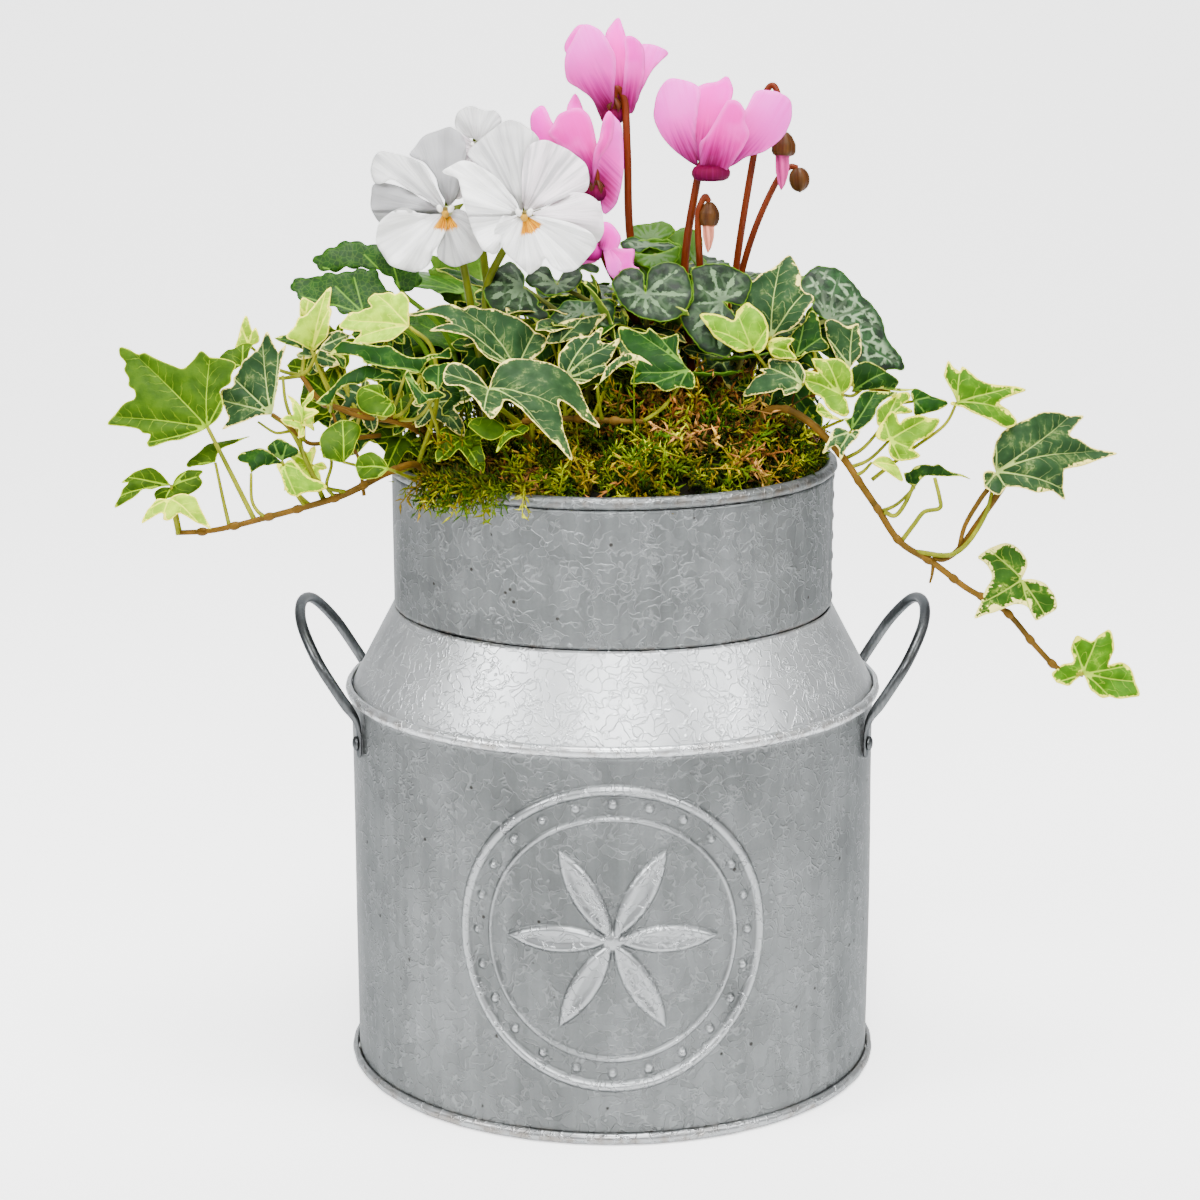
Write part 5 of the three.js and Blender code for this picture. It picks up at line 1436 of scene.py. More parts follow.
# Flower number: where it faces, then its throat and the way the eye points (radians from
# straight down, towards the right), then its petals from back to front as foot, tip, colours,
# whether the petal carries part of the eye, and outline.
PANSY_FACES = {1: (-0.15, -0.97, 0.15), 2: (0.12, -0.97, 0.18), 3: (-0.05, -0.9, 0.4)}
PANSY_EYES = {1: ((-65.5, -43, 365.4), 0.05), 2: ((-34.6, -54.5, 365.0), 0.42),
              3: ((-54, -19, 388), 0.0)}
PANSY_PETALS = {
    1: [
        ((-64.5, -38.5, 366.5), 7, PANSY_SHADE, PANSY_SHADE, False, [
            (-4, 6.5), (-5.5, 11.5), (-10, 17), (-14.5, 19), (-16.5, 20.5), (-14.5, 24),
            (-11.5, 28), (-7, 30), (-1, 31.5), (2, 30.5), (6, 26.5), (7, 18.5), (5.5, 10.5),
            (3.5, 4.5)]),
        ((-66, -40, 365), 4, PANSY_SHADE, PANSY_SHADE, False, [
            (-8.5, 4.5), (-18.5, 9.5), (-28.5, 10.5), (-30.5, 4.5), (-29.5, -0.5), (-27, -5),
            (-20.5, -3.5), (-15.5, -1), (-9.5, -1), (-3, -1.5)]),
        ((-65.5, -41, 366), 7, PANSY_PAINTED_SHADE_GREY, PANSY_SHADE, False, [
            (-4.5, 1), (-8.5, 4), (-14, 6.5), (-21, 11), (-24.5, 9.5), (-28.5, 9.5), (-31, 14),
            (-31, 17), (-30, 20), (-27.5, 22.5), (-23, 22), (-15, 20), (-10.5, 18), (-7.5, 15.5),
            (-5, 10.5), (-2.5, 5.5)]),
        ((-64.5, -42, 364.5), 3, PANSY_PAINTED_SHADE_GREY, PANSY_SHADE, True, [
            (-1, -5.5), (-4.5, -15.5), (-2, -19.5), (2.5, -21), (7.5, -19.5), (12, -17.5),
            (13.5, -13), (10.5, -6.5), (7.5, 0), (3.5, 1.5)]),
        ((-65.5, -43.5, 364.5), 5, PANSY_WHITE, PANSY_PAINTED_SHADE_GREY, True, [
            (-3.5, -0.5), (-10, -0.5), (-16, 2), (-22.5, -0.5), (-27, -4.5), (-29, -10.5),
            (-27, -15), (-23, -20), (-16.5, -22.5), (-11.5, -23), (-7, -20.5), (-4.5, -15),
            (-2, -11.5), (0.5, -6.5)]),
    ],
    2: [
        ((-36, -50, 365.5), 8, PANSY_PAINTED_SHADE_GREY, PANSY_SHADE, False, [
            (-2, 5), (-8, 11), (-13.5, 16.5), (-19.5, 21.5), (-19.5, 24.5), (-15.5, 28.5),
            (-9.5, 33), (-6, 35.5), (-2.5, 36), (2.5, 34), (6, 31), (8, 27.5), (5, 20.5),
            (2.5, 10.5), (1.5, 3.5)]),
        ((-34.5, -51, 366.5), 7, PANSY_ROSE, PANSY_SHADE, False, [
            (-1, 6), (-1, 12.5), (0, 19.5), (1.5, 24), (5, 26.5), (9.5, 27), (14.5, 25.5),
            (19.5, 22.5), (24, 18.5), (25.5, 14), (25.5, 9.5), (23.5, 6.5), (17, 5), (9, 1.5),
            (3.5, 0)]),
        ((-36.5, -52.5, 365), 5, PANSY_WHITE, PANSY_PAINTED_SHADE_GREY, False, [
            (-2, 5.5), (-7, 12.5), (-14, 18), (-20.5, 21.5), (-26, 19.5), (-29.5, 17), (-24, 14.5),
            (-23, 11), (-21.5, 3.5), (-19, -4.5), (-15.5, -13), (-13.5, -14.5), (-10.5, -15.5),
            (-8.5, -14), (-7.5, -10), (-7.5, -5), (-5, -2), (-2.5, -0.5)]),
        ((-32.5, -53.5, 365.5), 3, PANSY_ROSE, PANSY_PAINTED_SHADE_GREY, False, [
            (6, 2), (12, 5.5), (15.5, 7.5), (21, 8), (25.5, 6), (28, 2.5), (29, -3), (29, -8.5),
            (26, -12), (19.5, -10.5), (12, -6), (4, -2)]),
        ((-34.5, -55, 364.5), 8, PANSY_WHITE, PANSY_PAINTED_SHADE_GREY, True, [
            (-4.5, 0), (-8, 0.5), (-10.5, -2.5), (-12, -6), (-10, -10), (-8, -14), (-5, -17),
            (-1.5, -20), (1.5, -22.5), (4, -21), (6, -19.5), (7.5, -16.5), (10.5, -20), (15, -22),
            (20.5, -20.5), (25.5, -15.5), (28.5, -11), (25.5, -6.5), (18, -3), (10, -1),
            (4.5, 0)]),
    ],
    3: [
        ((-52, -20, 389), 5, PANSY_PAINTED_SHADE_GREY, PANSY_SHADE, False, [
            (-3.5, 2.5), (-9, 4), (-11.5, 9), (-10.5, 13.5), (-7, 16), (-4, 17.5), (-0.5, 16),
            (4, 15), (7.5, 11), (6, 6), (3, 2.5)]),
        ((-53, -22, 387.5), 4, PANSY_ROSE, PANSY_SHADE, False, [
            (-2.5, -2), (-7, -4), (-11.5, -7), (-13, -2.5), (-15, 0.5), (-13, 3.5), (-8.5, 5.5),
            (-4, 4.5), (-1, 3)]),
        ((-51.5, -18, 388), 3, PANSY_PAINTED_SHADE_GREY, PANSY_SHADE, False, [
            (0.5, 3.5), (4, 7), (7.5, 10), (12, 9.5), (13.5, 4.5), (11.5, -0.5), (6.5, -3),
            (2.5, -2.5)]),
        ((-53, -21, 387.5), 5, PANSY_ROSE, PANSY_SHADE, False, [
            (-3, -1), (-9, -3), (-14, -8), (-16, -14), (-13, -19), (-7, -19), (-1, -16), (3, -9),
            (2, -3)]),
    ],
}
PANSY_STEMS = {
    1: [(-64.5, -40, 364.5), (-61, -34, 350), (-57, -32, 328), (-52, -27, 290), (-50, -24, 240)],
    2: [(-33, -48, 363), (-36, -39, 358), (-45, -33, 346), (-51, -31, 328), (-46, -22, 290),
        (-44, -18, 240)],
    3: [(-54, -16, 389.5), (-55, -10, 370), (-52, -10, 340), (-46, -10, 290), (-46, -10, 240)],
}
STEM_GREEN = paint(84, 116, 18)


def ruffled_petal(group, number, base, tip, ground, shade, has_eye, outline, seed):
    """One petal: a low dome, fluted from the throat, with a ruffled margin."""
    outline = np.asarray(outline, float)
    sheet = Sheet(outline, (), [outline[tip - 1] * 0.9], 1.2)
    across, up, out = facing_frame(PANSY_FACES[number])
    throat, way = PANSY_EYES[number]
    offset = np.subtract(base, throat)
    x = sheet.flat[:, 0] + offset @ across
    y = sheet.flat[:, 1] + offset @ up
    reach, turn = np.hypot(x, y), np.arctan2(y, x)
    size = sheet.size
    swell = np.clip(reach / size, 0, 1)
    height = 2.4 * np.sin(math.pi * np.clip(swell, 0, 1)) - 1.2 * swell**2
    height += 2.5 * swell * np.sin(turn * 7 + seed * 1.7)
    height += 0.6 * swell * np.sin(turn * 19 + seed)
    height += 3.2 * np.exp(-sheet.edge / 4.0) * waves(sheet.flat, 7.0, seed)
    height += 1.6 * waves(sheet.flat, 17.0, seed + 1) * swell
    points, faces = sheet.laid(base, (across, up, out), height, 0.4)
    from_eye = (turn + math.pi / 2 - way + math.pi) % (2 * math.pi) - math.pi
    count = len(reach)
    near = np.where(has_eye, reach, 90.0) * np.ones(count)
    blade = np.column_stack([sheet.edge, near, from_eye])
    back = np.column_stack([sheet.edge, np.full(count, 90.0), from_eye])
    fields = np.column_stack([reach, turn, np.full(count, 11.0 * seed)])
    group.add(points, faces, blade=np.vstack([blade, back]), sheet=np.vstack([fields, fields]),
              middle=side_colours(sheet, ground, ground), border=side_colours(sheet, shade, shade))


def droplet(group, foot, end, wide, colour, **fields):
    """A small rounded body, widest past its middle, for tufts, throats and knots."""
    path = np.linspace(foot, end, 9)
    share = np.linspace(0, 1, 9)
    size = wide * np.sqrt(np.clip(1 - (1.9 * share - 0.95) ** 2, 0.03, 1))
    way = unit(np.subtract(end, foot).astype(float))
    outward = (0.3, -1, 0.2) if abs(way[1]) < 0.9 else (1, 0, 0.3)
    points, faces = rod(path, size, size, outward, 10)
    whole = one_colour(colour, (9.0, 90.0, 3.0), (9.0, 1.0, 0.0))
    group.add(points, faces, **{**whole, **fields})


for number, petals in PANSY_PETALS.items():
    flower = Gather()
    for order, petal in enumerate(petals):
        ruffled_petal(flower, number, *petal, number * 10 + order)
    across, up, out = facing_frame(PANSY_FACES[number])
    throat, way = PANSY_EYES[number]
    throat = np.asarray(throat, float) + 1.6 * out
    droplet(flower, PANSY_STEMS[number][0], throat - 1.2 * out, 2.4, paint(170, 182, 120))
    droplet(flower, throat - 2.6 * up - 0.6 * out, throat + 0.4 * up + 0.6 * out, 1.5,
            paint(190, 140, 4))
    droplet(flower, throat - 0.2 * up, throat + 1.5 * up + 0.9 * out, 1.0, paint(96, 84, 10))
    for hand in (-1, 1):
        droplet(flower, throat + 1.4 * hand * across - 0.6 * up,
                throat + 3.0 * hand * across + 2.2 * up + 0.6 * out, 1.2, paint(246, 244, 238))
    flower.piece(f"pansy_flower_{number}_bloom", pansy_petal, "pansy_petal",
                 [f"pansy_flower_{number}"])
    stem = Gather()
    path = stalk_path(PANSY_STEMS[number], 8)
    add_stalk(stem, path, 1.5, 1.7, STEM_GREEN, 12)
    heart = np.asarray(PANSY_STEMS[number][0], float) + 0.5 * out
    for turn in ring_of(5) + 0.6:
        way_out = math.cos(turn) * across + math.sin(turn) * up
        sepal = smooth_path([heart - 1.2 * out, heart + way_out * 3 - 1.8 * out,
                             heart + way_out * 6.5 - 2.0 * out], 5)
        width = np.interp(np.linspace(0, 1, len(sepal)), (0, 0.3, 1), (1.2, 2.0, 0.3))
        mesh, faces = rod(sepal, width, 0.35, out, 8)
        stem.add(mesh, faces, **{**one_colour(STEM_GREEN), "middle": paint(72, 108, 24)})
    stem.piece(f"pansy_stem_{number}_rod", stalk, "green_stem", [f"pansy_stem_{number}"])


# ---------------------------------------------------------------- pansy leaves
# Broad, blunt green leaves with round teeth and sunken veins, on short channelled stalks.

pansy_leaf = Finish("pansy_leaf_skin")
edge, vein, _ = pansy_leaf.split(pansy_leaf.field("blade"))
ground = pansy_leaf.field("middle", "Color")
vein_tone = pansy_leaf.field("veins", "Color")
rim_tone = pansy_leaf.field("border", "Color")
on_blade = pansy_leaf.field("sheet")
mottle = pansy_leaf.noise(0.22, 4.0, on_blade, 0.6)
net = pansy_leaf.node("TexVoronoi", {"feature": "DISTANCE_TO_EDGE"},
                      {"Vector": on_blade, "Scale": 0.5})
deep_ground = pansy_leaf.mix(1.0, ground, (0.42, 0.5, 0.4), "MULTIPLY")
skin = pansy_leaf.mix(pansy_leaf.between(mottle, 0.3, 0.7), deep_ground, ground)
skin = pansy_leaf.mix(pansy_leaf.between(net, 0.12, 0.0) * 0.18, skin, vein_tone)
skin = pansy_leaf.mix(pansy_leaf.between(vein, 0.55, 0.1) * 0.8, skin, vein_tone)
skin = pansy_leaf.mix(pansy_leaf.between(edge, 0.6, 0.0) * 0.6, skin, rim_tone)
pansy_leaf.surface(skin, 0.38 + 0.22 * mottle, (mottle + 0.5 * net, 0.5, 0.6), shine=0.14,
                   glow=paint(70, 120, 4), share=0.07)

PANSY_GREEN = paint(27, 61, 5)
PANSY_LIGHT = paint(46, 86, 3)
PANSY_UNDER = paint(76, 112, 24)
PANSY_VEIN = paint(92, 138, 30)


def toothed(length, width, teeth=7, seed=0.0):
    """A blunt oval outline with round teeth, from the foot round to the foot again."""
    share = np.linspace(0.03, 0.97, teeth * 8)
    angle = share * 2 * math.pi
    swell = 1 + 0.05 * np.cos(teeth * 2 * angle + seed)
    half = np.sin(angle / 2) ** 0.7
    x = -width / 2 * np.sin(angle) * np.abs(np.cos(angle / 2)) ** -0.12 * swell
    y = length * (0.5 - 0.5 * np.cos(angle)) * swell * half**0.1
    return np.stack([x, y], 1)


def pansy_blade(group, base, frame, outline, tip, seed, ground):
    """One blunt leaf, arched, with veins that fan from its foot."""
    outline = np.asarray(outline, float)
    end = outline[tip - 1]
    if len(outline) < 40:
        outline = scalloped(outline, 1.5, 6.5)
    fan = [end * 0.95]
    for turn in (-1.0, -0.5, 0.5, 1.0):
        c, s = math.cos(turn), math.sin(turn)
        fan.append(0.62 * np.array([c * end[0] - s * end[1], s * end[0] + c * end[1]]))
    sheet = Sheet(outline, (), fan, 1.2)
    flat, size = sheet.flat, sheet.size
    height = -0.10 * size * (np.linalg.norm(flat, axis=1) / size) ** 2
    height += 0.7 * (1 - np.exp(-sheet.vein / 1.8)) + 0.06 * size * waves(flat, size * 0.4, seed)
    height += 1.0 * np.exp(-sheet.edge / 2.2) * waves(flat, 4.0, seed + 2)
    add_leaf(group, sheet, base, frame, height, 0.5, 50 * seed, (ground, PANSY_UNDER),
             (PANSY_VEIN, PANSY_VEIN), (PANSY_LIGHT, PANSY_UNDER))


# Leaf number: foot, frame, outline and tip, then the stalk's way down to the soil.
PANSY_LEAVES = {
    1: ((-85.5, -24, 331.5), facing_frame((0.1, -0.85, 0.5)), 5, [
        (-4, 6.5), (-12, 10), (-22, 10.5), (-28.5, 9.5), (-33.5, 12.5), (-34, 16), (-28.5, 19),
        (-23.5, 21.5), (-19.5, 22.5), (-14.5, 21), (-10.5, 20), (-7.5, 20), (-4.5, 18),
        (-0.5, 15.5), (3.5, 12.5), (7.5, 9), (8.5, 4.5), (5.5, 1)],
        [(-66, -20, 310), (-56, -16, 262), (-55, -15, 252)]),
    2: ((-99.5, -34, 323.5), facing_frame((0.1, -0.8, 0.6)), 5, [
        (-7.5, 0), (-13.5, 5), (-18, 4), (-23.5, 7), (-26.5, 10.5), (-28.5, 14.5), (-27.5, 18),
        (-23, 18.5), (-19.5, 17.5), (-15, 19), (-9, 18.5), (-2.5, 20), (4, 20.5), (7, 17.5),
        (7.5, 14), (10, 11.5), (12, 8), (8.5, 4.5), (4.5, 1.5)],
        [(-76, -32, 310), (-62, -26, 262), (-61, -25, 252)]),
    3: ((-62, 12, 326), growing_frame((-62, 12, 326), (-92, 34, 336), (-0.3, 0.3, 0.9)), 28,
        toothed(37, 27), [(-54, 4, 300), (-50, -2, 262), (-49, -3, 250)]),
}
for number, (base, frame, tip, outline, foot) in PANSY_LEAVES.items():
    group = Gather()
    green = PANSY_GREEN if number < 3 else PANSY_LIGHT
    pansy_blade(group, base, frame, outline, tip, number, green)
    path = stalk_path([np.asarray(base) - 0.3 * frame[2], *foot])
    add_stalk(group, path, 1.0, 1.3, STEM_GREEN)
    group.piece(f"pansy_leaf_{number}_blade", pansy_leaf, "pansy_leaf", [f"pansy_leaf_{number}"])


# ---------------------------------------------------------------- variegated ivy
# Woody brown-green shoots climb out of the moss and trail over both sides of the rim. Their
# lobed leaves run from dark grey-green with cream margins to fresh lime at the young ends.

ivy = Finish("ivy_leaf_skin")
edge, vein, along = ivy.split(ivy.field("blade"))
wide_margin, blotch, thin = ivy.split(ivy.field("margin"))
plane = ivy.field("sheet")
ground = ivy.field("middle", "Color")
rim_tone = ivy.field("border", "Color")
vein_tone = ivy.field("veins", "Color")
mottle = ivy.noise(0.16, 3.0, plane, 0.55)
fine = ivy.noise(0.75, 3.0, plane, 0.6)
grey_ground = ivy.mix(1.0, ground, (0.55, 0.62, 0.6), "MULTIPLY")
skin = ivy.mix(ivy.between(mottle, 0.35, 0.62), grey_ground, ground)
pale_patch = ivy.between(mottle, 0.52, 0.64) * ivy.between(fine, 0.4, 0.6) * blotch
skin = ivy.mix(pale_patch * 0.26, skin, vein_tone)
slant = along - vein * 0.9 + mottle * 7.0
ribs = ivy.node("Math", {"operation": "PINGPONG"}, (slant, 2.3))
side_veins = ivy.between(ribs, 0.24, 0.04) * ivy.between(vein, 6.5, 1.2)
skin = ivy.mix(side_veins * 0.42 * thin, skin, vein_tone)
ragged = (fine - 0.46) * 2.6 - ivy.between(mottle, 0.55, 0.67) * 1.7
margin = ivy.between(edge + ragged * blotch - wide_margin, 0.2, -0.2)
skin = ivy.mix(margin * thin, skin, rim_tone)
main_veins = ivy.between(vein + along * 0.009, 0.52, 0.22)
skin = ivy.mix(main_veins * thin * 0.9, skin, vein_tone)
relief = fine * 0.6 + mottle - side_veins * 0.35 - main_veins * 0.3
ivy.surface(skin, 0.4 + 0.24 * fine + 0.1 * margin, (relief, 0.45, 0.6), shine=0.08,
            glow=paint(96, 136, 8), share=thin * 0.09)

# Look: middle, vein and margin colours, the margin's width in millimetres and its raggedness.
IVY_LOOKS = {
    "green": (paint(56, 82, 0), paint(140, 176, 10), paint(170, 190, 20), 0.25, 0.1),
    "fresh": (paint(104, 148, 4), paint(176, 204, 30), paint(216, 216, 50), 0.8, 0.8),
    "bright": (paint(66, 108, 6), paint(156, 186, 40), paint(222, 216, 70), 0.8, 1.0),
    "cream": (paint(52, 88, 22), paint(156, 180, 60), paint(240, 230, 124), 1.9, 2.2),
    "lime": (paint(160, 198, 0), paint(222, 232, 50), paint(244, 236, 80), 0.5, 0.5),
    "margined": (paint(42, 67, 38), paint(158, 180, 92), paint(240, 224, 116), 0.4, 0.9),
    "dark": (paint(24, 56, 12), paint(88, 124, 44), paint(180, 190, 66), 0.3, 0.6),
}
IVY_UNDER = paint(104, 132, 44)
IVY_STEM = paint(100, 72, 24)
IVY_YOUNG = paint(120, 122, 28)

# Shoots, from the soil outwards, in millimetres.
IVY_STEMS = {
    "left_trail": [(-66, -36, 240), (-76, -46, 263), (-88, -58, 264), (-107, -68, 256),
                   (-136, -65, 247), (-158, -62, 241), (-174, -58, 239)],
    "left_upper": [(-64, -24, 240), (-70, -32, 270), (-85, -40, 281), (-101, -44, 285),
                   (-116, -46, 290), (-124, -44, 300)],
    "front": [(-28, -50, 240), (-30, -54, 268), (-36, -60, 283), (-22, -63, 286), (-4, -67, 286),
              (12, -70, 286)],
    "right_trail": [(52, -36, 240), (58, -42, 280), (68, -46, 287), (80, -50, 281), (91, -58, 270),
                    (98, -62, 260), (105, -64, 250), (114, -66, 237), (128, -66, 228),
                    (141, -65, 218), (157, -62, 208), (170, -60, 193), (180, -58, 183),
                    (190, -56, 180)],
    "right_upper": [(66, -20, 240), (68, -26, 280), (72, -34, 296), (84, -38, 300),
                    (98, -40, 296), (112, -40, 292)],
    "back": [(-30, 52, 240), (-34, 66, 268), (-38, 86, 270), (-42, 102, 262), (-48, 112, 244),
             (-56, 116, 222)],
}
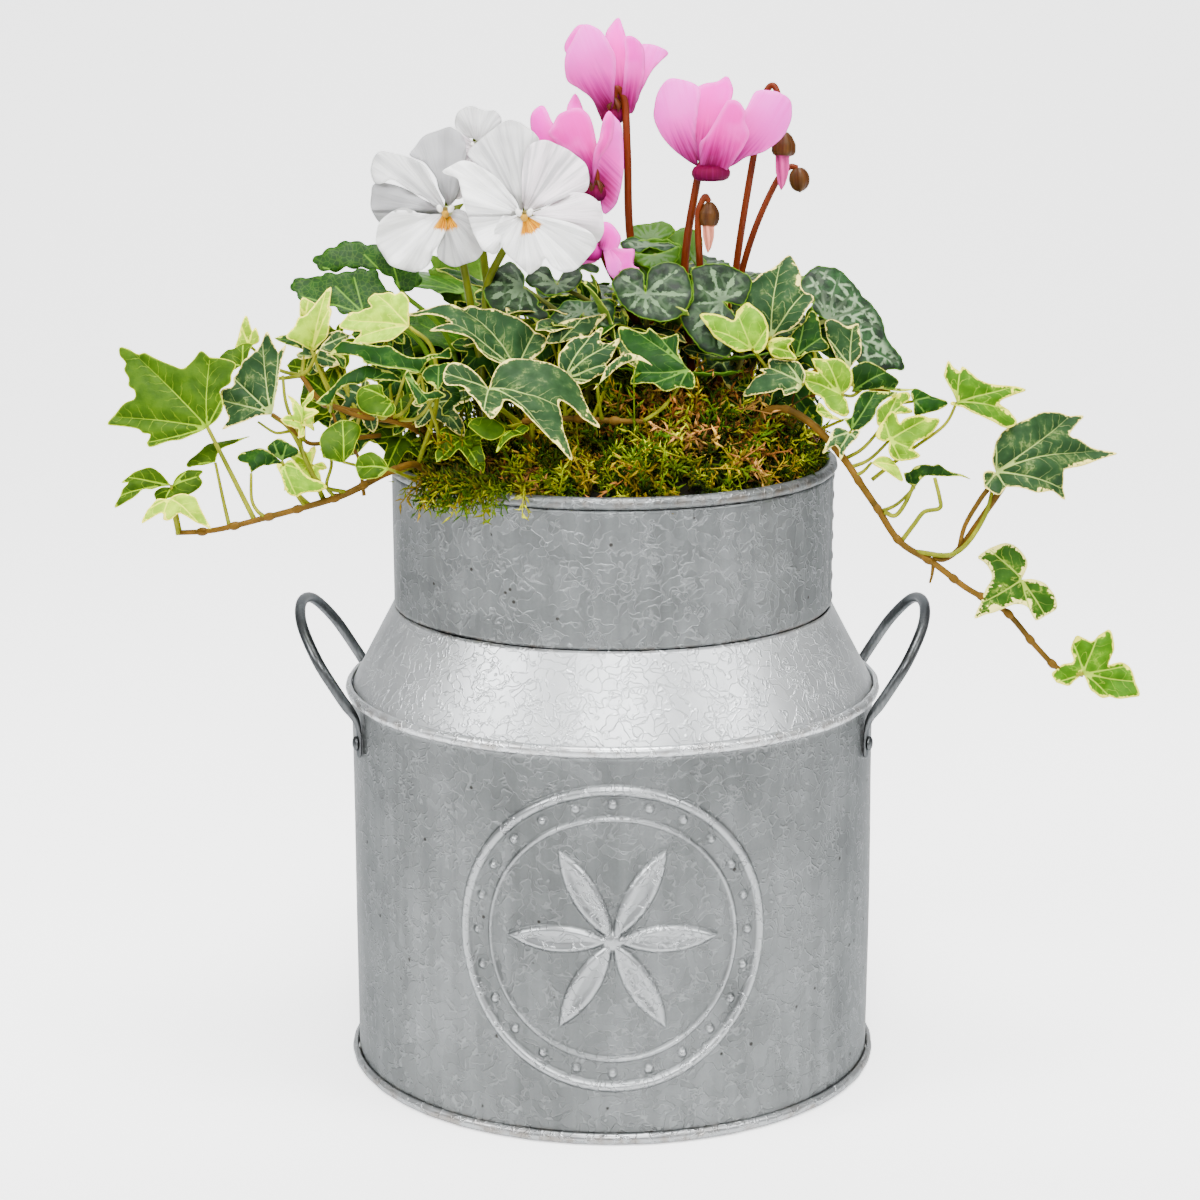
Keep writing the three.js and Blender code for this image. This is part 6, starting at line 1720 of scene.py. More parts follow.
# Each shoot's leaves: look, foot, facing, the outline's lobe tips, and the outline in
# millimetres from the foot, round the leaf as it is seen.
IVY_LEAVES = {
    "left_trail": {
        "left_end": ("green", (-160, -60, 282), (0, -0.94, 0.34), (6, 9, 18, 29, 36), [
            (4, 2.5), (6.5, 6.5), (6.5, 10), (5.5, 14), (9.5, 16.5), (10, 20), (11.5, 24.5),
            (7, 26.5), (1, 27.5), (-2.5, 30), (-5.5, 26.5), (-9.5, 23), (-14, 24.5), (-19, 26.5),
            (-22, 28), (-25, 29.5), (-27.5, 29), (-31, 31), (-35, 32), (-35, 28.5), (-32.5, 25.5),
            (-33, 22.5), (-31, 19), (-31, 16), (-28.5, 14), (-28.5, 11), (-32, 9.5), (-34.5, 7),
            (-37, 4), (-39, 0.5), (-35, 0), (-30.5, -0.5), (-26.5, -1.5), (-25, -3), (-22, -3.5),
            (-23.5, -6.5), (-22.5, -8.5), (-19.5, -8), (-14.5, -6), (-10.5, -5.5), (-7, -4),
            (-3, -2)]),
        "tip_upper": ("green", (-175, -61, 259), (0.1, -0.9, 0.4), (6, 10), [
            (-2.5, 3), (-4, 4.5), (-7.5, 6.5), (-11, 6), (-14.5, 5), (-17, 3.5), (-19.5, 1),
            (-16.5, 1), (-19, -1.5), (-20, -4), (-22.5, -8.5), (-18, -7), (-14, -5), (-11, -2),
            (-7.5, -2), (-4.5, -1)]),
        "tip_right": ("green", (-175, -60, 258), (-0.1, -0.95, 0.3), (3, 5, 10), [
            (1.5, 2.5), (3.5, 5), (6.5, 7), (12, 7), (11, 4.5), (12.5, 2), (10, -1.5), (5.5, -4),
            (0.5, -4.5), (-2, -5), (-4.5, -6.5), (-6.5, -3), (-3.5, -0.5)]),
        "tip_lime": ("lime", (-175, -65, 254), (0, -0.8, 0.6), (3, 8, 13), [
            (-1.5, -0.5), (-5, -1.5), (-8.5, -5), (-10.5, -11), (-7.5, -9.5), (-4, -7.5), (-2, -7),
            (-2, -9.5), (-0.5, -10.5), (2, -10), (4.5, -8), (7, -8.5), (12.5, -10.5), (17, -13),
            (14.5, -8), (12, -3.5), (10.5, -0.5), (6.5, 1), (3, 0.5)]),
        "left_side": ("green", (-158, -55, 267), (0, -0.8, 0.6), (3, 9, 15), [
            (-4, -2), (-8.5, -2), (-10, -2.5), (-11.5, -1.5), (-10.5, 1), (-6.5, 4), (-3, 7.5),
            (1, 8.5), (6.5, 10.5), (13.5, 11.5), (10, 10), (6.5, 8), (3, 5), (1.5, 3.5), (0, -0.5),
            (-1, -2.5)]),
        "low_round": ("dark", (-143, -62, 264), (0, -0.7, 0.7), (1, 7), [
            (-1.5, 4), (-6, 6.5), (-4, 9.5), (-1, 11), (3, 11.5), (6.5, 10), (10, 7), (12.5, 4),
            (8.5, 4), (5.5, 4), (2.5, 2)]),
        "low_heart": ("dark", (-130, -68, 270), (0, -0.95, 0.3), (1, 3, 5), [
            (-3, 2), (-6, 5), (-3.5, 8), (-1, 9), (2, 7.5), (6.5, 4.5), (6, 2), (2.5, 1)]),
        "low_lime": ("fresh", (-129, -74, 270), (0, -0.9, 0.4), (4, 8, 11), [
            (3, 1.5), (6, -1), (10, -5.5), (16, -7.5), (17.5, -9.5), (14, -11.5), (9.5, -12),
            (6, -13.5), (2.5, -12.5), (1, -9.5), (-0.5, -5), (-2.5, -0.5)]),
    },
    "left_upper": {
        "left_high": ("margined", (-135, -55, 286), (0, -0.95, 0.3), (3, 7, 10, 15, 18), [
            (-5.5, -1), (-10.5, -3), (-15.5, -4.5), (-19.5, -6), (-17, -2), (-17.5, 0), (-20, 6),
            (-20, 10), (-15.5, 11.5), (-15.5, 15), (-13.5, 17.5), (-11.5, 21.5), (-9, 23.5),
            (-5.5, 27), (-4, 30), (-2, 33.5), (0, 29.5), (2, 25.5), (5.5, 28.5), (4, 23.5),
            (3, 17.5), (2.5, 11.5), (1.5, 6), (1, 2.5)]),
        "left_bud": ("lime", (-146, -34, 311), (0, -0.95, 0.3), (2, 4, 6), [
            (-3, -1), (-5.5, -1), (-4, 4), (-3, 8), (-1, 12), (1.5, 5.5), (3, 7), (4.5, 2),
            (2.5, 0)]),
        "left_back": ("green", (-148, -42, 304), (0, -0.8, 0.6), (2, 6), [
            (-3, -3), (-6.5, 0), (-9, 3), (-6, 6.5), (-3.5, 7), (0, 10), (4, 9.5), (3, 6),
            (2, 2.5)]),
        "left_pale": ("lime", (-120, -42, 310), (0.1, -0.97, 0.2), (2, 11, 14), [
            (-2, 1), (-5.5, 3), (-10, 5), (-8.5, 7.5), (-6.5, 9.5), (-5, 13), (-2.5, 13.5),
            (0, 16), (2, 18.5), (4.5, 21.5), (6.5, 24), (8.5, 25), (8, 21), (7.5, 17), (8.5, 15.5),
            (7.5, 11.5), (6.5, 5.5), (3.5, 2.5), (1, 0)]),
        "left_pale_back": ("lime", (-123, -36, 322), (0.1, -0.97, 0.2), (2, 4), [
            (-2, 0), (-2, 6.5), (-0.5, 8.5), (1.5, 7.5), (4.5, 5.5), (3.5, 3)]),
        "left_lime": ("lime", (-80, -54, 321), (0, -0.85, 0.5), (2, 8, 15, 20), [
            (0, 4), (0, 9.5), (-1.5, 12), (-3.5, 13.5), (-5.5, 12.5), (-8, 14), (-10.5, 14),
            (-14, 15), (-16.5, 12.5), (-16.5, 10.5), (-15, 8), (-18, 7.5), (-20.5, 6.5),
            (-23.5, 6.5), (-26, 4), (-28, 1), (-26, -0.5), (-22.5, -1.5), (-19, -2), (-21, -4),
            (-22.5, -7), (-19, -6.5), (-16.5, -7.5), (-12, -7.5), (-8, -7), (-4.5, -5),
            (-2, -2.5)]),
        "left_blade": ("margined", (-117, -50, 311), (0.1, -0.9, 0.4), (5,), [
            (-0.5, -2.5), (2, 2), (5, 5.5), (8, 8), (13, 6.5), (14, 6.5), (11, 3.5), (8, 0),
            (4.5, -1.5)]),
        "left_long": ("dark", (-75, -66, 304), (0, -0.75, 0.65), (8, 20), [
            (-2.5, -0.5), (-7, 1.5), (-13, 3), (-17.5, 4), (-22.5, 4), (-23, 6), (-29, 6.5),
            (-34, 7.5), (-36.5, 7.5), (-34, 10.5), (-31, 13), (-27, 12), (-22.5, 11.5),
            (-17, 11.5), (-12, 12), (-7.5, 8), (-3.5, 5.5), (0.5, 5), (3, 6.5), (7.5, 8.5),
            (11, 11.5), (11.5, 6), (6, 5.5), (3, 4), (1, 1.5)]),
        "left_mid": ("dark", (-110, -69, 293), (0, -0.75, 0.65), (2, 10), [
            (-3.5, -1), (-6.5, 0), (-12.5, 1.5), (-6.5, 0), (-3.5, 2.5), (1, 6.5), (4, 10.5),
            (8.5, 13.5), (14, 16), (21.5, 14.5), (27.5, 10), (22, 9.5), (15, 10), (11, 7.5),
            (7, 7), (3, 5), (1, 2)]),
        "left_olive": ("green", (-86, -70, 294), (0, -0.9, 0.4), (4, 8), [
            (-3.5, 3), (-4, 6), (-9, 6.5), (-12.5, 5.5), (-14, 2.5), (-13, -2.5), (-9, -5.5),
            (-4, -6.5), (-0.5, -6.5), (1.5, -3.5)]),
        "left_leaf_low": ("green", (-105, -76, 271), (0.1, -0.9, 0.4), (2, 7), [
            (-3.5, 0), (-8, 1.5), (-9, 6.5), (-9, 9.5), (-7, 13), (-3, 16), (0, 17.5), (4.5, 16.5),
            (7, 14), (6.5, 10.5), (5, 7), (3.5, 3)]),
        "low_dark": ("green", (-87, -80, 269), (0, -0.85, 0.5), (2, 5), [
            (-2.5, -3), (-5, -4), (-10, -4.5), (-12, -2.5), (-13.5, 2), (-12, 5.5), (-7.5, 7),
            (-4, 5), (-1.5, 2.5)]),
        "left_inner": ("dark", (-68, -71, 298), (0, -0.9, 0.4), (2, 5), [
            (-2, 2), (-4.5, 3.5), (-6.5, 7), (-4, 10), (0, 11), (4.5, 11.5), (4, 8.5), (3, 5.5),
            (1.5, 2.5)]),
        "left_tongue": ("dark", (-81, -72, 304), (0, -0.8, 0.6), (4, 7), [
            (1.5, 2), (4.5, -3), (8.5, -7.5), (13.5, -6.5), (16.5, -8.5), (12.5, -10),
            (9.5, -10.5), (6, -13), (3, -7)]),
    },
    "front": {
        "front_upper": ("margined", (-37, -58, 306), (0.25, -0.7, 0.66), (6, 12, 16, 23), [
            (-3.5, 0), (-9, 1.5), (-15, 4.5), (-18, 8.5), (-24.5, 11), (-29.5, 13), (-34.5, 15),
            (-30, 16.5), (-25, 18), (-28, 21.5), (-32.5, 25.5), (-36.5, 27), (-39.5, 29.5),
            (-32.5, 29), (-24, 28.5), (-18, 26), (-14.5, 27.5), (-11, 25), (-6.5, 24),
            (-3.5, 21.5), (1.5, 18.5), (5, 16.5), (9, 13.5), (12.5, 10), (11, 5.5), (6.5, 2.5),
            (3, 0)]),
        "front_large": ("margined", (-48, -78, 300), (0.12, -0.66, 0.74), (5, 11, 18, 26), [
            (-1.5, 1.5), (-6.5, 5.5), (-12.5, 8), (-16, 6.5), (-18, 2.5), (-18.5, -2),
            (-16.5, -4.5), (-11, -3.5), (-9.5, -7), (-6.5, -11.5), (-4.5, -17.5), (-2, -21.5),
            (2, -17), (4, -12), (6.5, -11.5), (11, -16.5), (17, -22.5), (22.5, -28.5),
            (28.5, -34.5), (28, -28.5), (26.5, -22), (26.5, -17), (26, -11.5), (27, -9),
            (31.5, -11), (35, -14.5), (42, -18), (39, -12), (37, -5.5), (35.5, 0.5), (32.5, 3.5),
            (28.5, 6), (21.5, 9.5), (14.5, 11), (9, 10), (5, 7.5), (2, 4)]),
        "front_star": ("margined", (-19, -66, 302), (-0.1, -0.9, 0.42), (6, 10, 14, 17), [
            (-2, 4.5), (-2, 9), (0, 12), (1.5, 14.5), (5, 17), (9.5, 18), (14, 22), (13.5, 17.5),
            (14, 15.5), (17.5, 15.5), (21.5, 17.5), (19, 11.5), (18, 8.5), (16, 6), (18, 3.5),
            (13.5, 1), (10.5, -1), (7, -2.5), (3.5, -1)]),
        "front_back": ("margined", (-21, -52, 314), (0, -0.9, 0.42), (5,), [
            (-5, -0.5), (-4, 3.5), (-0.5, 7.5), (4, 9.5), (9, 10.5), (19, 12.5), (15, 8),
            (12, 3.5), (7.5, 2), (3.5, 0.5)]),
        "front_right": ("dark", (30, -68, 306), (-0.1, -0.88, 0.46), (2, 5, 8, 13, 16, 18), [
            (-2, 2), (-5, 7.5), (-5, 14.5), (-8.5, 14), (-12, 13.5), (-16.5, 17), (-18, 15),
            (-22, 15.5), (-28, 16.5), (-28, 13), (-25.5, 8), (-21, 3), (-21.5, -2), (-22.5, -7),
            (-18.5, -7), (-13.5, -6.5), (-8.5, -10), (-3.5, -7.5), (2, -8.5), (2.5, -4)]),
        "front_twig": ("margined", (-6, -78, 302), (0, -0.8, 0.6), (6,), [
            (-1.5, -3.5), (1.5, 2), (3.5, 6.5), (7.5, 10), (12.5, 12), (16.5, 12), (21.5, 8),
            (16.5, 10), (12, 9), (7.5, 6.5), (4, 3)]),
        "front_small": ("green", (-49, -80, 290), (0, -0.8, 0.6), (1,), [
            (-4, -1.5), (-7, -4.5), (-3.5, -8), (0.5, -10.5), (4.5, -10), (7.5, -6), (4.5, -3)]),
        "front_low": ("green", (-38, -84, 285), (0, -0.7, 0.7), (2, 6), [
            (-3, -1.5), (-5.5, -5.5), (-7, -10.5), (-4, -7.5), (-1, -5), (3.5, -2.5), (6, 0),
            (3, 1.5)]),
    },
    "right_upper": {
        "right_top": ("margined", (63, -40, 315), (-0.1, -0.92, 0.38), (3, 6, 12, 17), [
            (-3.5, 1), (-8.5, 3), (-12.5, 4.5), (-15, 7), (-16, 11), (-16.5, 15), (-15.5, 20),
            (-12, 22.5), (-7.5, 22), (-5, 24.5), (-0.5, 27.5), (3, 31.5), (6.5, 34.5), (9.5, 30),
            (11.5, 25), (11.5, 20.5), (13, 18), (17, 15.5), (14.5, 10.5), (11.5, 5), (7, 2),
            (3.5, 1.5)]),
        "right_green": ("fresh", (55, -60, 313), (-0.05, -0.92, 0.38), (4, 9, 13), [
            (-5, -2), (-8.5, -0.5), (-14.5, 3.5), (-17, 7.5), (-21, 14), (-15, 14), (-10.5, 12),
            (-7.5, 10.5), (-6.5, 15), (-2.5, 18.5), (0, 16.5), (4, 13), (6, 9), (6, 3), (4, -1),
            (1.5, -2)]),
        "right_curl": ("fresh", (61, -52, 313), (0, -0.95, 0.3), (3, 6), [
            (1, 2), (4.5, 3.5), (8, 3.5), (11, 3), (8.5, 0), (10, -2), (12, -5), (8.5, -5),
            (4.5, -5), (1.5, -3.5)]),
        "right_shade": ("dark", (73, -42, 307), (0, -0.9, 0.4), (3, 6), [
            (-2, 5.5), (-1, 10), (3.5, 14.5), (6.5, 19.5), (9.5, 16), (10.5, 8.5), (13.5, 4.5),
            (10.5, 2.5), (6, 2), (2.5, 0.5)]),
        "right_edge": ("margined", (95, -38, 302), (0.1, -0.95, 0.3), (2, 4, 9), [
            (-2.5, 1), (-5.5, 4.5), (-7, 8.5), (-9, 13.5), (-9.5, 18.5), (-7, 20), (-4, 19),
            (-1, 17), (2, 17.5), (4, 18), (4.5, 14), (5, 10), (4.5, 5.5), (2, 2.5)]),
        "right_arrow": ("margined", (75, -58, 299), (-0.2, -0.8, 0.56), (1, 5, 11, 13), [
            (-2, -3.5), (-6.5, -6), (-8, -3), (-12, -5), (-17, -7), (-23, -7), (-20, -2),
            (-17.5, 1), (-15, 3), (-17.5, 4), (-14, 6), (-14.5, 9.5), (-8.5, 10), (-3, 9), (-1, 7),
            (1, 3)]),
        "right_lime": ("fresh", (91, -54, 294), (0.05, -0.92, 0.38), (3, 10, 14, 17), [
            (1.5, -2), (2, -5), (2.5, -7.5), (0.5, -9.5), (-4, -8), (-7, -5.5), (-8.5, -2),
            (-11, -0.5), (-14, 2.5), (-15.5, 6), (-17.5, 9.5), (-13, 9.5), (-9.5, 8.5), (-11, 11),
            (-12, 14.5), (-9.5, 14.5), (-6.5, 14.5), (-1.5, 14), (1.5, 12), (3.5, 9.5), (4, 6),
            (3, 2.5)]),
        "right_lime_lobe": ("fresh", (91, -60, 285), (0.05, -0.92, 0.38), (4,), [
            (-3, 1), (-6, 3.5), (-9, 7.5), (-10.5, 4), (-8, 1), (-3.5, -0.5)]),
        "right_back": ("dark", (96, -44, 294), (0.1, -0.9, 0.4), (5, 7), [
            (-1, 4.5), (-0.5, 8.5), (6, 11), (11, 8.5), (14, 7), (19, 4), (17.5, 1), (25.5, 0.5),
            (19, -0.5), (11, 0), (4, -0.5)]),
        "right_point": ("dark", (119, -52, 291), (0.1, -0.9, 0.4), (3, 6), [
            (-1, 2.5), (1, 5), (8, 2), (14.5, -0.5), (11, -3.5), (4.5, -5.5), (0, -6)]),
    },
    "right_trail": {
        "right_grey": ("dark", (94, -62, 281), (-0.05, -0.92, 0.38), (4, 6), [
            (-1.5, 2), (-3, 4.5), (0, 5), (1.5, 11), (4.5, 15.5), (9.5, 16.5), (18.5, 16),
            (13.5, 13), (10.5, 9.5), (9, 5), (5.5, 1.5), (2.5, -0.5)]),
        "right_fresh": ("fresh", (107, -60, 283), (0.1, -0.9, 0.4), (5, 8), [
            (-2.5, -0.5), (-3, 3.5), (-2, 6.5), (3, 10.5), (7, 13), (11, 13), (11, 10), (8, 8),
            (12, 5), (9, 4), (4.5, 3.5)]),
        "right_yellow": ("fresh", (109, -66, 278), (0.05, -0.95, 0.3), (1, 4, 10, 15, 18), [
            (-2.5, -1), (-5.5, 1), (-4.5, 5), (-2, 8), (0, 11), (2.5, 10.5), (4, 6.5), (6, 8.5),
            (11.5, 9.5), (16, 8.5), (20, 8), (18, 4), (15, 1), (10.5, -1), (8.5, -3.5), (12, -6.5),
            (8.5, -8), (4.5, -8.5), (0.5, -7.5), (-1, -4)]),
        "right_claw": ("margined", (93, -70, 282), (0, -0.9, 0.42), (4, 7, 10), [
            (-2.5, 1), (-5.5, 1.5), (-7.5, -1), (-8.5, -3.5), (-11, -9), (-6.5, -6), (-4.5, -7.5),
            (-4, -12), (-1.5, -7), (2.5, -3), (4, 0), (2.5, 0.5)]),
        "right_scrap": ("lime", (102, -66, 269), (0, -0.9, 0.42), (3,), [
            (3, 2), (7, 1.5), (10.5, -2), (12.5, -7.5), (9, -6.5), (5, -4), (1.5, -2)]),
        "end_star": ("bright", (135, -66, 293), (0, -0.92, 0.4), (3, 6, 11, 15, 22), [
            (-2.5, 4), (-4, 6.5), (-5.5, 10), (-3.5, 16), (-1.5, 13), (1, 11.5), (2, 13.5),
            (5.5, 10.5), (9, 8), (15.5, 6.5), (23, 6.5), (27.5, 5), (22, 2.5), (16.5, -0.5),
            (20.5, -3), (23.5, -8), (19, -10.5), (13, -8.5), (8, -6.5), (5, -5), (2, -2.5),
            (-1, -1.5), (-3, -1.5), (-2, 0)]),
        "right_large": ("margined", (151, -66, 265), (0.14, -0.9, 0.42), (3, 10, 16, 23, 28, 30), [
            (-2, 3), (-2, 6), (-0.5, 11), (2, 14.5), (6, 17), (10, 18.5), (14.5, 20.5), (21, 23.5),
            (28, 24), (33.5, 23), (39.5, 23), (35.5, 19), (31.5, 14), (35.5, 12.5), (39.5, 10),
            (44.5, 8.5), (51, 6.5), (44, 4.5), (35.5, 1.5), (29.5, 0), (26, -1.5), (26, -4.5),
            (26, -8), (26.5, -12.5), (21, -9.5), (14, -10.5), (7, -8), (2.5, -7), (-1.5, -10.5),
            (-6, -6.5), (-6.5, -1.5), (-4, 0)]),
        "right_cream": ("cream", (163, -63, 221), (0, -0.95, 0.3), (6, 12, 18, 20), [
            (2, 5.5), (1.5, 8.5), (-0.5, 11.5), (-3.5, 14), (-7.5, 14.5), (-13, 12.5), (-17.5, 9),
            (-15, 7), (-13, 4.5), (-12, 0.5), (-14.5, -4), (-16.5, -9.5), (-19, -15.5),
            (-14.5, -14), (-10.5, -13), (-3, -10), (2, -11), (3.5, -13.5), (5.5, -16.5),
            (9.5, -14.5), (14, -11.5), (13.5, -7), (11.5, -4), (9, -1.5), (4, 0)]),
        "right_end": ("bright", (190, -58, 181), (0.05, -0.95, 0.3), (3, 9, 13, 20, 22, 26), [
            (-4, -3), (-6.5, -5), (-11.5, -3.5), (-13.5, 0), (-11, 2), (-8.5, 4), (-4, 5),
            (-5, 9.5), (-4, 13), (-2.5, 15.5), (0, 14.5), (3.5, 13), (6.5, 15.5), (11, 17.5),
            (12.5, 10.5), (11.5, 7), (10, 3.5), (12.5, 4), (15.5, 4.5), (18.5, 3), (19.5, 1.5),
            (21, -3.5), (22.5, -9), (18.5, -10), (13.5, -10.5), (10.5, -9.5), (7, -10), (4, -8),
            (2, -6.5), (1, -3.5)]),
        "right_drop": ("dark", (120, -60, 258), (0, -0.85, 0.5), (1, 9), [
            (-3.5, 2.5), (-4.5, 5.5), (-2, 6), (0, 8), (4, 8.5), (7, 8), (9.5, 9), (13, 6.5),
            (18, 5), (22.5, 3.5), (15.5, 4), (7.5, 4), (3.5, 3.5)]),
    },
}
# Leaves that are separate parts of the planter, with the way their stalks run down.
IVY_PARTS = {
    "left_end": [(-152, -62, 266), (-142, -64, 245.5)],
    "left_high": [(-126, -60, 279), (-114, -67, 254)],
    "left_lime": [(-71, -54, 312), (-70, -50, 290), (-78, -48, 264)],
    "front_large": [(-45, -68, 292), (-36, -60, 283)],
    "front_upper": [(-32, -54, 300), (-32, -56, 274)],
    "right_top": [(66, -33, 304), (69, -28, 285)],
    "right_large": [(147, -68, 248), (136, -68, 233), (120, -66, 233)],
    "right_end": [(187, -58, 180.5)],
}
# The young, slender leaves' stalks where the photograph shows their way: leaf and points.
IVY_STALKS = {
    "low_round": [(-143, -63, 254), (-141, -64, 249.5), (-138, -65, 247)],
    "low_heart": [(-125, -67, 258), (-119, -67, 251.5)],
    "tip_lime": [(-173, -60, 239)],
    "left_pale": [(-117, -42, 301.5), (-113.5, -43, 293.5), (-111.5, -44, 288.5)],
    "end_star": [(130.5, -64, 283.5), (119.5, -60, 274), (112, -57, 267.5), (103, -58, 260.5)],
}
# Side twigs and bare stalks that show in the photograph: radii at both ends, colour and way.
IVY_TWIGS = {
    "left_trail": [
        (0.7, 1.0, IVY_STEM, [
            (-134.5, -58, 287), (-129, -60, 283.5), (-123.5, -60, 278.5), (-119, -58, 275),
            (-108.5, -52, 275.5), (-93, -44, 276)]),
        (0.6, 0.9, IVY_YOUNG, [
            (-129.5, -62, 303), (-128.5, -64, 293.5), (-126, -64, 285.5), (-122, -62, 277.5)]),
        (0.6, 0.9, IVY_YOUNG, [
            (-123.5, -62, 279), (-120.5, -68, 269.5), (-114, -70, 260.5), (-105.5, -68, 257.5)]),
        (0.6, 0.8, IVY_YOUNG, [
            (-114.5, -62, 277.5), (-110.5, -68, 269.5), (-112.5, -70, 260.5), (-109, -68, 255)]),
    ],
    "left_upper": [
        (0.9, 1.1, IVY_STEM, [
            (-111.5, -46, 288), (-101, -46, 284), (-85, -42, 280.5), (-76, -36, 274.5)]),
        (0.6, 0.8, IVY_STEM, [
            (-111.5, -48, 285.5), (-108.5, -52, 279), (-101, -58, 270), (-99, -62, 259),
            (-98.5, -62, 255)]),
        (0.5, 0.8, IVY_YOUNG, [
            (-140.5, -56, 283.5), (-133.5, -58, 279.5), (-127.5, -58, 280), (-123.5, -58, 278)]),
        (0.6, 0.9, IVY_YOUNG, [
            (-75.5, -60, 303), (-74, -60, 295.5), (-71.5, -58, 288), (-69.5, -54, 280),
            (-69, -48, 270)]),
    ],
    "right_trail": [
        (0.8, 1.0, IVY_YOUNG, [
            (119, -64, 259.5), (116, -64, 252.5), (112, -65, 247.5), (107.5, -65, 249)]),
        (0.8, 1.0, IVY_YOUNG, [
            (127, -66, 263), (129, -68, 255), (129, -68, 251), (123, -68, 249.5), (119, -67, 244),
            (114.5, -65, 237)]),
        (0.9, 0.45, IVY_STEM, [(127.5, -65, 229.5), (127, -66, 224), (126, -67, 220.5)]),
        (0.9, 1.1, IVY_STEM, [
            (137.5, -65, 234), (139.5, -67, 244), (145, -68, 254.5), (149.5, -67, 260.5)]),
        (1.1, 1.4, IVY_STEM, [
            (127, -65, 230.5), (131.5, -66, 230), (137.5, -65, 234), (144.5, -66, 244.5),
            (150.5, -67, 254), (154.5, -67, 260.5)]),
    ],
}
# The leaves at the back and in the shade of the others, on each shoot: look, foot, tip, facing
# and where the stalk joins.
IVY_HIDDEN = {
    "left_upper": [
        ("green", (-114, -28, 289), (-105, -32, 272), (-0.1, -0.9, 0.4), (-107, -46, 283)),
        ("dark", (-98, -26, 279), (-85, -32, 263), (0, -0.9, 0.4), (-85, -42, 280)),
        ("green", (-117, -26, 299), (-127, -30, 283), (-0.1, -0.9, 0.4), (-107, -46, 283)),
        ("green", (-113, -34, 289), (-126, -36, 300), (-0.2, -0.8, 0.5), (-107, -46, 283)),
        ("dark", (-114, -30, 308), (-135, -32, 314), (-0.1, -0.6, 0.75), (-101, -46, 284)),
        ("dark", (-85, -28, 298), (-105, -32, 311), (0, -0.7, 0.7), (-85, -42, 280)),
        ("green", (-86, -30, 293), (-102, -36, 283), (-0.2, -0.8, 0.5), (-85, -42, 280)),
        ("dark", (-76, -32, 287), (-89, -40, 276), (0, -0.7, 0.6), (-76, -36, 274)),
        ("margined", (-119, -38, 307), (-110, -38, 318), (0, -0.8, 0.6), (-107, -46, 283)),
        ("dark", (-106, -30, 274), (-120, -32, 284), (-0.1, -0.8, 0.5), (-101, -46, 284)),
        ("green", (-85, -30, 273), (-92, -38, 259), (0, -0.9, 0.4), (-76, -36, 274)),
        ("margined", (-99, -40, 290), (-114, -46, 279), (-0.1, -0.8, 0.5), (-101, -46, 284)),
        ("green", (-110, -28, 312), (-122, -32, 302), (0, -0.8, 0.5), (-104, -44, 285)),
        ("dark", (-92, -24, 318), (-100, -30, 304), (0, -0.8, 0.5), (-88, -41, 281)),
    ],
    "front": [
        ("dark", (-51, -26, 307), (-63, -34, 296), (0, -0.8, 0.5), (-66, -40, 273)),
        ("dark", (-46, -24, 299), (-37, -34, 287), (0.1, -0.8, 0.5), (-26, -44, 274)),
        ("dark", (-59, -34, 290), (-74, -36, 300), (0, -0.7, 0.7), (-66, -40, 273)),
        ("margined", (-71, -38, 288), (-59, -48, 276), (0, -0.8, 0.5), (-66, -40, 273)),
        ("green", (-60, -48, 276), (-50, -62, 265), (0.1, -0.8, 0.6), (-66, -40, 273)),
        ("green", (-5, -30, 299), (-19, -44, 292), (0, -0.8, 0.5), (-21, -50, 283)),
        ("dark", (6, -12, 314), (-4, -20, 304), (0, -0.8, 0.5), (-8, -60, 285)),
    ],
    "left_trail": [
        ("lime", (-119, -60, 267), (-131, -62, 258), (-0.1, -0.8, 0.5), (-114, -69, 260)),
        ("lime", (-123, -60, 283), (-128, -58, 296), (0.8, -0.5, 0.2), (-122, -62, 277)),
        ("lime", (-122, -58, 285), (-119, -54, 296), (-0.8, -0.5, 0.2), (-122, -62, 277)),
    ],
    "right_upper": [
        ("dark", (60, -20, 292), (74, -28, 282), (0.2, -0.7, 0.6), (56, -28, 280)),
        ("margined", (44, -20, 303), (31, -32, 293), (0, -0.8, 0.5), (52, -26, 279)),
        ("dark", (80, -14, 314), (94, -20, 299), (0.2, -0.8, 0.5), (84, -38, 299)),
        ("dark", (72, -10, 298), (84, -16, 285), (0.3, -0.8, 0.5), (84, -38, 299)),
        ("dark", (76, -18, 306), (88, -24, 296), (0.2, -0.8, 0.5), (72, -34, 294)),
        ("margined", (66, -16, 312), (78, -20, 318), (0.1, -0.8, 0.5), (72, -34, 294)),
        ("dark", (71, -28, 293), (84, -35, 278), (0.3, -0.8, 0.5), (72, -34, 294)),
        ("dark", (58, -30, 292), (70, -38, 283), (0.3, -0.8, 0.5), (70, -30, 288)),
        ("dark", (50, -28, 290), (56, -38, 278), (0.1, -0.8, 0.5), (68, -27, 282)),
    ],
    "back": [
        ("margined", (-14, 60, 292), (14, 72, 300), (0.1, 0.4, 0.9), (-34, 70, 270)),
        ("dark", (-52, 58, 290), (-76, 46, 306), (-0.3, 0.5, 0.8), (-34, 67, 269)),
        ("margined", (-24, 90, 284), (0, 104, 272), (0.1, 0.7, 0.7), (-38, 86, 270)),
        ("green", (-54, 94, 280), (-84, 98, 278), (-0.1, 0.7, 0.7), (-40, 92, 268)),
        ("margined", (-40, 122, 250), (-16, 128, 236), (0.1, 0.9, 0.4), (-46, 110, 250)),
        ("lime", (-60, 120, 222), (-74, 126, 198), (-0.1, 0.95, 0.25), (-56, 116, 222)),
    ],
}


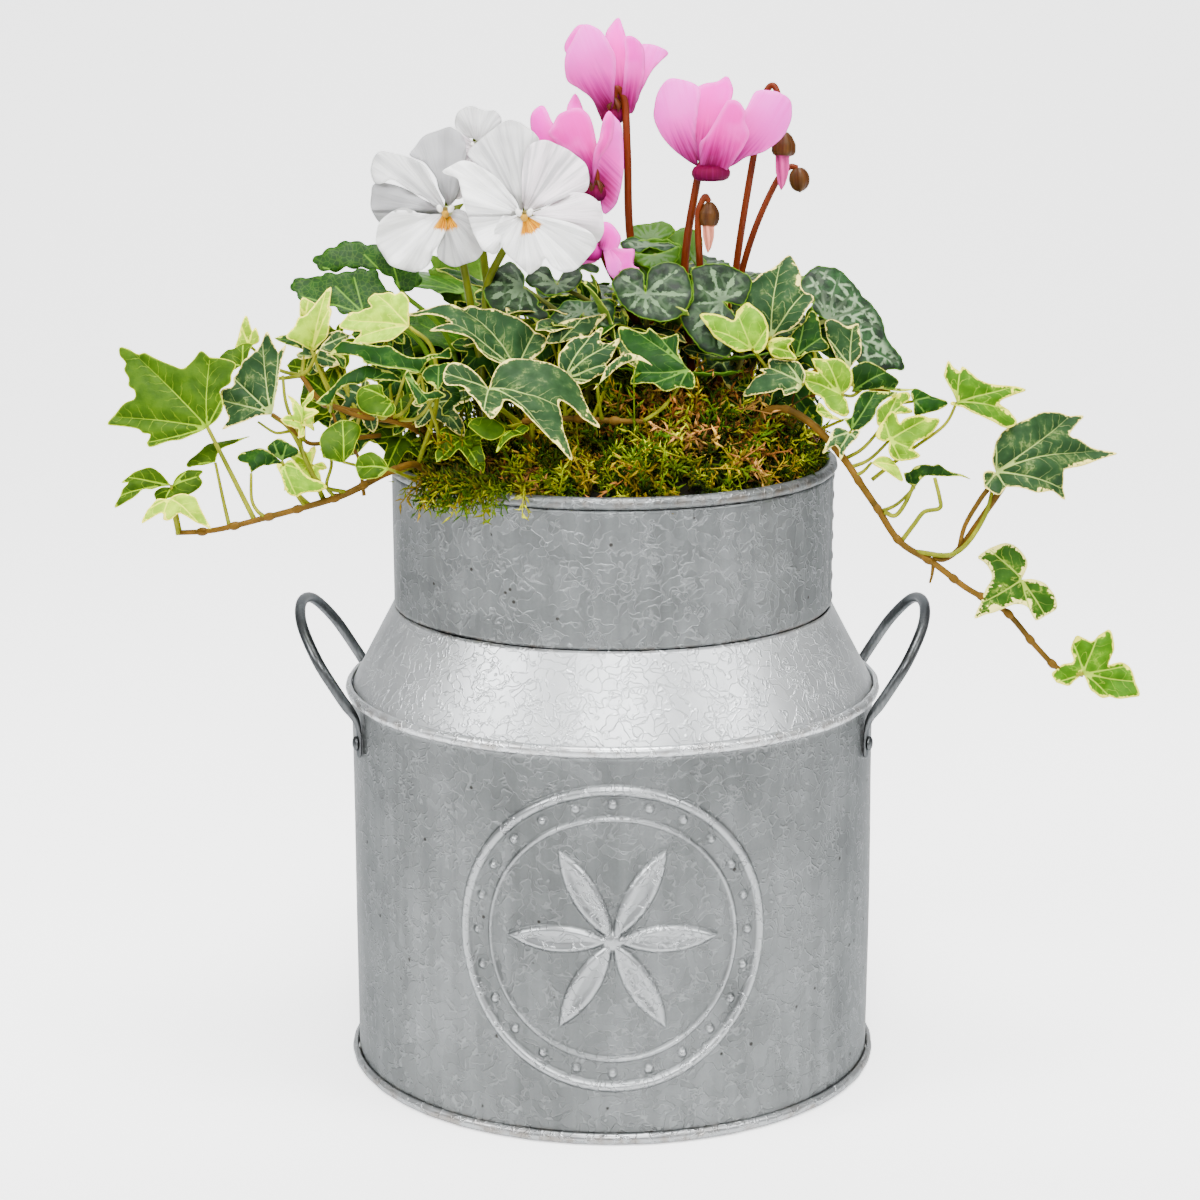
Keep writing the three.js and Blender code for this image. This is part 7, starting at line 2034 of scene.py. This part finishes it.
def ivy_outline(size, seed):
    """A five-lobed ivy outline for the leaves that aren't measured, with its lobe tips."""
    draw = np.random.default_rng(seed)
    lobes = [(-128, 0.5), (-66, 0.78), (0, 1.0), (66, 0.78), (128, 0.5)]
    points, tips = [], []
    for k, (turn, reach) in enumerate(lobes):
        reach *= draw.uniform(0.9, 1.08)
        turn += draw.uniform(-6, 6)
        near = [(-17, 0.62), (-9, 0.84), (0, 1.0), (9, 0.84), (17, 0.62)]
        for step, share in near:
            a = math.radians(90 - turn - step * (1.25 if k != 2 else 1.0))
            if step == 0:
                tips.append(len(points) + 1)
            points.append((reach * share * math.cos(a), reach * share * math.sin(a)))
        if k < 4:
            a = math.radians(90 - (turn + lobes[k + 1][0]) / 2)
            points.append((0.42 * math.cos(a), 0.42 * math.sin(a)))
    return size * np.array(points), tips


def ivy_blade(group, look, base, frame, outline, tips, seed):
    """One lobed leaf, drooping at its tips, with a bowed vein to each lobe."""
    outline = np.asarray(outline, float)
    ends = [outline[tip - 1] for tip in tips]
    bows = [0.10 * math.sin(seed * 3.1 + k * 2.3) for k in range(len(ends))]
    sheet = Sheet(outline, tips, ends, 1.1, bows)
    flat, size = sheet.flat, sheet.size
    ground, vein_colour, rim_colour, wide, ragged = IVY_LOOKS[look]
    draw = np.random.default_rng(seed)
    ground = np.array(ground) * draw.uniform(0.85, 1.15) * draw.uniform(0.96, 1.04, 3)
    far = np.linalg.norm(flat, axis=1) / size
    height = -0.16 * size * far**2 - 0.05 * size * np.sin(far * 5 + seed)
    height += 0.05 * size * (1 - np.exp(-sheet.vein / (0.10 * size)))
    height -= 0.35 * np.exp(-sheet.vein / 0.8)
    height += 0.09 * size * waves(flat, size * 0.4, seed) + 0.35 * waves(flat, 3.5, seed + 1)
    height += 0.5 * np.exp(-sheet.edge / 1.4) * waves(flat, 4.0, seed + 2)
    height += 0.10 * size
    height -= 0.10 * size * np.exp(-far * 6)
    wide = min(wide * (0.7 + size / 80), 1.2)
    add_leaf(group, sheet, base, frame, height, 0.45, 60 * seed, (ground, IVY_UNDER),
             (vein_colour, vein_colour), (rim_colour, rim_colour), margin=(wide, ragged, 1.0))


def nearest_on(path, place):
    """The point of a shoot that a leaf's stalk can grow from: near it, and not above it."""
    path = np.asarray(path)
    off = np.linalg.norm(path - place, axis=1) + 2.0 * np.clip(path[:, 2] - place[2] + 3, 0, None)
    return path[off.argmin()]


def ivy_stalk(group, points, start, end, colour, sides=7):
    """A stalk or shoot whose colour varies softly along it."""
    points = np.asarray(points, float)
    path = stalk_path(points, 6)
    tones = np.array(colour)

    def shade(share):
        step = np.sin(share * 19 + points[0, 0]) * 0.12 + 1.0
        return tones * step[:, None]

    add_stalk(group, path, start, end, shade, sides, margin=(-9.0, 0.0, 0.0))
    first = len(path) * sides
    whole = group.fields[-1]["sheet"]
    whole[:first] = np.repeat(path, sides, axis=0) * 0.5


def ivy_knots(group, path, spacing, size):
    """The slightly swollen nodes along a woody shoot."""
    gap = np.append(0, np.cumsum(np.linalg.norm(np.diff(path, axis=0), axis=1)))
    for at in np.arange(spacing, gap[-1] - 4, spacing):
        i = min(max(int(np.searchsorted(gap, at)), 1), len(path) - 2)
        way = unit(path[i + 1] - path[i - 1])
        droplet(group, path[i] - way * 2.6, path[i] + way * 2.6, size, IVY_STEM,
                blade=(9.0, 9.0, 0.0), sheet=(0.0, 0.0, 0.0), margin=(-9.0, 0.0, 0.0))


def stalk_to_shoot(base, frame, shoot_path, seed):
    """A stalk that sags from a leaf's foot to its shoot."""
    base = np.asarray(base, float)
    join = nearest_on(shoot_path, base)
    apart = np.linalg.norm(join - base)
    middle = (base + join) / 2 + np.array([0, 0.12, -0.14]) * apart
    return [base - 0.2 * frame[2], middle, join]


seed = 100
for shoot, corners in IVY_STEMS.items():
    group = Gather()
    path = stalk_path(corners, 10)
    ivy_stalk(group, corners, 1.65, 1.05, IVY_STEM, 10)
    ivy_knots(group, path, 14.0, 1.75)
    for leaf_name, (look, base, face, tips, outline) in IVY_LEAVES.get(shoot, {}).items():
        seed += 1
        frame = facing_frame(face)
        own = leaf_name in IVY_PARTS
        home = Gather() if own else group
        ivy_blade(home, look, base, frame, outline, tips, seed)
        if own:
            ivy_stalk(home, [np.asarray(base) - 0.2 * frame[2], *IVY_PARTS[leaf_name]], 0.8, 1.1,
                      IVY_YOUNG)
            home.piece(f"ivy_leaf_{leaf_name}_blade", ivy, "ivy_leaf", [f"ivy_leaf_{leaf_name}"])
        elif leaf_name in IVY_STALKS:
            ivy_stalk(home, [base, *IVY_STALKS[leaf_name]], 0.6, 0.9, IVY_YOUNG)
        else:
            ivy_stalk(home, stalk_to_shoot(base, frame, path, seed), 0.6, 0.9, IVY_YOUNG)
    for look, base, tip, face, join in IVY_HIDDEN.get(shoot, ()):
        seed += 1
        frame = growing_frame(base, tip, face)
        size = np.linalg.norm(np.subtract(tip, base))
        outline, tips = ivy_outline(size, seed)
        ivy_blade(group, look, base, frame, outline, tips, seed)
        ivy_stalk(group, [base, (np.add(base, join)) / 2 - (0, 0, 1.5), join], 0.6, 0.9, IVY_YOUNG)
    for start, end, tone, way in IVY_TWIGS.get(shoot, ()):
        ivy_stalk(group, way, start, end, tone)
    group.piece(f"ivy_shoot_{shoot}_growth", ivy, "ivy_leaf", [f"ivy_shoot_{shoot}"])


# ---------------------------------------------------------------- leaves within the crown
# Behind the leaves that show, more of the same three plants fill the crown: shaded ivy, pansy
# and cyclamen leaves on stalks from the soil, low at the rim and higher in the middle.

GOLDEN_ANGLE = 2.39996
GOLDEN_SHARE = 0.618
STALK_FOOT = 252.0


def crown_leaf(turn, reach, height, draw):
    """Where a leaf of the inner crown starts, which way it grows, and its stalk's way down."""
    way = np.array([math.cos(turn), math.sin(turn), 0.0])
    base = np.array([way[0] * reach, way[1] * reach, height])
    rise = draw.uniform(-0.1, 0.5)
    tip = base + unit(way + (0, 0, rise) + draw.normal(0, 0.25, 3)) * 10
    face = unit(way * 0.55 + (0, 0, 0.9) + draw.normal(0, 0.2, 3))
    root = way * reach * 0.55
    foot = np.array([root[0], root[1], STALK_FOOT])
    middle = (base + foot) / 2 + (0, 0, 6) - way * 3
    return base, growing_frame(base, tip, face), [base, middle, foot]


draw = np.random.default_rng(77)
ivy_fill, pansy_fill, cyclamen_fill = Gather(), Gather(), Gather()
for k in range(40):
    turn = k * GOLDEN_ANGLE + draw.uniform(-0.2, 0.2)
    reach = 24 + 46 * ((k * GOLDEN_SHARE) % 1)
    height = 298 + 42 * (1 - reach / 80) + draw.uniform(-14, 12)
    base, frame, stalk_way = crown_leaf(turn, reach, height, draw)
    size = draw.uniform(20, 30)
    outline, tips = ivy_outline(size, 300 + k)
    ivy_blade(ivy_fill, "dark" if k % 4 else "margined", base, frame, outline, tips, 300 + k)
    ivy_stalk(ivy_fill, stalk_way, 0.6, 0.9, IVY_YOUNG)
for k in range(17):
    low = 14 if k < 4 else 0
    base = np.array([-92 + 9.2 * k, draw.uniform(-12, 14), draw.uniform(308, 325) - low])
    tip = base + (draw.normal(0, 5), -4, -16)
    frame = growing_frame(base, tip, (draw.normal(0, 0.25), -0.85, 0.45))
    outline, tips = ivy_outline(draw.uniform(22, 29), 400 + k)
    ivy_blade(ivy_fill, "dark", base, frame, outline, tips, 400 + k)
    foot = np.array([base[0] * 0.8, base[1] * 0.8, STALK_FOOT])
    ivy_stalk(ivy_fill, [base, (base + foot) / 2 + (0, 3, 4), foot], 0.6, 0.9, IVY_YOUNG)
for k in range(9):
    turn = math.pi * (0.82 + 0.42 * (k / 8)) + draw.uniform(-0.1, 0.1)
    if k > 5:
        turn = math.pi * (0.35 + 0.12 * (k - 6))
    reach = 52 + 12 * ((k * GOLDEN_SHARE) % 1)
    base, frame, stalk_way = crown_leaf(turn, reach, 312 + draw.uniform(-18, 14), draw)
    outline = toothed(draw.uniform(30, 38), draw.uniform(22, 27), seed=k)
    pansy_blade(pansy_fill, base, frame, outline, 28, 60 + k, PANSY_LIGHT if k % 2 else PANSY_GREEN)
    add_stalk(pansy_fill, stalk_path(stalk_way), 1.0, 1.3, STEM_GREEN)
for k in range(15):
    turn = k * GOLDEN_ANGLE + 0.6
    reach = 22 + 22 * ((k * GOLDEN_SHARE) % 1)
    place = np.array([CROWN[0] + reach * math.cos(turn), CROWN[1] + reach * math.sin(turn)])
    base = np.array([*place, 322 + draw.uniform(-14, 12) - 16 * (place[1] < -10)])
    way = np.array([math.cos(turn), math.sin(turn), 0.1])
    frame = growing_frame(base, base + way, (0.3 * way[0], 0.3 * way[1] - 0.1, 0.95))
    outline = kidney(draw.uniform(24, 32), draw.uniform(28, 36), seed=k)
    cyclamen_blade(cyclamen_fill, "top", base, frame, outline, (), 0.08, 70 + k)
    foot = (*(CROWN + 12.5 * way[:2]), 268)
    add_stalk(cyclamen_fill, stalk_path([foot, (base + foot) / 2 - way * 3, base]), 1.35, 0.9,
              petiole_tone)
ivy_fill.piece("crown_ivy_leaves", ivy, "ivy_leaf")
pansy_fill.piece("crown_pansy_leaves", pansy_leaf, "pansy_leaf")
cyclamen_fill.piece("crown_cyclamen_leaves", cyclamen_leaf, "cyclamen_leaf")


# ---------------------------------------------------------------- floor and studio
# A seamless pale sweep, a large soft light above and to each side, and the camera at the
# photograph's place: 1.2 m away, a little above the planter, looking slightly down.

sweep_profile = [(-2.4, 0.0), (1.6, 0.0)]
sweep_profile += [(1.6 + math.sin(a), 1 - math.cos(a)) for a in np.linspace(0.1, 1.5, 14)]
sweep_profile += [(2.6, 4.0)]
sweep_points = [(x, y, z - 0.00005) for y, z in sweep_profile for x in (-4.0, 4.0)]
sweep_mesh = bpy.data.meshes.new("studio_sweep")
sweep_mesh.from_pydata(sweep_points, [], [tuple(f) for f in
                       lattice(len(sweep_profile), 2, closed_rows=False, closed_columns=False)])
sweep_mesh.polygons.foreach_set("use_smooth", [True] * len(sweep_mesh.polygons))
paper = Finish("studio_paper")
side, back, _ = paper.split(paper.where())
off = paper.node("Math", {"operation": "ABSOLUTE"}, (side,))
# The paper glows behind the planter and fades to none in front and at the sides: painted light,
# which also lights the planter from behind.
lit = paper.between(back, -0.45, 0.1) * paper.between(off - back * 0.25, 0.62, 0.3)
paper_values = {"Base Color": (0.88, 0.88, 0.88), "Roughness": 0.9, "Emission Strength": 1.8}
paper_values["Emission Color"] = paper.mix(lit, (0, 0, 0), (1, 1, 1))
paper.close(paper.node("BsdfPrincipled", None, paper_values))
sweep_mesh.materials.append(paper.material)
sweep = bpy.data.objects.new("studio_sweep", sweep_mesh)
bpy.context.collection.objects.link(sweep)

world = bpy.data.worlds.new("studio_world")
world.use_nodes = True
sky = world.node_tree
heading = sky.nodes.new("ShaderNodeTexCoord")
height = sky.nodes.new("ShaderNodeSeparateXYZ")
rising = sky.nodes.new("ShaderNodeMapRange")
for socket, value in ((1, 0.0), (2, 0.8), (3, 0.28), (4, 1.0)):
    rising.inputs[socket].default_value = value
sky.links.new(heading.outputs["Generated"], height.inputs[0])
sky.links.new(height.outputs[2], rising.inputs[0])
sky.links.new(rising.outputs[0], sky.nodes["Background"].inputs["Strength"])
sky.nodes["Background"].inputs["Color"].default_value = (1, 1, 1, 1)
bpy.context.scene.world = world


def soft_light(name, place, aim, size, power):
    lamp = bpy.data.lights.new(name, "AREA")
    lamp.shape = "RECTANGLE"
    lamp.size, lamp.size_y = size
    lamp.energy = power
    stand = bpy.data.objects.new(name, lamp)
    stand.location = place
    stand.rotation_euler = (Vector(aim) - Vector(place)).to_track_quat("-Z", "Y").to_euler()
    bpy.context.collection.objects.link(stand)


soft_light("light_above", (0.1, -0.3, 1.7), (0, 0, 0.2), (0.7, 0.7), 50)
soft_light("light_front", (0.0, -1.3, 1.1), (0, 0, 0.2), (0.5, 0.4), 22)
soft_light("light_left", (-1.15, -0.7, 1.05), (0, 0, 0.22), (0.5, 0.5), 23)
soft_light("light_right", (1.1, -0.65, 1.05), (0, 0, 0.22), (0.5, 0.5), 15)

lens = bpy.data.cameras.new("camera")
lens.lens = 88.3
lens.sensor_width = 36.0
lens.shift_x = -0.01046
lens.clip_end = 20
camera = bpy.data.objects.new("camera", lens)
camera.location = (0, -1.2073, 0.4806)
camera.rotation_euler = (math.pi / 2 - 0.23, 0, 0)
bpy.context.collection.objects.link(camera)
bpy.context.scene.camera = camera

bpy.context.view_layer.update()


def plain(box):
    return [[float(value) for value in corner] for corner in box]
